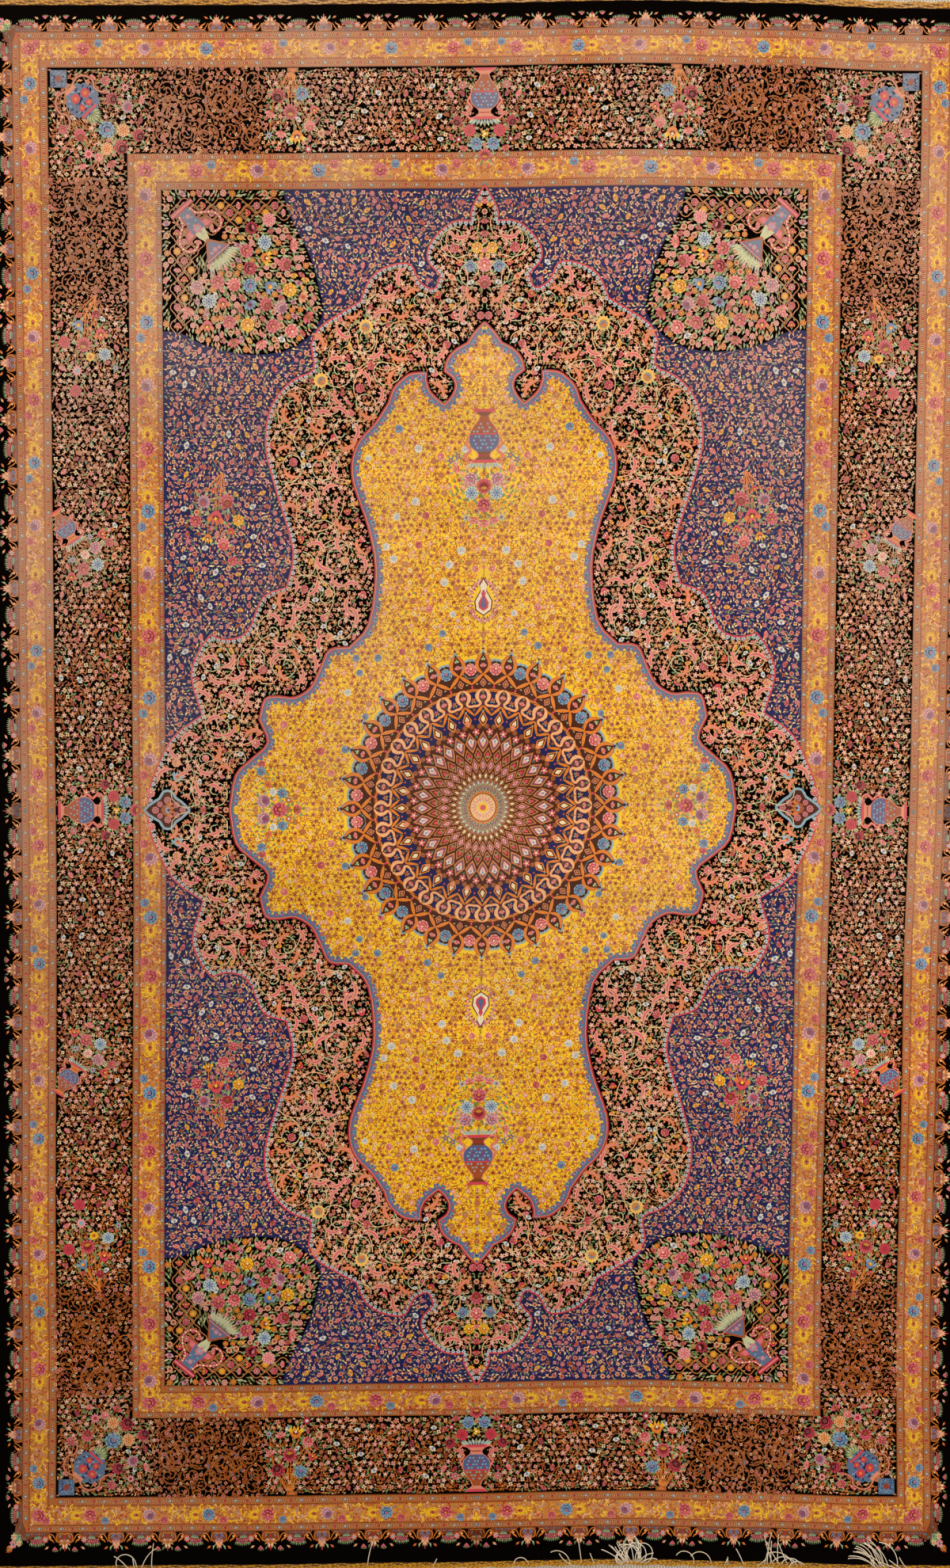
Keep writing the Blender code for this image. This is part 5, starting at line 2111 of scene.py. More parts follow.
@dataclass
class MainBorder:
    """The wide black border with swirls of flowers, urns, vases and bouquets."""

    swirl_pitch: float = 60.0
    bare: list[Spot] = field(default_factory=list)

    def draw(self, pattern: Pattern) -> None:
        """Draws it.

        Args:
            pattern: Where it goes.
        """
        zone = Zone.BORDER
        pattern.ground(zone, MAIN.outline(), Yarn.BLACK, 0, Symmetry.FOUR)
        region = Region(np.array(MAIN.outline()))
        swirls = Swirls(centres((20, 20), MAIN.outer, self.swirl_pitch, 5))
        self.bare += Bouquets().border(pattern)
        self.scrolls(pattern, zone)
        boxes = [np.array([low, (high[0], low[1]), high, (low[0], high[1])]) for low, high in VINE_BOXES]
        region.holes = boxes
        meadow = Meadow(pattern, zone, region, 7, swirls, self.bare)
        dots = (
            Kind(floret(), (3.7, 4.7),
                 lots("PEACH WINE ROSE, BLUSH WINE CREAM, SALMON UMBER PEACH, PINK WINE CREAM"), 5),
            Kind(ringlet(), (3.6, 4.4), lots("SALMON WINE CREAM, TAN WINE PEACH, COPPER WINE PEACH"), 2),
            Kind(quad(), (3.6, 4.2), lots("CREAM WINE, PEACH WINE, BLUSH RED"), 3),
            Kind(spark(4), (4, 5.4), lots("AMBER RUST WINE, TAN RUST CREAM, COPPER UMBER RED"), 2.6),
        )
        meadow.grow((Kind(cup(), (5.2, 6.4), (ROSE_PINK, ROSE_ICE, ROSE_RED, ROSE_CRIMSON), 1),),
                    40, 6, 3.6, 7, jitter=0.3)
        for side in (False, True):
            meadow.seam(dots, 11, 5, 3, side)
        meadow.grow(dots, 11.5, 4.2, 3, 5, jitter=0.16, block=3.4)
        leaves = (
            Kind(leaflet(0.24), (5.2, 9.2), lots("AMBER RUST, TAN RUST, COPPER BROWN, OLIVE GREEN, "
                                                 "RUST HONEY, GREEN MINT, PEACH TAN"), 5),
            Kind(bud(), (3, 4), lots("ROSE RED GREEN, RED SALMON OLIVE"), 0.8),
        )
        meadow.grow(leaves, 5.3, 1.4, 2.2, 2, spread=0.7, block=1.8)
        meadow.forget()
        meadow.grow((Kind(sprig(0.6, 0.13), (6.5, 9.5), lots("COPPER, HONEY, BROWN")),),
                    13, 1, 1.2, 8, spread=0.4)
        brown = (
            Kind(quad(), (3, 3.6), lots("PEACH WINE, SALMON WINE, TAN WINE"), 3),
            Kind(ringlet(), (3.2, 4), lots("TAN WINE PEACH, RUST WINE TAN, SALMON WINE ROSE"), 2),
            Kind(bud(), (3.4, 4.4), lots("ROSE RED GREEN"), 0.6),
        )
        vines = (
            Kind(sprig(0.7, 0.24), (4, 6.5), lots("HONEY, BROWN, RUST"), 4),
            Kind(leaflet(0.3), (5, 7), lots("HONEY TAN, BROWN HONEY"), 3),
            Kind(leaflet(0.1), (4, 6), lots("GREEN OLIVE, STEEL SKY"), 0.8),
        )
        for number, box in enumerate(boxes):
            middle = box.mean(axis=0)
            grown = Region(middle + (box - middle) * (1.07, 1.07))
            curls = Swirls(centres(tuple(box[0]), tuple(box[2]), 36, 60 + number))
            self.bare += arms(pattern, zone, grown, curls, Yarn.HONEY, 19, 1.9, 4, 2, 0.9)
            arms(pattern, zone, grown, curls, Yarn.BROWN, 19, 0.8, 4.6, 2, 0.9)
            thicket = Meadow(pattern, zone, grown, 70 + number, swirls, self.bare)
            thicket.grow(brown, 8, 2.6, 3, 1, jitter=0.25, block=2.4)
            thicket.grow(vines, 6.4, 1.7, 2.2, 2.4, spread=0.9, block=2.2)

    def scrolls(self, pattern: Pattern, zone: Zone) -> None:
        """Draws the large orange spirals near the corners.

        Args:
            pattern: Where they go.
            zone: Their part of the pile.
        """
        spots = ((499, 1080, 28, 40, False), (415, 1098, 31, 200, True), (639, 866, 29, 120, False),
                 (618, 951, 34, 300, True), (443, 1041, 16, 80, True), (368, 1043, 18, 10, True),
                 (669, 803, 15, 30, True), (585, 819, 18, 60, False), (584, 892, 17, 200, True),
                 (452, 1130, 15, 120, False), (364, 1131, 14, 0, True), (536, 1122, 13, 90, False),
                 (578, 776, 12, 0, False), (470, 1034, 10, 200, False), (372, 1087, 14, 100, False))
        for x, y, size, turn, mirror in spots:
            turns = 2 if size > 24 else 1.2
            pattern.one(zone, scroll(turns), (x, y), dyed("HONEY BROWN TAN STEEL"), 4.4, size,
                        turn, mirror=mirror)
            path = np.array(spiral((0.0, 0.0), 0.2, 1.0, 200, turns, 26))
            if mirror:
                path = path * (-1, 1)
            angle = math.radians(turn)
            spun = path @ np.array([(math.cos(angle), math.sin(angle)),
                                    (-math.sin(angle), math.cos(angle))]) * size
            self.bare += [(x + dx, y + dy, 2.2) for dx, dy in spun[::2]]


@dataclass
class NavyField:
    """The navy ground between the medallion's surround and the corners."""

    swirl_pitch: float = 74.0

    def draw(self, pattern: Pattern) -> None:
        """Draws it.

        Args:
            pattern: Where it goes.
        """
        zone = Zone.FIELD
        across, along = FIELD_CORNER
        outline = [(0, 0), (across, 0), FIELD_CORNER, (0, along)]
        pattern.ground(zone, outline, Yarn.NAVY, 0, Symmetry.FOUR)
        corner = np.array([*CORNER_LINE, FIELD_CORNER])
        region = Region(np.array(outline), [np.array(closed(SURROUND_LINE)), corner])
        swirls = Swirls(centres((30, 30), FIELD_CORNER, self.swirl_pitch, 3))
        arms(pattern, zone, region, swirls, Yarn.LILAC, 36, 0.8, 1)
        meadow = Meadow(pattern, zone, region, 9, swirls, Bouquets().field(pattern))
        meadow.grow((Kind(cup(), (5.2, 6.6), (ROSE_PINK, ROSE_ICE, ROSE_RED, ROSE_ORANGE), 1),),
                    36, 5.6, 3.6, 7, jitter=0.3)
        meadow.grow((
            Kind(quad(), (3.5, 4.2), lots("PEACH WINE, BLUSH RED, SALMON WINE"), 3),
            Kind(ringlet(), (3.9, 4.7), lots("SALMON WINE ROSE, PINK WINE CREAM, PEACH RED WINE"), 3),
            Kind(spark(4), (4.2, 5), lots("AMBER RUST WINE, AMBER RED CREAM"), 2),
        ), 12.8, 4, 3, 5, jitter=0.2, block=3.2)
        meadow.grow((
            Kind(leaflet(0.15), (5.2, 7.6), lots("AMBER CREAM, CREAM YELLOW, SALMON AMBER, GREEN MINT"), 5),
            Kind(bud(), (3.2, 4.4), lots("ROSE RED MINT, RED SALMON GREEN, ICE SKY ROSE"), 1.4),
        ), 6.4, 1.8, 2.2, 2.2, spread=0.6, block=2.2)
        meadow.forget()
        meadow.grow((Kind(sprig(0.35, 0.1), (5.5, 8), lots("LILAC, SLATE")),), 16, 1, 1.2, 7, spread=0.4)


@dataclass
class FieldCorners:
    """The black corners of the field, with an urn, a bouquet and a netting of ogives."""

    def draw(self, pattern: Pattern) -> None:
        """Draws them.

        Args:
            pattern: Where it goes.
        """
        zone = Zone.FIELD
        pattern.ground(zone, [*CORNER_LINE, FIELD_CORNER], Yarn.BLACK, 1, Symmetry.FOUR)
        region = Region(np.array([*CORNER_LINE, FIELD_CORNER]))
        taken = Bouquets().corner(pattern)
        taken += self.netting(pattern, region)
        meadow = Meadow(pattern, zone, region, 13, Swirls(np.array([(450.0, 900.0)]), math.pi / 2), taken)
        meadow.grow((
            Kind(ringlet(), (4.6, 5.8), lots("BLUSH RED CREAM, PEACH WINE ROSE, AMBER RUST YELLOW"), 3),
            Kind(cup(), (5.4, 7), (ROSE_PINK, ROSE_ICE, ROSE_ORANGE, ROSE_LILAC, ROSE_RED), 1),
        ), 13, 4.8, 5, 5, spread=0.5, block=3.8)
        meadow.grow((
            Kind(leaflet(0.1), (7, 10), lots("GREEN MINT, OLIVE GREEN, MINT CREAM, SALMON PEACH"), 4),
            Kind(bud(), (3.4, 4.6), lots("ROSE PINK GREEN, CREAM SALMON OLIVE"), 1.2),
        ), 6, 1.8, 3, 1.5, spread=0.4, block=2)

    @staticmethod
    def netting(pattern: Pattern, region: Region) -> list[Spot]:
        """Draws the ogival netting along the two straight sides.

        Args:
            pattern: Where it goes.
            region: The corner.

        Returns:
            The places that it takes, as (x, y, radius).
        """
        cell, taken = 29, []
        ogive = Motif()
        for side in (-1, 1):
            ogive.ribbon([(0.04 * side, -0.5), (side * 0.12, -0.36), (side * 0.36, -0.14), (side * 0.4, 0),
                          (side * 0.34, 0.16), (side * 0.12, 0.36), (0.02 * side, 0.5)], (0.05,), 0)
        for x, y, angle in ((0, -0.3, 90), (-0.2, 0.16, 60), (0.2, 0.16, 120), (0, 0.34, 90),
                            (-0.24, -0.1, 30)):
            turned = math.radians(angle)
            made = (x + 0.16 * math.cos(turned), y + 0.16 * math.sin(turned))
            ogive.leaf((x, y), made, 0.09, (3, 3), 0.2)
        heads = (rose(), cup(), lily(), ringlet(), honeycomb())
        palettes = (ROSE_RED, ROSE_PINK, LILY_FIRE, dyed("PINK WINE CREAM"), ROSE_ORANGE)
        across, along = FIELD_CORNER
        for column in range(7):
            for row in range(14):
                for shift in (0, 0.5):
                    beside = (column + shift + 0.1) * cell * 0.76
                    behind = (row + shift + 0.3) * cell * 0.98
                    for flip in (False, True):
                        back, up = (behind, beside) if flip else (beside, behind)
                        x, y = across - back, along - up
                        wide = 74 - 0.2 * behind
                        outside = across - 0.46 * cell < x or along - 0.46 * cell < y
                        inside = region.holds(np.array([(x, y)]), 4.0)[0]
                        if beside > min(wide, behind) or not inside or (outside and beside > 3 and shift):
                            continue
                        turn = 86 if flip else 4
                        tones = dyed("TAN ROSE PEACH GREEN")
                        pattern.one(Zone.FIELD, ogive, (x, y), tones, 5, cell, turn)
                        pick = (2 * row + 3 * column + int(2 * shift)) % len(heads)
                        if beside > 5:
                            pattern.one(Zone.FIELD, heads[pick], (x, y), palettes[pick], 5.6, 6, turn + 180)
                        taken.append((x, y, cell * 0.46))
        return taken


@dataclass
class Surround:
    """The black lobed ground round the medallion, with salmon split leaves on green stems."""

    line_width: float = 2.6

    def draw(self, pattern: Pattern) -> None:
        """Draws it.

        Args:
            pattern: Where it goes.
        """
        zone = Zone.FIELD
        pattern.ground(zone, closed(SURROUND_LINE), Yarn.BLACK, 6, Symmetry.FOUR)
        self.rim(pattern, zone)
        region = Region(np.array(closed(SURROUND_LINE)), [np.array(closed(MEDALLION_LINE))])
        swirls = Swirls(centres((20, 30), (560, 960), 58, 8))
        taken = Bouquets().surround(pattern)
        taken += arms(pattern, zone, region, swirls, Yarn.PISTACHIO, 30, 1.4, 12.6, 1, 1.25)
        wide = Swirls(centres((40, 60), (560, 960), 96, 81))
        taken += arms(pattern, zone, region, wide, Yarn.PEACH, 62, 1.4, 12.4, 2, 0.6)
        leaves = Meadow(pattern, zone, region, 15, swirls, taken)
        leaves.grow((
            Kind(split_leaf(), (13.5, 17), lots("SALMON AMBER PINK, SALMON BLUSH ROSE, PINK PEACH ROSE"), 1),
        ), 34, 5, 13.4, 10, spread=0.4, block=7)
        leaves.grow((Kind(rose(), (5.6, 7.4), (ROSE_RED, ROSE_PINK, ROSE_SALMON), 1),
                     Kind(lily(), (6, 7.6), (LILY_FIRE, ROSE_PINK), 1)), 44, 4.5, 11.6, 9, block=6.5)
        for side in (False, True):
            leaves.seam((Kind(ringlet(), (5, 5), lots("PEACH WINE ROSE")),
                         Kind(cup(), (6.5, 6.5), (ROSE_PINK, ROSE_RED))), 15, 5, 11.5, side, 6)
        leaves.grow((
            Kind(floret(), (3.8, 4.7),
                 lots("SALMON WINE CREAM, COPPER UMBER PEACH, TAN WINE PEACH, BLUSH RED CREAM"), 4),
            Kind(quad(), (3.4, 4), lots("SALMON WINE, PEACH WINE"), 2),
            Kind(cup(), (4.6, 6), (ROSE_PINK, ROSE_ICE, ROSE_RED, ROSE_ORANGE), 0.8),
        ), 10, 3.3, 11.5, 6, jitter=0.2, block=3.1)
        leaves.grow((
            Kind(leaflet(0.2), (5, 8), lots("GREEN MINT, OLIVE GREEN, COPPER RUST, SALMON COPPER"), 4),
            Kind(bud(), (3.2, 4.4), lots("ROSE RED GREEN, RED SALMON MINT"), 1),
        ), 5.6, 1.5, 10.8, 4, spread=0.7, block=1.8)

    def rim(self, pattern: Pattern, zone: Zone) -> None:
        """Draws its red line and its row of pale teeth.

        Args:
            pattern: Where they go.
            zone: Their part of the pile.
        """
        pattern.one(zone, Motif().ribbon(SURROUND_LINE, (3.8,), 0), (0, 0), dyed("BROWN"), 7)
        pattern.one(zone, Motif().ribbon(SURROUND_LINE, (self.line_width,), 0), (0, 0), dyed("ROSE"), 8)
        teeth(pattern, zone, inset(SURROUND_LINE, 3.8), 8.6, 3.3, dyed("ICE SKY ROSE"), 8.5)


def teeth(pattern: Pattern, zone: Zone, line: Sequence[Point], pitch: float, size: float,
          palette: Sequence[Yarn], level: float) -> None:
    """Sets small scalloped teeth along a line.

    Args:
        pattern: Where they go.
        zone: Their part of the pile.
        line: The line.
        pitch: Their spacing.
        size: Their radius.
        palette: Yarns of the tooth's rim, its middle and its eye.
        level: Their height in steps.
    """
    points = np.array(line)
    run = np.concatenate([[0], np.cumsum(np.linalg.norm(np.diff(points, axis=0), axis=1))])
    steps = np.arange(pitch / 2, run[-1], pitch)
    places = np.stack([np.interp(steps, run, points[:, axis]) for axis in range(2)], axis=1)
    ahead = np.stack([np.interp(steps + 1, run, points[:, axis]) for axis in range(2)], axis=1)
    turns = np.arctan2(*(ahead - places).T[::-1])
    tooth = Motif().bloom(3, 1.15, 0.7, (0, 1, 1), 0, turn=-0.5, broad=0.5).bloom(3, 0.3, 0.3, (2, 2, 2), 1)
    colours = tinted(palette, len(steps))
    keep = (places[:, 0] > 0) & (places[:, 1] > 0)
    pattern.stamp(zone, tooth, places[keep], turns[keep], np.full(keep.sum(), size), colours[keep], level)


@dataclass
class GoldMedallion:
    """The golden lobed medallion."""

    def draw(self, pattern: Pattern) -> None:
        """Draws it.

        Args:
            pattern: Where it goes.
        """
        zone = Zone.MEDALLION
        pattern.ground(zone, closed(MEDALLION_LINE), Yarn.STEEL, 12, Symmetry.FOUR)
        pattern.ground(zone, closed(inset(MEDALLION_LINE, 6)), Yarn.YELLOW, 13, Symmetry.FOUR)
        pattern.one(zone, Motif().ribbon(MEDALLION_LINE, (4.4,), 0), (0, 0), dyed("RED"), 14)
        pattern.one(zone, Motif().ribbon(inset(MEDALLION_LINE, 0.8), (1.2,), 0), (0, 0), dyed("SALMON"), 14.6)
        teeth(pattern, zone, inset(MEDALLION_LINE, 6.2), 11, 5.6, dyed("STEEL STEEL ROSE"), 14)
        teeth(pattern, zone, inset(MEDALLION_LINE, 9), 22, 3.6, dyed("SKY STEEL NAVY"), 14.4)
        around = arc((0, 0), 224, 0, 90, 20, 1.06)
        region = Region(np.array(closed(inset(MEDALLION_LINE, 8.0))), [np.array(closed(around))])
        swirls = Swirls(centres((10, 10), (420, 760), 46, 6))
        meadow = Meadow(pattern, zone, region, 21, swirls, Bouquets().medallion(pattern))
        dots = (
            Kind(quad(), (3.4, 4.2), lots("PEACH WINE, SALMON RUST, CREAM RED"), 2),
            Kind(floret(), (3.8, 4.8), lots("SALMON RUST WINE, PINK RED CREAM, TAN RUST BROWN"), 3),
            Kind(honeycomb(), (4.6, 5.4), lots("TAN RUST CREAM, COPPER RUST PEACH"),
                 0.5),
        )
        meadow.grow((Kind(rose(), (5.2, 7), (ROSE_PINK, ROSE_RED, ROSE_BLUE, ROSE_ICE), 1),
                     Kind(bud(), (6, 7), lots("ROSE RED GREEN"), 1)),
                    40, 6, 16.5, 8, jitter=0.3)
        for side in (False, True):
            meadow.seam(dots, 10.6, 4.6, 16, side, 5)
        meadow.grow((
            *dots,
            Kind(spark(5), (4, 5), lots("RUST BROWN TAN, HONEY RUST WINE"), 2),
            Kind(bud(), (4.4, 5.4), lots("ROSE PINK GREEN, PINK ROSE SLATE, LILAC PLUM GREEN"), 0.8),
        ), 11.4, 4.2, 16, 4, jitter=0.18, block=3.3)
        meadow.grow((
            Kind(leaflet(0.3), (5.4, 7.8), lots("AMBER HONEY, HONEY COPPER, COPPER HONEY, AMBER RED"), 5),
            Kind(sprig(0.6, 0.24), (2.8, 4), lots("AMBER, HONEY"), 2),
            Kind(spark(4), (1.8, 2.4), lots("SALMON WINE WINE, SLATE PLUM CREAM")),
        ), 4.7, 1.3, 15, 2.2, spread=0.9, block=1.4)
        meadow.forget()
        meadow.grow((Kind(sprig(0.8, 0.17), (4.6, 7), lots("HONEY, COPPER, AMBER")),),
                    9.4, 1, 14, 3, spread=0.8)


@dataclass
class Rosette:
    """The round rosette of rings of petals."""

    pixel: float = 1.243
    stretch: float = 1.07
    fold: int = 32

    def draw(self, pattern: Pattern) -> None:
        """Draws it.

        Args:
            pattern: Where it goes.
        """
        for radius, yarn, level in ((164, Yarn.UMBER, 18.7), (141, Yarn.AMBER, 20), (138.6, Yarn.NAVY, 20.6),
                                    (98, Yarn.UMBER, 23), (58, Yarn.UMBER, 25.8), (34, Yarn.PLUM, 30.4),
                                    (19.4, Yarn.AMBER, 33.4), (17.4, Yarn.BROWN, 33.8),
                                    (16.2, Yarn.PEACH, 34)):
            self.disc(pattern, radius, yarn, level)
        self.outer_ring(pattern)
        self.middle_rings(pattern)
        self.inner_rings(pattern)

    def disc(self, pattern: Pattern, radius: float, yarn: Yarn, level: float) -> None:
        """Fills a disc.

        Args:
            pattern: Where it goes.
            radius: Its radius in the photograph's pixels.
            yarn: Its yarn.
            level: Its height in steps.
        """
        line = arc((0, 0), radius * self.pixel, 0, 90, 16, self.stretch)
        pattern.ground(Zone.MEDALLION, closed(line), yarn, level, Symmetry.FOUR)

    def ring(self, pattern: Pattern, motif: Motif, radius: float, size: float, palette: Sequence[Yarn],
             level: float, offset: float = 0.0, every: int = 1, first: int = 0, mirror: bool = False) -> None:
        """Sets a motif all round.

        Args:
            pattern: Where it goes.
            motif: The motif, with +y outwards.
            radius: Its distance from the middle, in pixels.
            size: Its scale, in pixels.
            palette: Its yarns.
            level: Its height in steps.
            offset: How far round it starts, in repeats.
            every: How many repeats lie between copies.
            first: The first repeat.
            mirror: Whether it is mirrored.
        """
        numbers = np.arange(first, self.fold, every)
        angles = (numbers + offset) * math.tau / self.fold + math.pi / 2
        reach = radius * self.pixel
        places = np.stack([reach * np.cos(angles), reach * np.sin(angles) * self.stretch], axis=1)
        colours = tinted(palette, len(numbers))
        pattern.stamp(Zone.MEDALLION, motif, places, angles - math.pi / 2,
                      np.full(len(numbers), size * self.pixel), colours, level, Symmetry.ONCE,
                      np.full(len(numbers), -1.0 if mirror else 1.0))

    @staticmethod
    def shield(width: float, length: float, tones: tuple[int, int], level: float, foot: float = 0.0,
               belly: float = 0.5) -> Motif:
        """A pointed petal towards +y.

        Args:
            width: Its width.
            length: Its length.
            tones: Its rim's and its middle's tone.
            level: Its height in steps.
            foot: Where it starts.
            belly: Where it is widest, over its length.

        Returns:
            The motif.
        """
        half = width / 2
        side = [(half * 0.55, belly * 0.45), (half, belly), (half * 0.5, 0.5 + belly / 2)]
        outline = [(0, foot), *[(x, foot + y * length) for x, y in side], (0, foot + length),
                   *[(-x, foot + y * length) for x, y in reversed(side)]]
        return Motif().fan(outline, (tones[0],), tones[1], level, (0, foot + belly * length))

    def petals(self, pattern: Pattern, foot: float, tip: float, width: float, shells: Sequence[Yarn],
               level: float, offset: float = 0.0, belly: float = 0.5) -> None:
        """Sets a ring of nested pointed petals.

        Args:
            pattern: Where they go.
            foot: Radius of their feet in pixels.
            tip: Radius of their tips in pixels.
            width: Their width in pixels.
            shells: Yarns from the outline to the core.
            level: Their height in steps.
            offset: How far round they start, in repeats.
            belly: Where they are widest, over their length.
        """
        length = tip - foot
        for number, yarn in enumerate(shells):
            share = 1 - 0.26 * number
            start = foot + length * (1 - share) * 0.45
            made = self.shield(width * share, length * share, (0, 0), 0, 0, belly)
            self.ring(pattern, made, start, 1, (yarn,), level + 0.4 * number, offset)

    def outer_ring(self, pattern: Pattern) -> None:
        """Draws the cartouches, the roses and the zigzag.

        Args:
            pattern: Where it goes.
        """
        scallop = Motif().bloom(8, 1, 0.93, (0, 0, 0), broad=0.4)
        self.petals(pattern, 146, 190, 23, dyed("SKY"), 18, 0, 0.62)
        self.ring(pattern, scallop, 165, 12.6, dyed("SKY"), 18.1, 0.5)
        self.petals(pattern, 146, 187, 20, dyed("UMBER"), 18.5, 0, 0.62)
        self.ring(pattern, scallop, 164, 11, dyed("UMBER"), 18.6, 0.5)
        self.ring(pattern, bud(), 188, 4.2, dyed("WINE ROSE UMBER"), 19.5)
        line = smooth([(-1, -12), (-5, -8.5), (-8.2, -3.5), (-7.6, 4), (-4, 10), (-1.5, 12.5)], 2)
        widths = np.interp(range(11), (0, 2, 6, 10), (1.2, 3.6, 4, 0.8))
        shell = Motif().ribbon(line, widths + 1, 1).ribbon(line, widths, 0, 0.4)
        for side in (False, True):
            self.ring(pattern, shell, 170, 1, dyed("AMBER RUST"), 22, mirror=side)
        self.ring(pattern, cup(), 168, 4.2, ROSE_PINK, 22.5)
        self.ring(pattern, sheaf(3, 80, 1, 0.4), 174, 6, dyed("PISTACHIO MINT"), 22.3)
        leafy = sheaf(5, 250, 1, 0.22)
        self.ring(pattern, leafy, 164, 10.8, dyed("MINT GREEN"), 22.4, 0.5)
        order, half = (1, 0, 1, 0, 0, 1, 0, 1), self.fold // 2
        for kind, palette in ((1, ROSE_PINK), (0, ROSE_BLUE)):
            for slot in (n for n, k in enumerate(order) if k == kind):
                for first in (slot, self.fold - 1 - slot, half - 1 - slot, half + slot):
                    self.ring(pattern, rose(), 164, 7.8, palette, 23, 0.5, self.fold, first)
        self.zigzag(pattern, 158.5, (14.4, -13.5), (1.6, 4.4, 4.2, 1.6), 22.2)
        self.petals(pattern, 143, 154, 8.6, dyed("SALMON UMBER TAN"), 21.4)
        for offset in (0.27, -0.27):
            self.ring(pattern, bud(), 146.5, 2.9, dyed("SALMON PEACH MINT"), 21.5, offset)
        self.ring(pattern, Motif().leaf((0, -1), (0, 1), 0.9), 143.2, 3.4, dyed("ROSE"), 22.8, 0.5)
        self.zigzag(pattern, 140.5, (13.2, -3.2), (1, 2, 2, 1), 20.9)

    def zigzag(self, pattern: Pattern, radius: float, reach: Point, widths: Sequence[float],
               level: float) -> None:
        """Draws an orange zigzag of swelling blades all round.

        Args:
            pattern: Where it goes.
            radius: The radius of its peaks, in pixels.
            reach: How far a valley lies from a peak, sideways and outwards, in pixels.
            widths: The widths along a blade, in pixels.
            level: Its height in steps.
        """
        for tone, extra, raised in ((1, 1.5, 0), (0, 0, 0.4)):
            made = Motif()
            for side in (-1, 1):
                path = [(side * reach[0] * step / 3, reach[1] * step / 3) for step in range(4)]
                made.ribbon(path, np.array(widths) + extra, tone)
            self.ring(pattern, made, radius, 1, dyed("AMBER UMBER"), level + raised)

    def middle_rings(self, pattern: Pattern) -> None:
        """Draws the lyres on navy and the flames.

        Args:
            pattern: Where it goes.
        """
        line = smooth([(-0.6, 11), (-5, 8.6), (-7.8, 3), (-6.4, -2.5), (-3.4, -6), (-4.6, -9), (-8.4, -10.4),
                       (-12.4, -10.2)], 2)
        widths = np.interp(range(15), (0, 4, 8, 14), (1.2, 4.6, 2.6, 2.2))
        curl = Motif().ribbon(line, widths + 1.1, 1).ribbon(line, widths - 0.4, 0, 0.4)
        for side in (False, True):
            self.ring(pattern, curl, 130, 1, dyed("PEACH AMBER"), 24, mirror=side)
        self.petals(pattern, 122, 140, 8.4, dyed("WINE PINE"), 23.6, 0, 0.6)
        self.ring(pattern, cup(), 131, 3.9, ROSE_PINK, 25)
        self.ring(pattern, star(5), 137.2, 1.9, dyed("MINT GREEN GREEN"), 24.8)
        self.ring(pattern, spark(5), 127.5, 3.5, dyed("SALMON AMBER WINE"), 23.8, 0.5)
        self.ring(pattern, sheaf(3, 150, 1, 0.34), 124.5, 5, dyed("MINT GREEN"), 23.6, 0.5)
        self.zigzag(pattern, 121, (10.8, -13), (1, 3.6, 2.8, 1), 24.2)
        self.ring(pattern, ringlet(), 116.6, 2.7, dyed("BROWN UMBER SALMON"), 24, 0.5)
        self.ring(pattern, leaflet(), 111.8, 3.2, dyed("MINT GREEN"), 24, 0.5)
        self.ring(pattern, star(5), 105.4, 1.8, dyed("ROSE PINK RED"), 26.6, 0.5)
        self.ring(pattern, star(5), 114.6, 1.7, dyed("PISTACHIO MINT GREEN"), 26.6)
        for offset in (0.24, -0.24):
            self.ring(pattern, ringlet(), 96.6, 3.3, dyed("HONEY SOOT SALMON"), 25.2, offset)
        self.petals(pattern, 96, 117, 12.4, dyed("AMBER UMBER CREAM"), 25.6, 0, 0.42)
        self.petals(pattern, 98, 107, 6.5, dyed("SALMON"), 25.8, 0, 0.4)
        self.ring(pattern, blossom(5), 90, 4.6, dyed("PINK ROSE RED CREAM"), 27.4, 0.5)
        self.ring(pattern, star(6), 84.4, 2.4, dyed("MINT PINE PINE"), 27.2, 0.5)

    def inner_rings(self, pattern: Pattern) -> None:
        """Draws the diamonds, the buds and the centre.

        Args:
            pattern: Where it goes.
        """
        self.petals(pattern, 65.5, 92.5, 15.2, dyed("TAN PLUM BLUSH"), 26)
        self.ring(pattern, cup(), 79.5, 4, ROSE_ICE, 27.6)
        self.petals(pattern, 54, 73, 10.4, dyed("TAN UMBER ROSE"), 28, 0.5)
        self.ring(pattern, leaflet(), 60.4, 6, dyed("GREEN MINT"), 29.6, 0.5)
        self.petals(pattern, 41, 61.5, 10.2, dyed("TAN PLUM BLUSH ROSE"), 29)
        self.petals(pattern, 31, 46, 6.8, dyed("TAN UMBER CREAM"), 31, 0.5)
        self.petals(pattern, 25, 36, 5, dyed("TAN GREEN ICE"), 31.8)
        self.petals(pattern, 18, 31, 4.4, dyed("PISTACHIO PINE LILAC"), 32.4, 0.5)
        self.petals(pattern, 17, 27, 3.6, dyed("TAN PLUM MINT"), 32.8)
        centre = Motif().bloom(20, 1, 0.85, (0, 1, 1), 0).bloom(14, 0.72, 0.56, (2, 0, 0), 1)
        centre.bloom(16, 0.44, 0.4, (3, 3, 3), 2).bloom(8, 0.28, 0.24, (4, 2, 4), 3)
        pattern.one(Zone.MEDALLION, centre, (0, 0), dyed("CREAM SALMON SALMON YELLOW ROSE"),
                    34.6, 15.6 * self.pixel, symmetry=Symmetry.ONCE)


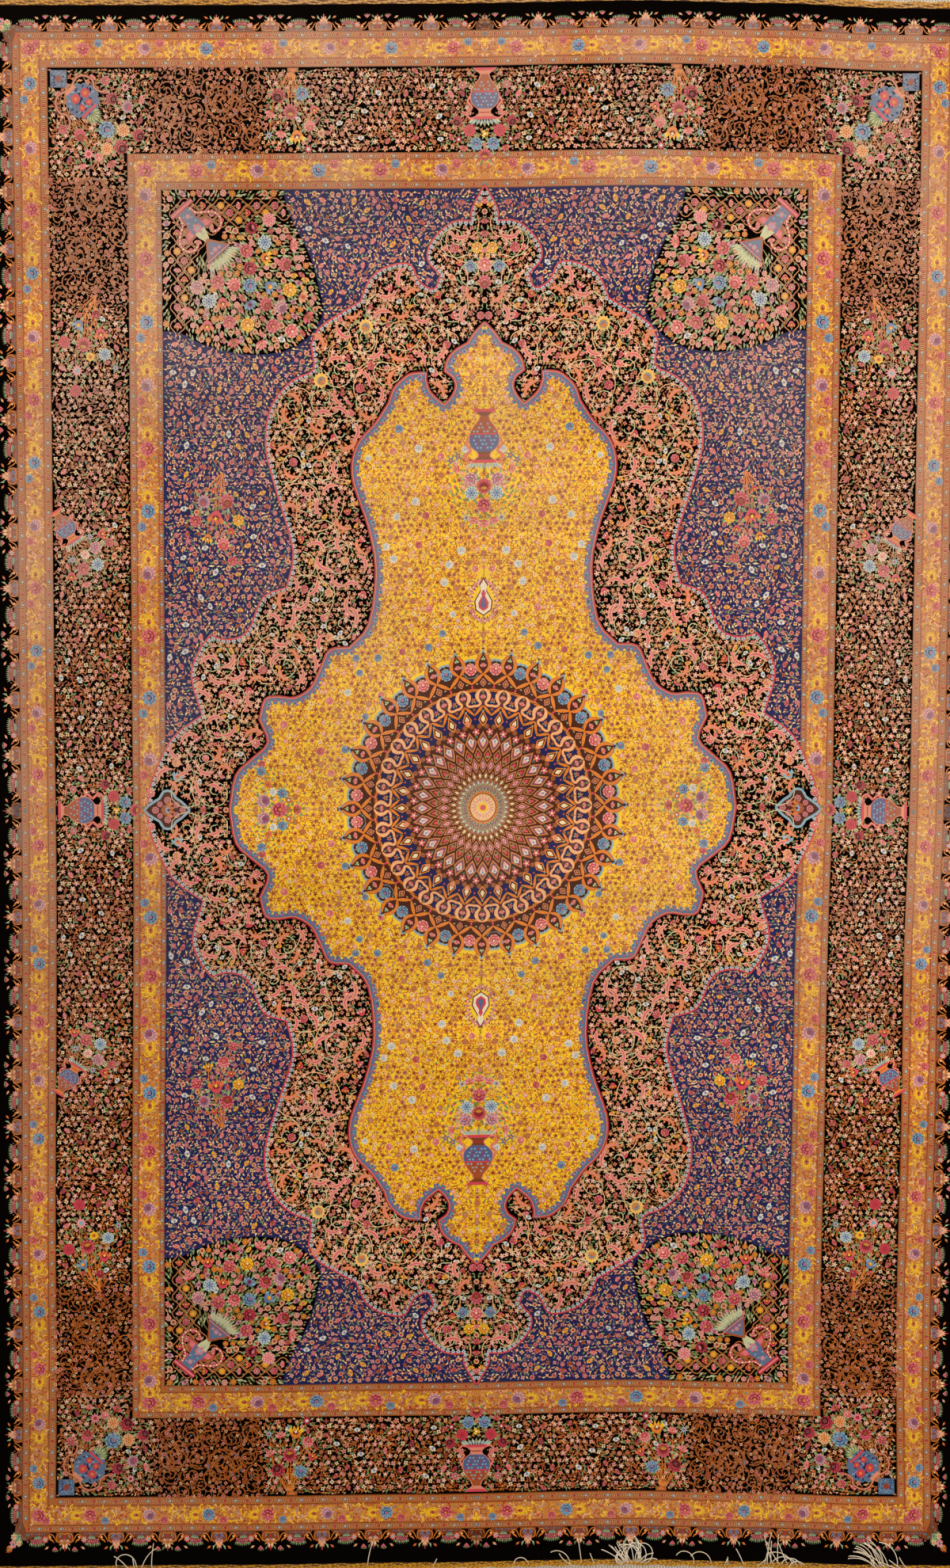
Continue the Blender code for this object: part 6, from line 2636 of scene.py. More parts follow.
class Nodes:
    """Small helper that lays out and links shader nodes."""

    def __init__(self, tree: bpy.types.NodeTree) -> None:
        """Works on a node tree."""
        self.tree = tree

    def add(self, kind: str, values: dict[str | int, object] | None = None,
            **settings: object) -> bpy.types.Node:
        """Adds a node.

        Args:
            kind: Its type.
            values: Values or sockets for its inputs, by name or number.
            settings: Its own properties.

        Returns:
            The node.
        """
        node = self.tree.nodes.new(kind)
        for name, value in settings.items():
            setattr(node, name, value)
        for key, value in (values or {}).items():
            if isinstance(value, bpy.types.NodeSocket):
                self.tree.links.new(value, node.inputs[key])
            else:
                node.inputs[key].default_value = value
        return node

    def math(self, operation: str, first: object, second: object = 0.0) -> bpy.types.NodeSocket:
        """Adds a math node.

        Args:
            operation: Its operation.
            first: Its first value or socket.
            second: Its second value or socket.

        Returns:
            Its result.
        """
        return self.add("ShaderNodeMath", {0: first, 1: second}, operation=operation).outputs[0]

    def spread(self, value: bpy.types.NodeSocket, low: float, high: float, first: float = 0.0,
               last: float = 1.0) -> bpy.types.NodeSocket:
        """Maps a value from one range to another, held at its ends.

        Args:
            value: The value.
            low: Where the first range starts.
            high: Where it ends.
            first: Where the second range starts.
            last: Where it ends.

        Returns:
            The result.
        """
        return self.add("ShaderNodeMapRange", {0: value, 1: low, 2: high, 3: first, 4: last}).outputs[0]


def new_group(name: str, inputs: dict[str, tuple[str, object]],
              outputs: dict[str, str]) -> bpy.types.NodeTree:
    """Starts a shader node group.

    Args:
        name: Its name.
        inputs: Socket type and value of each input.
        outputs: Socket type of each output.

    Returns:
        The group, with its input and output nodes.
    """
    tree = bpy.data.node_groups.new(name, "ShaderNodeTree")
    for label, (kind, value) in inputs.items():
        tree.interface.new_socket(name=label, in_out="INPUT", socket_type=kind).default_value = value
    for label, kind in outputs.items():
        tree.interface.new_socket(name=label, in_out="OUTPUT", socket_type=kind)
    tree.nodes.new("NodeGroupInput")
    tree.nodes.new("NodeGroupOutput")
    return tree


class Effects:
    """The shared shader effects."""

    def __init__(self) -> None:
        """Builds them."""
        self.pile = self.build_pile()
        self.twist = self.build_twist()

    @staticmethod
    def build_pile() -> bpy.types.NodeTree:
        """Knotted silk: grain of the knots, rows, uneven dye, nap patches that vary the roughness, and a painted
        sheen.

        Returns:
            The group, which gives colour, roughness and height.
        """
        tree = new_group("silk_pile", {
            "Color": ("NodeSocketColor", (0.5, 0.5, 0.5, 1.0)),
            "Grain": ("NodeSocketFloat", 0.22),
            "Abrash": ("NodeSocketFloat", 0.16),
            # The two amounts of painted sheen: one everywhere in patches, one more towards the far end and the
            # sides.
            "Painted_Sheen": ("NodeSocketFloat", 0.1),
            "Painted_Far_Sheen": ("NodeSocketFloat", 0.3),
        }, {"Color": "NodeSocketColor", "Roughness": "NodeSocketFloat", "Height": "NodeSocketFloat"})
        nodes = Nodes(tree)
        given, made = tree.nodes["Group Input"], tree.nodes["Group Output"]
        place = nodes.add("ShaderNodeTexCoord").outputs["Object"]
        rows = nodes.add("ShaderNodeMapping", {"Vector": place, "Scale": (520.0, 700.0, 40.0)}).outputs[0]
        knots = nodes.add("ShaderNodeTexNoise", {"Vector": rows, "Scale": 1.0, "Detail": 1.5}).outputs["Fac"]
        bands = nodes.add("ShaderNodeMapping", {"Vector": place, "Scale": (0.7, 9.0, 1.0)}).outputs[0]
        abrash = nodes.add("ShaderNodeTexNoise",
                           {"Vector": bands, "Scale": 1.0, "Detail": 2.0}).outputs["Fac"]
        patches = nodes.add("ShaderNodeMapping", {"Vector": place, "Scale": (5.0, 2.2, 1.0)}).outputs[0]
        brushed_nap_and_sheen = nodes.add("ShaderNodeTexNoise",
                            {"Vector": patches, "Scale": 1.0, "Detail": 3.0}).outputs["Fac"]
        grain = nodes.math("MULTIPLY", nodes.spread(knots, 0.3, 0.7, -1.0, 1.0), given.outputs["Grain"])
        slow = nodes.math("MULTIPLY", nodes.spread(abrash, 0.3, 0.7, -1.0, 1.0), given.outputs["Abrash"])
        value = nodes.math("ADD", nodes.math("ADD", grain, slow), 1.0)
        shaded = nodes.add("ShaderNodeHueSaturation", {"Color": given.outputs["Color"], "Value": value})
        # Painted sheen: a pale tint mixed into the yarn colour in the nap patches, little on dark yarns, more
        # towards the far end and along the sides.
        light = nodes.add("ShaderNodeRGBToBW", {"Color": given.outputs["Color"]}).outputs[0]
        painted_patch_sheen = nodes.math("MULTIPLY", nodes.spread(light, 0.001, 0.08),
                         nodes.spread(brushed_nap_and_sheen, 0.38, 0.72, 0.2, 1.0))
        spot = nodes.add("ShaderNodeSeparateXYZ", {0: place}).outputs
        sides = nodes.spread(nodes.math("ABSOLUTE", spot[0]), 0.4, 0.8, 0.0, 0.9)
        low = nodes.math("MULTIPLY", sides, nodes.spread(spot[1], -0.9, 0.3))
        painted_sheen_mask = nodes.math("MINIMUM", nodes.math("ADD", nodes.spread(spot[1], -0.5, 1.25), low), 1.0)
        share = nodes.math("ADD", given.outputs["Painted_Sheen"], nodes.math("MULTIPLY", painted_sheen_mask, given.outputs["Painted_Far_Sheen"]))
        bloom = nodes.math("MULTIPLY", painted_patch_sheen, share)
        # The pale tint of the painted sheen.
        mixed = nodes.add("ShaderNodeMix", {0: bloom, 6: shaded.outputs[0], 7: (0.62, 0.5, 0.41, 1.0)},
                          data_type="RGBA")
        tree.links.new(mixed.outputs[2], made.inputs["Color"])
        rough = nodes.spread(nodes.math("ADD", brushed_nap_and_sheen, nodes.math("MULTIPLY", knots, 0.3)), 0.35, 0.95,
                             0.62, 0.46)
        tree.links.new(rough, made.inputs["Roughness"])
        tree.links.new(knots, made.inputs["Height"])
        return tree

    @staticmethod
    def build_twist() -> bpy.types.NodeTree:
        """Twisted silk thread: fine ply lines with a painted shade in their low parts, darker still in large soft
        patches.

        Returns:
            The group, which gives colour, roughness and height.
        """
        tree = new_group("silk_twist", {
            "Color": ("NodeSocketColor", (0.8, 0.75, 0.6, 1.0)),
            "Shade": ("NodeSocketColor", (0.4, 0.3, 0.2, 1.0)),
            "Plies": ("NodeSocketFloat", 900.0),
        }, {"Color": "NodeSocketColor", "Roughness": "NodeSocketFloat", "Height": "NodeSocketFloat"})
        nodes = Nodes(tree)
        given, made = tree.nodes["Group Input"], tree.nodes["Group Output"]
        place = nodes.add("ShaderNodeTexCoord").outputs["Object"]
        fine = nodes.add("ShaderNodeTexNoise", {"Vector": place, "Scale": given.outputs["Plies"],
                                                "Detail": 2.0})
        dark_patches = nodes.add("ShaderNodeTexNoise", {"Vector": place, "Scale": 24.0, "Detail": 3.0})
        # Painted shade: the Shade colour goes where the ply relief is low, and over large soft patches.
        share = nodes.math("MULTIPLY", fine.outputs["Fac"], dark_patches.outputs["Fac"])
        mixed = nodes.add("ShaderNodeMix", {0: nodes.spread(share, 0.16, 0.42), 6: given.outputs["Shade"],
                                            7: given.outputs["Color"]}, data_type="RGBA")
        tree.links.new(mixed.outputs[2], made.inputs["Color"])
        tree.links.new(nodes.spread(fine.outputs["Fac"], 0.3, 0.7, 0.68, 0.5), made.inputs["Roughness"])
        tree.links.new(fine.outputs["Fac"], made.inputs["Height"])
        return tree


def silk(name: str, effect: bpy.types.NodeTree, given: dict[str, object], relief: float,
         surface: dict[str, float]) -> bpy.types.Material:
    """Makes a material round one of the shared effects.

    Args:
        name: Its name.
        effect: The group of nodes that colours it.
        given: The values of that group's inputs.
        relief: How strongly its height shows.
        surface: The values of the surface's own inputs.

    Returns:
        The material.
    """
    made = bpy.data.materials.new(name)
    made.use_nodes = True
    nodes = Nodes(made.node_tree)
    shader = made.node_tree.nodes["Principled BSDF"]
    group = nodes.add("ShaderNodeGroup", given, node_tree=effect)
    bump = nodes.add("ShaderNodeBump", {"Strength": relief, "Distance": BUMP_DEPTH,
                                        "Height": group.outputs["Height"]})
    for socket, source in (("Base Color", group.outputs["Color"]), ("Roughness", group.outputs["Roughness"]),
                           ("Normal", bump.outputs["Normal"])):
        made.node_tree.links.new(source, shader.inputs[socket])
    for socket, value in surface.items():
        shader.inputs[socket].default_value = value
    return made


@dataclass(frozen=True)
class PileFinish:
    """Cut silk pile that takes its yarn colour from the mesh, with a painted sheen mixed in."""

    name: str
    grain: float = 0.22
    abrash: float = 0.12
    # Painted sheen: this one mixes a pale tint into the yarn colour in patches everywhere, the next adds more
    # towards the far end and the sides.
    bloom: float = 0.07
    painted_far_sheen: float = 0.34
    gloss: float = 0.012

    def material(self, effects: Effects) -> bpy.types.Material:
        """Builds the material.

        Args:
            effects: The shared effects.

        Returns:
            The material.
        """
        made = silk(self.name, effects.pile, {"Grain": self.grain, "Abrash": self.abrash, "Painted_Sheen": self.bloom,
                                              "Painted_Far_Sheen": self.painted_far_sheen}, 0.25, {"Specular IOR Level": self.gloss})
        yarn = Nodes(made.node_tree).add("ShaderNodeAttribute", attribute_name=YARN_ATTRIBUTE)
        group = next(node for node in made.node_tree.nodes if node.type == "GROUP")
        made.node_tree.links.new(yarn.outputs["Color"], group.inputs["Color"])
        return made


@dataclass(frozen=True)
class ThreadFinish:
    """Twisted silk thread, for the fringe, the bindings and the flat-woven ends."""

    name: str
    colour: tuple[int, int, int]
    # The darker colour of the ply's low parts, a painted shade, and of large soft patches.
    shade: tuple[int, int, int]
    plies: float = 900.0
    sheen: float = 0.3

    def material(self, effects: Effects) -> bpy.types.Material:
        """Builds the material.

        Args:
            effects: The shared effects.

        Returns:
            The material.
        """
        given = {"Color": (*linear(self.colour), 1.0), "Shade": (*linear(self.shade), 1.0),
                 "Plies": self.plies}
        return silk(self.name, effects.twist, given, 0.4,
                    {"Sheen Weight": self.sheen, "Specular IOR Level": 0.35})


def mesh_piece(name: str, corners: np.ndarray, faces: np.ndarray, material: bpy.types.Material) -> bpy.types.Object:
    """Makes a piece that rides on the rug.

    Args:
        name: Its name.
        corners: Its points, in metres.
        faces: Its faces, all with the same number of corners.
        material: Its material.

    Returns:
        The object.
    """
    mesh = bpy.data.meshes.new(name)
    mesh.vertices.add(len(corners))
    mesh.vertices.foreach_set("co", np.ascontiguousarray(corners, np.float32).ravel())
    mesh.loops.add(faces.size)
    mesh.loops.foreach_set("vertex_index", np.ascontiguousarray(faces, np.int32).ravel())
    mesh.polygons.add(len(faces))
    mesh.polygons.foreach_set("loop_start", np.arange(len(faces), dtype=np.int32) * faces.shape[1])
    mesh.update(calc_edges=True)
    mesh.materials.append(material)
    made = bpy.data.objects.new(name, mesh)
    bpy.context.collection.objects.link(made)
    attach(made, BODY)
    return made


def paint(piece: bpy.types.Object, colours: np.ndarray) -> None:
    """Gives the points of a piece their yarn colours.

    Args:
        piece: The piece.
        colours: The linear colour of each point.
    """
    layer = piece.data.color_attributes.new(YARN_ATTRIBUTE, "FLOAT_COLOR", "POINT")
    rgba = np.concatenate([colours, np.ones((len(colours), 1))], axis=1).astype(np.float32)
    layer.data.foreach_set("color", rgba.ravel())


def planar_map(piece: bpy.types.Object, corners: np.ndarray, faces: np.ndarray) -> None:
    """Gives a piece a flat map seen from above.

    Args:
        piece: The piece.
        corners: Its points.
        faces: Its faces.
    """
    low, high = corners[:, :2].min(0), corners[:, :2].max(0)
    share = 0.004 + 0.992 * (corners[:, :2] - low) / (high - low)
    layer = piece.data.uv_layers.new(name=BAKE_UV)
    layer.data.foreach_set("uv", np.ascontiguousarray(share[faces.ravel()], np.float32).ravel())


@dataclass
class Pile:
    """The coloured surface of the pile, in pieces of a size that keeps its drawing sharp."""

    columns: int = 3
    rows: int = 4

    def build(self, pattern: Pattern, material: bpy.types.Material) -> list[bpy.types.Object]:
        """Builds its pieces.

        Args:
            pattern: The drawn pattern.
            material: The pile's material.

        Returns:
            The pieces.
        """
        made = []
        for zone, (corners, colours, triangles) in pattern.pieces().items():
            middle = corners[triangles].mean(1)
            across = (middle[:, 0] / HALF_WIDTH + 1) / 2 * self.columns
            along = (middle[:, 1] / HALF_PILE_LENGTH + 1) / 2 * self.rows
            column = np.clip(across.astype(int), 0, self.columns - 1)
            row = np.clip(along.astype(int), 0, self.rows - 1)
            for number in np.unique(row * self.columns + column):
                kept = triangles[row * self.columns + column == number]
                used, faces = np.unique(kept, return_inverse=True)
                faces = faces.reshape(-1, 3)
                name = f"pile_{zone.value}_{number // self.columns + 1}_{number % self.columns + 1}"
                piece = mesh_piece(name, corners[used], faces, material)
                paint(piece, colours[used])
                planar_map(piece, corners[used], faces)
                made.append(piece)
        return made


@dataclass
class Foundation:
    """The woven cloth under the pile's surface, with its flat-woven ends."""

    columns: int = CLOTH_COLUMNS * 3
    rows: int = 120
    skin: float = 0.0003
    ledge: float = 0.0012

    def build(self, material: bpy.types.Material) -> bpy.types.Object:
        """Builds it as one closed sheet.

        Args:
            material: Its material.

        Returns:
            The piece.
        """
        across = np.linspace(-HALF_WIDTH, HALF_WIDTH, self.columns + 1)
        along = np.linspace(-HALF_PILE_LENGTH, HALF_PILE_LENGTH, self.rows + 1)
        rows = [(-HALF_PILE_LENGTH - END_BAND_WIDTH, False), (-HALF_PILE_LENGTH - self.ledge, False)]
        rows += [(y, True) for y in along]
        rows += [(HALF_PILE_LENGTH + self.ledge, False), (HALF_PILE_LENGTH + END_BAND_WIDTH, False)]
        tops = []
        for y, pile in rows:
            line = np.full_like(across, y)
            x = across + lean(line)
            woven = row_y(across, line)
            height = PILE_THICKNESS + swell(x, woven) - self.skin
            if not pile:
                height = np.full_like(x, END_BAND_THICKNESS)
            tops.append(np.stack([x, woven, height], axis=1))
        top = np.array(tops)
        bottom = top.copy()
        bottom[..., 2] = 0.0
        count, width = top.shape[0], top.shape[1]
        corners = np.concatenate([top.reshape(-1, 3), bottom.reshape(-1, 3)])
        shift = count * width
        number = np.arange(count * width).reshape(count, width)
        a, b, c, d = number[:-1, :-1], number[:-1, 1:], number[1:, 1:], number[1:, :-1]
        faces = [np.stack([a, b, c, d], axis=2).reshape(-1, 4),
                 np.stack([d, c, b, a], axis=2).reshape(-1, 4) + shift]
        rim = np.concatenate([number[0, :], number[1:, -1], number[-1, -2::-1], number[-2:0:-1, 0]])
        following = np.roll(rim, -1)
        faces.append(np.stack([following, rim, rim + shift, following + shift], axis=1))
        made = mesh_piece("rug_foundation", corners, np.concatenate(faces), material)
        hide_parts("rug_cloth")
        return made


@dataclass
class SideBindings:
    """Black silk overcast along both long sides."""

    wrap: float = 0.0042
    sides: int = 8

    def build(self, material: bpy.types.Material) -> list[bpy.types.Object]:
        """Builds both.

        Args:
            material: Their material.

        Returns:
            The pieces.
        """
        made = []
        for side, label in ((-1, "left"), (1, "right")):
            count = int(2 * HALF_PILE_LENGTH / self.wrap)
            y = np.linspace(-HALF_PILE_LENGTH, HALF_PILE_LENGTH, 2 * count + 1)
            across = np.full_like(y, side * HALF_WIDTH)
            middle = across + lean(y) + side * (BINDING_GAP + BINDING_WIDTH / 2)
            woven = row_y(across, y)
            swollen = np.where(np.arange(len(y)) % 2 == 0, 1.0, 0.86)
            swollen[[0, -1]] = 0.6
            angles = (np.arange(self.sides) + 0.5) * math.tau / self.sides
            fit = 1.0 / math.cos(math.pi / self.sides)
            x = middle[:, None] + swollen[:, None] * np.cos(angles) * fit * BINDING_WIDTH / 2
            z = BINDING_HEIGHT / 2 + swollen[:, None] * np.sin(angles) * fit * BINDING_HEIGHT / 2
            slant = woven[:, None] + 0.0006 * np.cos(angles)
            corners = np.stack([x, slant, np.maximum(z, 0.0)], axis=2).reshape(-1, 3)
            number = np.arange(len(y) * self.sides).reshape(len(y), self.sides)
            after = np.roll(number, -1, axis=1)
            faces = np.stack([number[:-1], number[1:], after[1:], after[:-1]], axis=2).reshape(-1, 4)
            caps = []
            for ring, way in ((number[0], 1), (number[-1], -1)):
                caps += [[ring[0], *ring[[1, 2, 3]]][::way], [ring[0], *ring[[3, 4, 5]]][::way],
                         [ring[0], *ring[[5, 6, 7]]][::way]]
            faces = np.concatenate([faces, np.array(caps)])
            piece = mesh_piece(f"overcasting_{label}", corners, faces, material)
            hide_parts(f"side_binding_{label}")
            made.append(piece)
        return made


@dataclass(frozen=True)
class Fold:
    """Warp ends folded back over the near edge, from the first to the last. Millimetres and degrees."""

    x: float
    count: int
    spacing: float
    heading: tuple[float, float]
    turn: tuple[float, float]
    length: tuple[float, float]


FOLDS = (
    Fold(-578, 2, 6, (-35, -8), (-25, -8), (36, 22)),
    Fold(-570, 1, 0, (12, 12), (-205, -205), (64, 64)),
    Fold(-561, 2, 18, (20, 4), (45, 12), (46, 46)),
    Fold(-187, 1, 0, (5, 5), (20, 20), (56, 56)),
    Fold(-80, 1, 0, (25, 25), (0, 0), (18, 18)),
    Fold(80, 1, 0, (-5, -5), (-170, -170), (38, 38)),
    Fold(149, 2, 4, (0, -55), (-110, 30), (46, 30)),
    Fold(168, 2, 22, (-1, -20), (0, 5), (40, 22)),
    Fold(236, 17, 1.9, (-70, 50), (170, -190), (30, 62)),
    Fold(240, 9, 3.2, (-64, 30), (-26, 90), (46, 30)),
    Fold(352, 2, 30, (10, -8), (-155, -140), (48, 50)),
    Fold(403, 2, 6, (12, -8), (0, 0), (15, 17)),
    Fold(437, 1, 0, (-20, -20), (-10, -10), (34, 34)),
    Fold(456, 4, 12, (55, -12), (0, 10), (22, 54)),
    Fold(474, 4, 12, (-8, -15), (16, 4), (58, 44)),
    Fold(520, 4, 6, (0, -42), (-95, -150), (58, 38)),
    Fold(648, 10, 2.8, (-16, -28), (-74, -40), (52, 60)),
    Fold(664, 3, 12, (-10, 8), (-8, -90), (54, 62)),
    Fold(696, 3, 8, (-48, -60), (-10, 30), (36, 30)),
)


def tubes(paths: np.ndarray, radii: np.ndarray, sides: int) -> tuple[np.ndarray, np.ndarray]:
    """Round threads along paths.

    Args:
        paths: For each thread its points, in metres.
        radii: For each thread its radius at each point.
        sides: How many sides a thread has.

    Returns:
        The corners and the faces.
    """
    along = np.gradient(paths, axis=1)
    along /= np.linalg.norm(along, axis=2, keepdims=True) + 1e-12
    flat = np.cross(along, (0.0, 0.0, 1.0))
    flat /= np.linalg.norm(flat, axis=2, keepdims=True) + 1e-12
    up = np.cross(flat, along)
    angles = (np.arange(sides) + 0.5) * math.tau / sides
    ring = flat[:, :, None] * np.cos(angles)[:, None] + up[:, :, None] * np.sin(angles)[:, None]
    corners = paths[:, :, None] + ring * radii[:, :, None, None]
    threads, steps = paths.shape[:2]
    number = np.arange(threads * steps * sides).reshape(threads, steps, sides)
    after = np.roll(number, -1, axis=2)
    faces = np.stack([number[:, :-1], after[:, :-1], after[:, 1:], number[:, 1:]], axis=3).reshape(-1, 4)
    return corners.reshape(-1, 3), faces


def scatter(count: int, seed: float) -> np.ndarray:
    """Evenly scattered shares from -1 to 1, the same on every run."""
    return ((np.arange(count) + 1) * (GOLDEN + seed) * 7.31) % 1.0 * 2.0 - 1.0


@dataclass
class Fringe:
    """The loose silk warp ends at both ends of the rug."""

    pitch: float = 0.0048
    length: float = 0.057
    radius: float = 0.00078
    steps: int = 6
    fold_steps: int = 16
    fold_radius: float = 0.00074
    rest: float = 0.0064
    bunch: float = 4.4
    margin: float = 0.004

    def build(self, material: bpy.types.Material) -> list[bpy.types.Object]:
        """Builds both.

        Args:
            material: Their material.

        Returns:
            The pieces.
        """
        made = []
        for end, label in ((1, "top"), (-1, "bottom")):
            parts = [self.heading(end), self.straight(end)]
            if end < 0:
                parts.append(self.folded())
            starts = np.cumsum([0] + [len(corners) for corners, _ in parts[:-1]])
            corners = np.concatenate([corners for corners, _ in parts])
            faces = np.concatenate([faces + start for (_, faces), start in zip(parts, starts)])
            piece = mesh_piece(f"warp_ends_{label}", corners, faces, material)
            planar_map(piece, corners, faces)
            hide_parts(f"fringe_{label}")
            made.append(piece)
        return made

    @staticmethod
    def edge(x: np.ndarray, end: int) -> np.ndarray:
        """Where the flat-woven end stops.

        Args:
            x: Places across the rug.
            end: 1 for the far end, -1 for the near one.

        Returns:
            The places along the rug.
        """
        line = np.full_like(x, end * (HALF_PILE_LENGTH + END_BAND_WIDTH))
        return row_y(x - lean(line), line)

    def heading(self, end: int) -> tuple[np.ndarray, np.ndarray]:
        """The knotted line that the ends hang from.

        Args:
            end: 1 for the far end, -1 for the near one.

        Returns:
            The corners and the faces.
        """
        drift = lean(np.array([end * HALF_PILE_LENGTH]))[0]
        x = np.linspace(-HALF_WIDTH + drift, HALF_WIDTH + drift, 321)
        bumps = np.where(np.arange(len(x)) % 2 == 0, 0.0013, 0.0010)
        path = np.stack([x, self.edge(x, end) + end * 0.0012, bumps + 0.0001], axis=1)
        return tubes(path[None], bumps[None], 6)

    def straight(self, end: int) -> tuple[np.ndarray, np.ndarray]:
        """The ends that lie on the floor.

        Args:
            end: 1 for the far end, -1 for the near one.

        Returns:
            The corners and the faces.
        """
        drift = lean(np.array([end * HALF_PILE_LENGTH]))[0]
        count = int(2 * (HALF_WIDTH - self.margin) / self.pitch)
        x = np.linspace(-HALF_WIDTH + self.margin, HALF_WIDTH - self.margin, count) + drift
        share = np.linspace(0.0, 1.0, self.steps)
        bunch = np.floor(np.arange(count) / self.bunch)
        gather = (np.round((bunch + 0.5) * self.bunch) - np.arange(count)) * self.pitch * 0.45
        sway = 0.004 * np.sin(bunch * 1.7) + 0.0022 * scatter(count, 0.1 * end) + gather
        ripple = 0.0012 * scatter(count, 0.3)
        length = self.length * (0.9 + 0.1 * scatter(count, 0.2))
        across = x[:, None] + sway[:, None] * share ** 1.4 + ripple[:, None] * np.sin(share * 6.0) * share
        along = self.edge(x, end)[:, None] + end * (0.0016 + length[:, None] * share)
        odd = (np.arange(count) % 2)[:, None]
        height = self.radius + 0.0010 * np.clip(1 - share * 3, 0, 1) + 0.0007 * odd
        height = np.broadcast_to(height, across.shape)
        radii = np.broadcast_to(self.radius * (1.0 - 0.35 * share), across.shape)
        return tubes(np.stack([across, along, height], axis=2), radii, 4)

    def folded(self) -> tuple[np.ndarray, np.ndarray]:
        """The ends that are folded back over the near edge.

        Returns:
            The corners and the faces.
        """
        share = np.linspace(0.0, 1.0, self.fold_steps)
        paths = []
        for fold in FOLDS:
            for number in range(fold.count):
                part = number / max(1, fold.count - 1)
                wild = 0.12 * math.sin(7.3 * number + fold.x) * min(fold.count - 1, 3)
                spans = (fold.heading, fold.turn, fold.length)
                heading, turn, length = (first + (last - first) * part for first, last in spans)
                angle = np.radians(heading + turn * share ** 1.3) + wild
                step = length * MM / (self.fold_steps - 1)
                x = (fold.x + fold.spacing * number) * MM + np.cumsum(np.sin(angle)) * step
                root = self.edge(np.array([fold.x * MM]), -1)[0] - 0.0008
                y = root + np.cumsum(np.cos(angle)) * step
                height = np.minimum(0.0018 + share * length * MM * 0.5, self.rest + 0.0004 * (number % 4))
                paths.append(np.stack([x, y, height], axis=1))
        paths = np.array(paths)
        radii = np.full(paths.shape[:2], self.fold_radius)
        return tubes(paths, radii, 5)


@dataclass
class EndBraids:
    """Two gold cords twined along each flat-woven end."""

    pitch: float = 0.0026
    wave: float = 0.046
    swing: float = 0.0019
    loop: tuple[float, float, float] = (0.0025, 0.0016, 0.0012)
    lines: tuple[float, float] = (0.0040, 0.0090)
    margin: float = 0.004

    def build(self, material: bpy.types.Material) -> list[bpy.types.Object]:
        """Builds them.

        Args:
            material: The pile's material.

        Returns:
            The pieces.
        """
        made = []
        for end, label in ((1, "top"), (-1, "bottom")):
            corners, colours = [], []
            gold = tinted(dyed("YELLOW GOLD AMBER"))[0]
            for number, cord in enumerate((-1, 1, -1, 1)):
                across = np.arange(-HALF_WIDTH + self.margin, HALF_WIDTH - self.margin, self.pitch)
                line = np.full_like(across, end * (HALF_PILE_LENGTH + self.lines[number // 2]))
                phase = across / self.wave * math.tau + number
                away = cord * self.swing * np.sin(phase) * (1.0 if number < 2 else 0.4)
                x, y = across + lean(line), row_y(across, line) + away + cord * 0.0008
                z = END_BAND_THICKNESS + 0.0003 * cord * np.cos(phase) + 0.0003
                slant = math.radians(32) * cord + 0.2 * np.cos(phase) * cord
                length, width, height = self.loop
                cosine, sine = np.cos(slant), np.sin(slant)
                shape = ((-length, 0, 0), (0, -width, 0), (length, 0, 0), (0, width, 0), (0, 0, height))
                for dx, dy, dz in shape:
                    spot = [x + dx * cosine - dy * sine, y + dx * sine + dy * cosine, z + dz]
                    corners.append(np.stack(spot, 1))
                yarns = gold[(np.arange(len(across)) + cord) % 3]
                # Painted shade: the four low corners of each loop take the yarn at 0.4, its top the full yarn.
                colours += [yarns * 0.4] * 4 + [yarns]
            count = len(corners[0])
            points, yarn_with_painted_shade = (np.concatenate([np.stack(rows[5 * n:5 * n + 5], axis=1).reshape(-1, 3)
                                             for n in range(4)]) for rows in (corners, colours))
            sides = np.array([(0, 1, 4), (1, 2, 4), (2, 3, 4), (3, 0, 4)])
            faces = (sides[None] + np.arange(4 * count)[:, None, None] * 5).reshape(-1, 3)
            piece = mesh_piece(f"end_braid_{label}", points, faces, material)
            paint(piece, yarn_with_painted_shade)
            planar_map(piece, points, faces)
            made.append(piece)
        return made


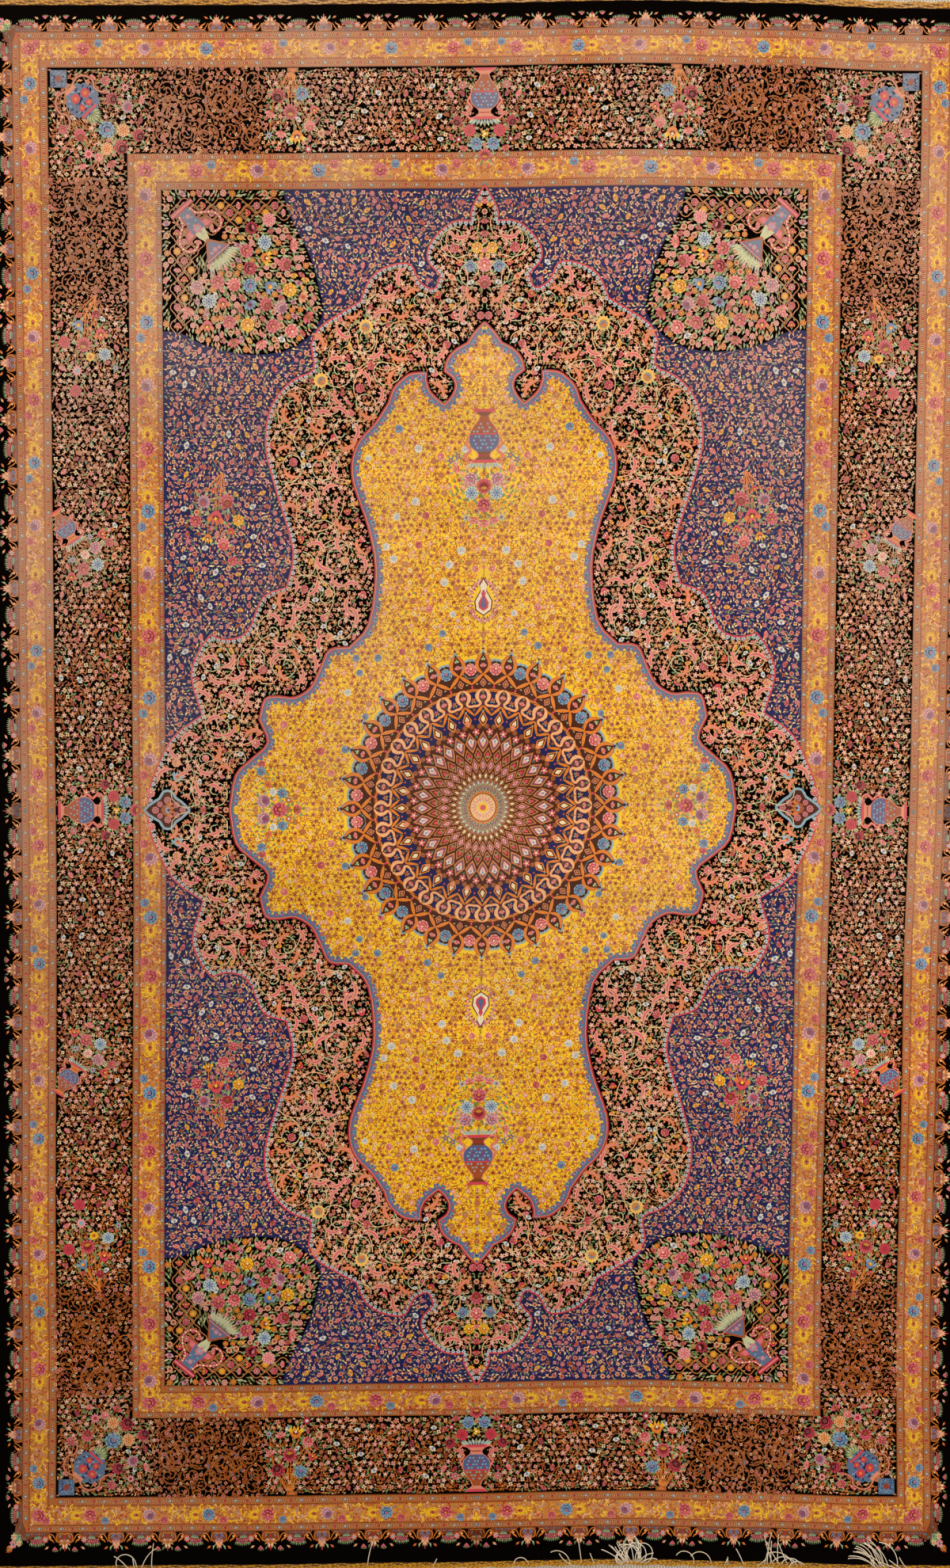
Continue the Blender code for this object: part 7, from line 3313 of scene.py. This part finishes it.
@dataclass
class Studio:
    """The floor, the camera and the lights."""

    distance: float = 3.2
    tilt_rate: float = 0.02034
    aim: tuple[float, float] = (-0.0088, 0.0316)
    view_height: float = 2.5245
    sensor: float = 36.0

    def build(self) -> None:
        """Sets the scene up."""
        self.camera()
        self.floor()
        self.lights()
        bpy.context.scene.view_settings.view_transform = "Standard"

    def camera(self) -> None:
        """Places the camera where the photograph's stood."""
        tilt = math.asin(self.tilt_rate * self.distance)
        data = bpy.data.cameras.new("camera")
        data.sensor_width = self.sensor
        data.lens = self.sensor / 2 / (self.view_height / 2 / self.distance)
        data.clip_end = 50.0
        made = bpy.data.objects.new("camera", data)
        bpy.context.collection.objects.link(made)
        back = Vector((0.0, math.sin(tilt), math.cos(tilt)))
        made.location = Vector((*self.aim, PILE_THICKNESS)) + back * self.distance
        made.rotation_euler = (-tilt, 0.0, 0.0)
        bpy.context.scene.camera = made

    @staticmethod
    def floor() -> None:
        """Lays a plain pale floor."""
        bpy.ops.object.select_all(action="DESELECT")
        bpy.ops.mesh.primitive_plane_add(size=14.0, location=(0.0, 0.0, 0.0))
        made = bpy.context.object
        made.name = "studio_floor"
        material = bpy.data.materials.new("pale_floor")
        material.use_nodes = True
        nodes = Nodes(material.node_tree)
        shader = material.node_tree.nodes["Principled BSDF"]
        noise = nodes.add("ShaderNodeTexNoise", {"Scale": 3.0, "Detail": 4.0})
        mixed = nodes.add("ShaderNodeMix", {0: noise.outputs["Fac"], 6: (0.60, 0.58, 0.55, 1.0),
                                            7: (0.66, 0.64, 0.61, 1.0)}, data_type="RGBA")
        material.node_tree.links.new(mixed.outputs[2], shader.inputs["Base Color"])
        shader.inputs["Roughness"].default_value = 0.7
        made.data.materials.append(material)
        made.location.z = -0.0005

    @staticmethod
    def lights() -> None:
        """Hangs the soft lights."""
        for name, place, aim, size, power, colour in (
            ("key_light", (-2.0, 3.0, 2.4), (-0.3, 0.7, 0.0), 1.8, 80.0, (1.0, 0.88, 0.74)),
            ("side_light", (2.8, 0.4, 2.1), (0.5, 0.2, 0.0), 1.8, 60.0, (1.0, 0.9, 0.78)),
            ("top_light", (0.5, 0.3, 4.2), (0.1, 0.1, 0.0), 2.6, 34.0, (1.0, 0.93, 0.84)),
        ):
            data = bpy.data.lights.new(name, "AREA")
            data.shape = "SQUARE"
            data.size, data.energy, data.color = size, power, colour
            made = bpy.data.objects.new(name, data)
            bpy.context.collection.objects.link(made)
            made.location = place
            made.rotation_euler = (Vector(aim) - Vector(place)).to_track_quat("-Z", "Y").to_euler()
        world = bpy.data.worlds.new("studio")
        world.use_nodes = True
        world.node_tree.nodes["Background"].inputs[0].default_value = (0.95, 0.93, 0.9, 1.0)
        world.node_tree.nodes["Background"].inputs[1].default_value = 0.3
        bpy.context.scene.world = world


PILE = PileFinish("silk_pile")
FOUNDATION = ThreadFinish("silk_foundation", (150, 96, 40), (70, 40, 22), 700.0)
OVERCAST = ThreadFinish("black_silk_overcasting", (30, 22, 20), (10, 7, 6), 800.0)
WARP = ThreadFinish("cream_silk_warp", (255, 246, 228), (240, 218, 184), 1100.0)


def draw_pattern() -> Pattern:
    """Draws every part of the pile.

    Returns:
        The pattern.
    """
    pattern = Pattern()
    for part in (EdgeBand(), BrownStripes(), GoldGuards(), MainBorder(), NavyField(), FieldCorners(),
                 Surround(), GoldMedallion(), Rosette()):
        before = pattern.size()
        part.draw(pattern)
        LOG.info("%s: %d triangles", type(part).__name__, pattern.size() - before)
    return pattern


def main() -> None:
    """Builds the rug and its studio."""
    logging.basicConfig(level=logging.INFO, format="%(name)s: %(message)s")
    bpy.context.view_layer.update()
    studio = Studio()
    studio.build()
    effects = Effects()
    pieces = Pile().build(draw_pattern(), PILE.material(effects))
    cloth = Foundation().build(FOUNDATION.material(effects))
    bindings = SideBindings().build(OVERCAST.material(effects))
    fringes = Fringe().build(WARP.material(effects))
    braids = EndBraids().build(pieces[0].active_material)
    for piece in [*pieces, cloth, *bindings, *fringes, *braids]:
        LOG.info("%s: %d faces", piece.name, len(piece.data.polygons))


if __name__ == "__main__":
    main()
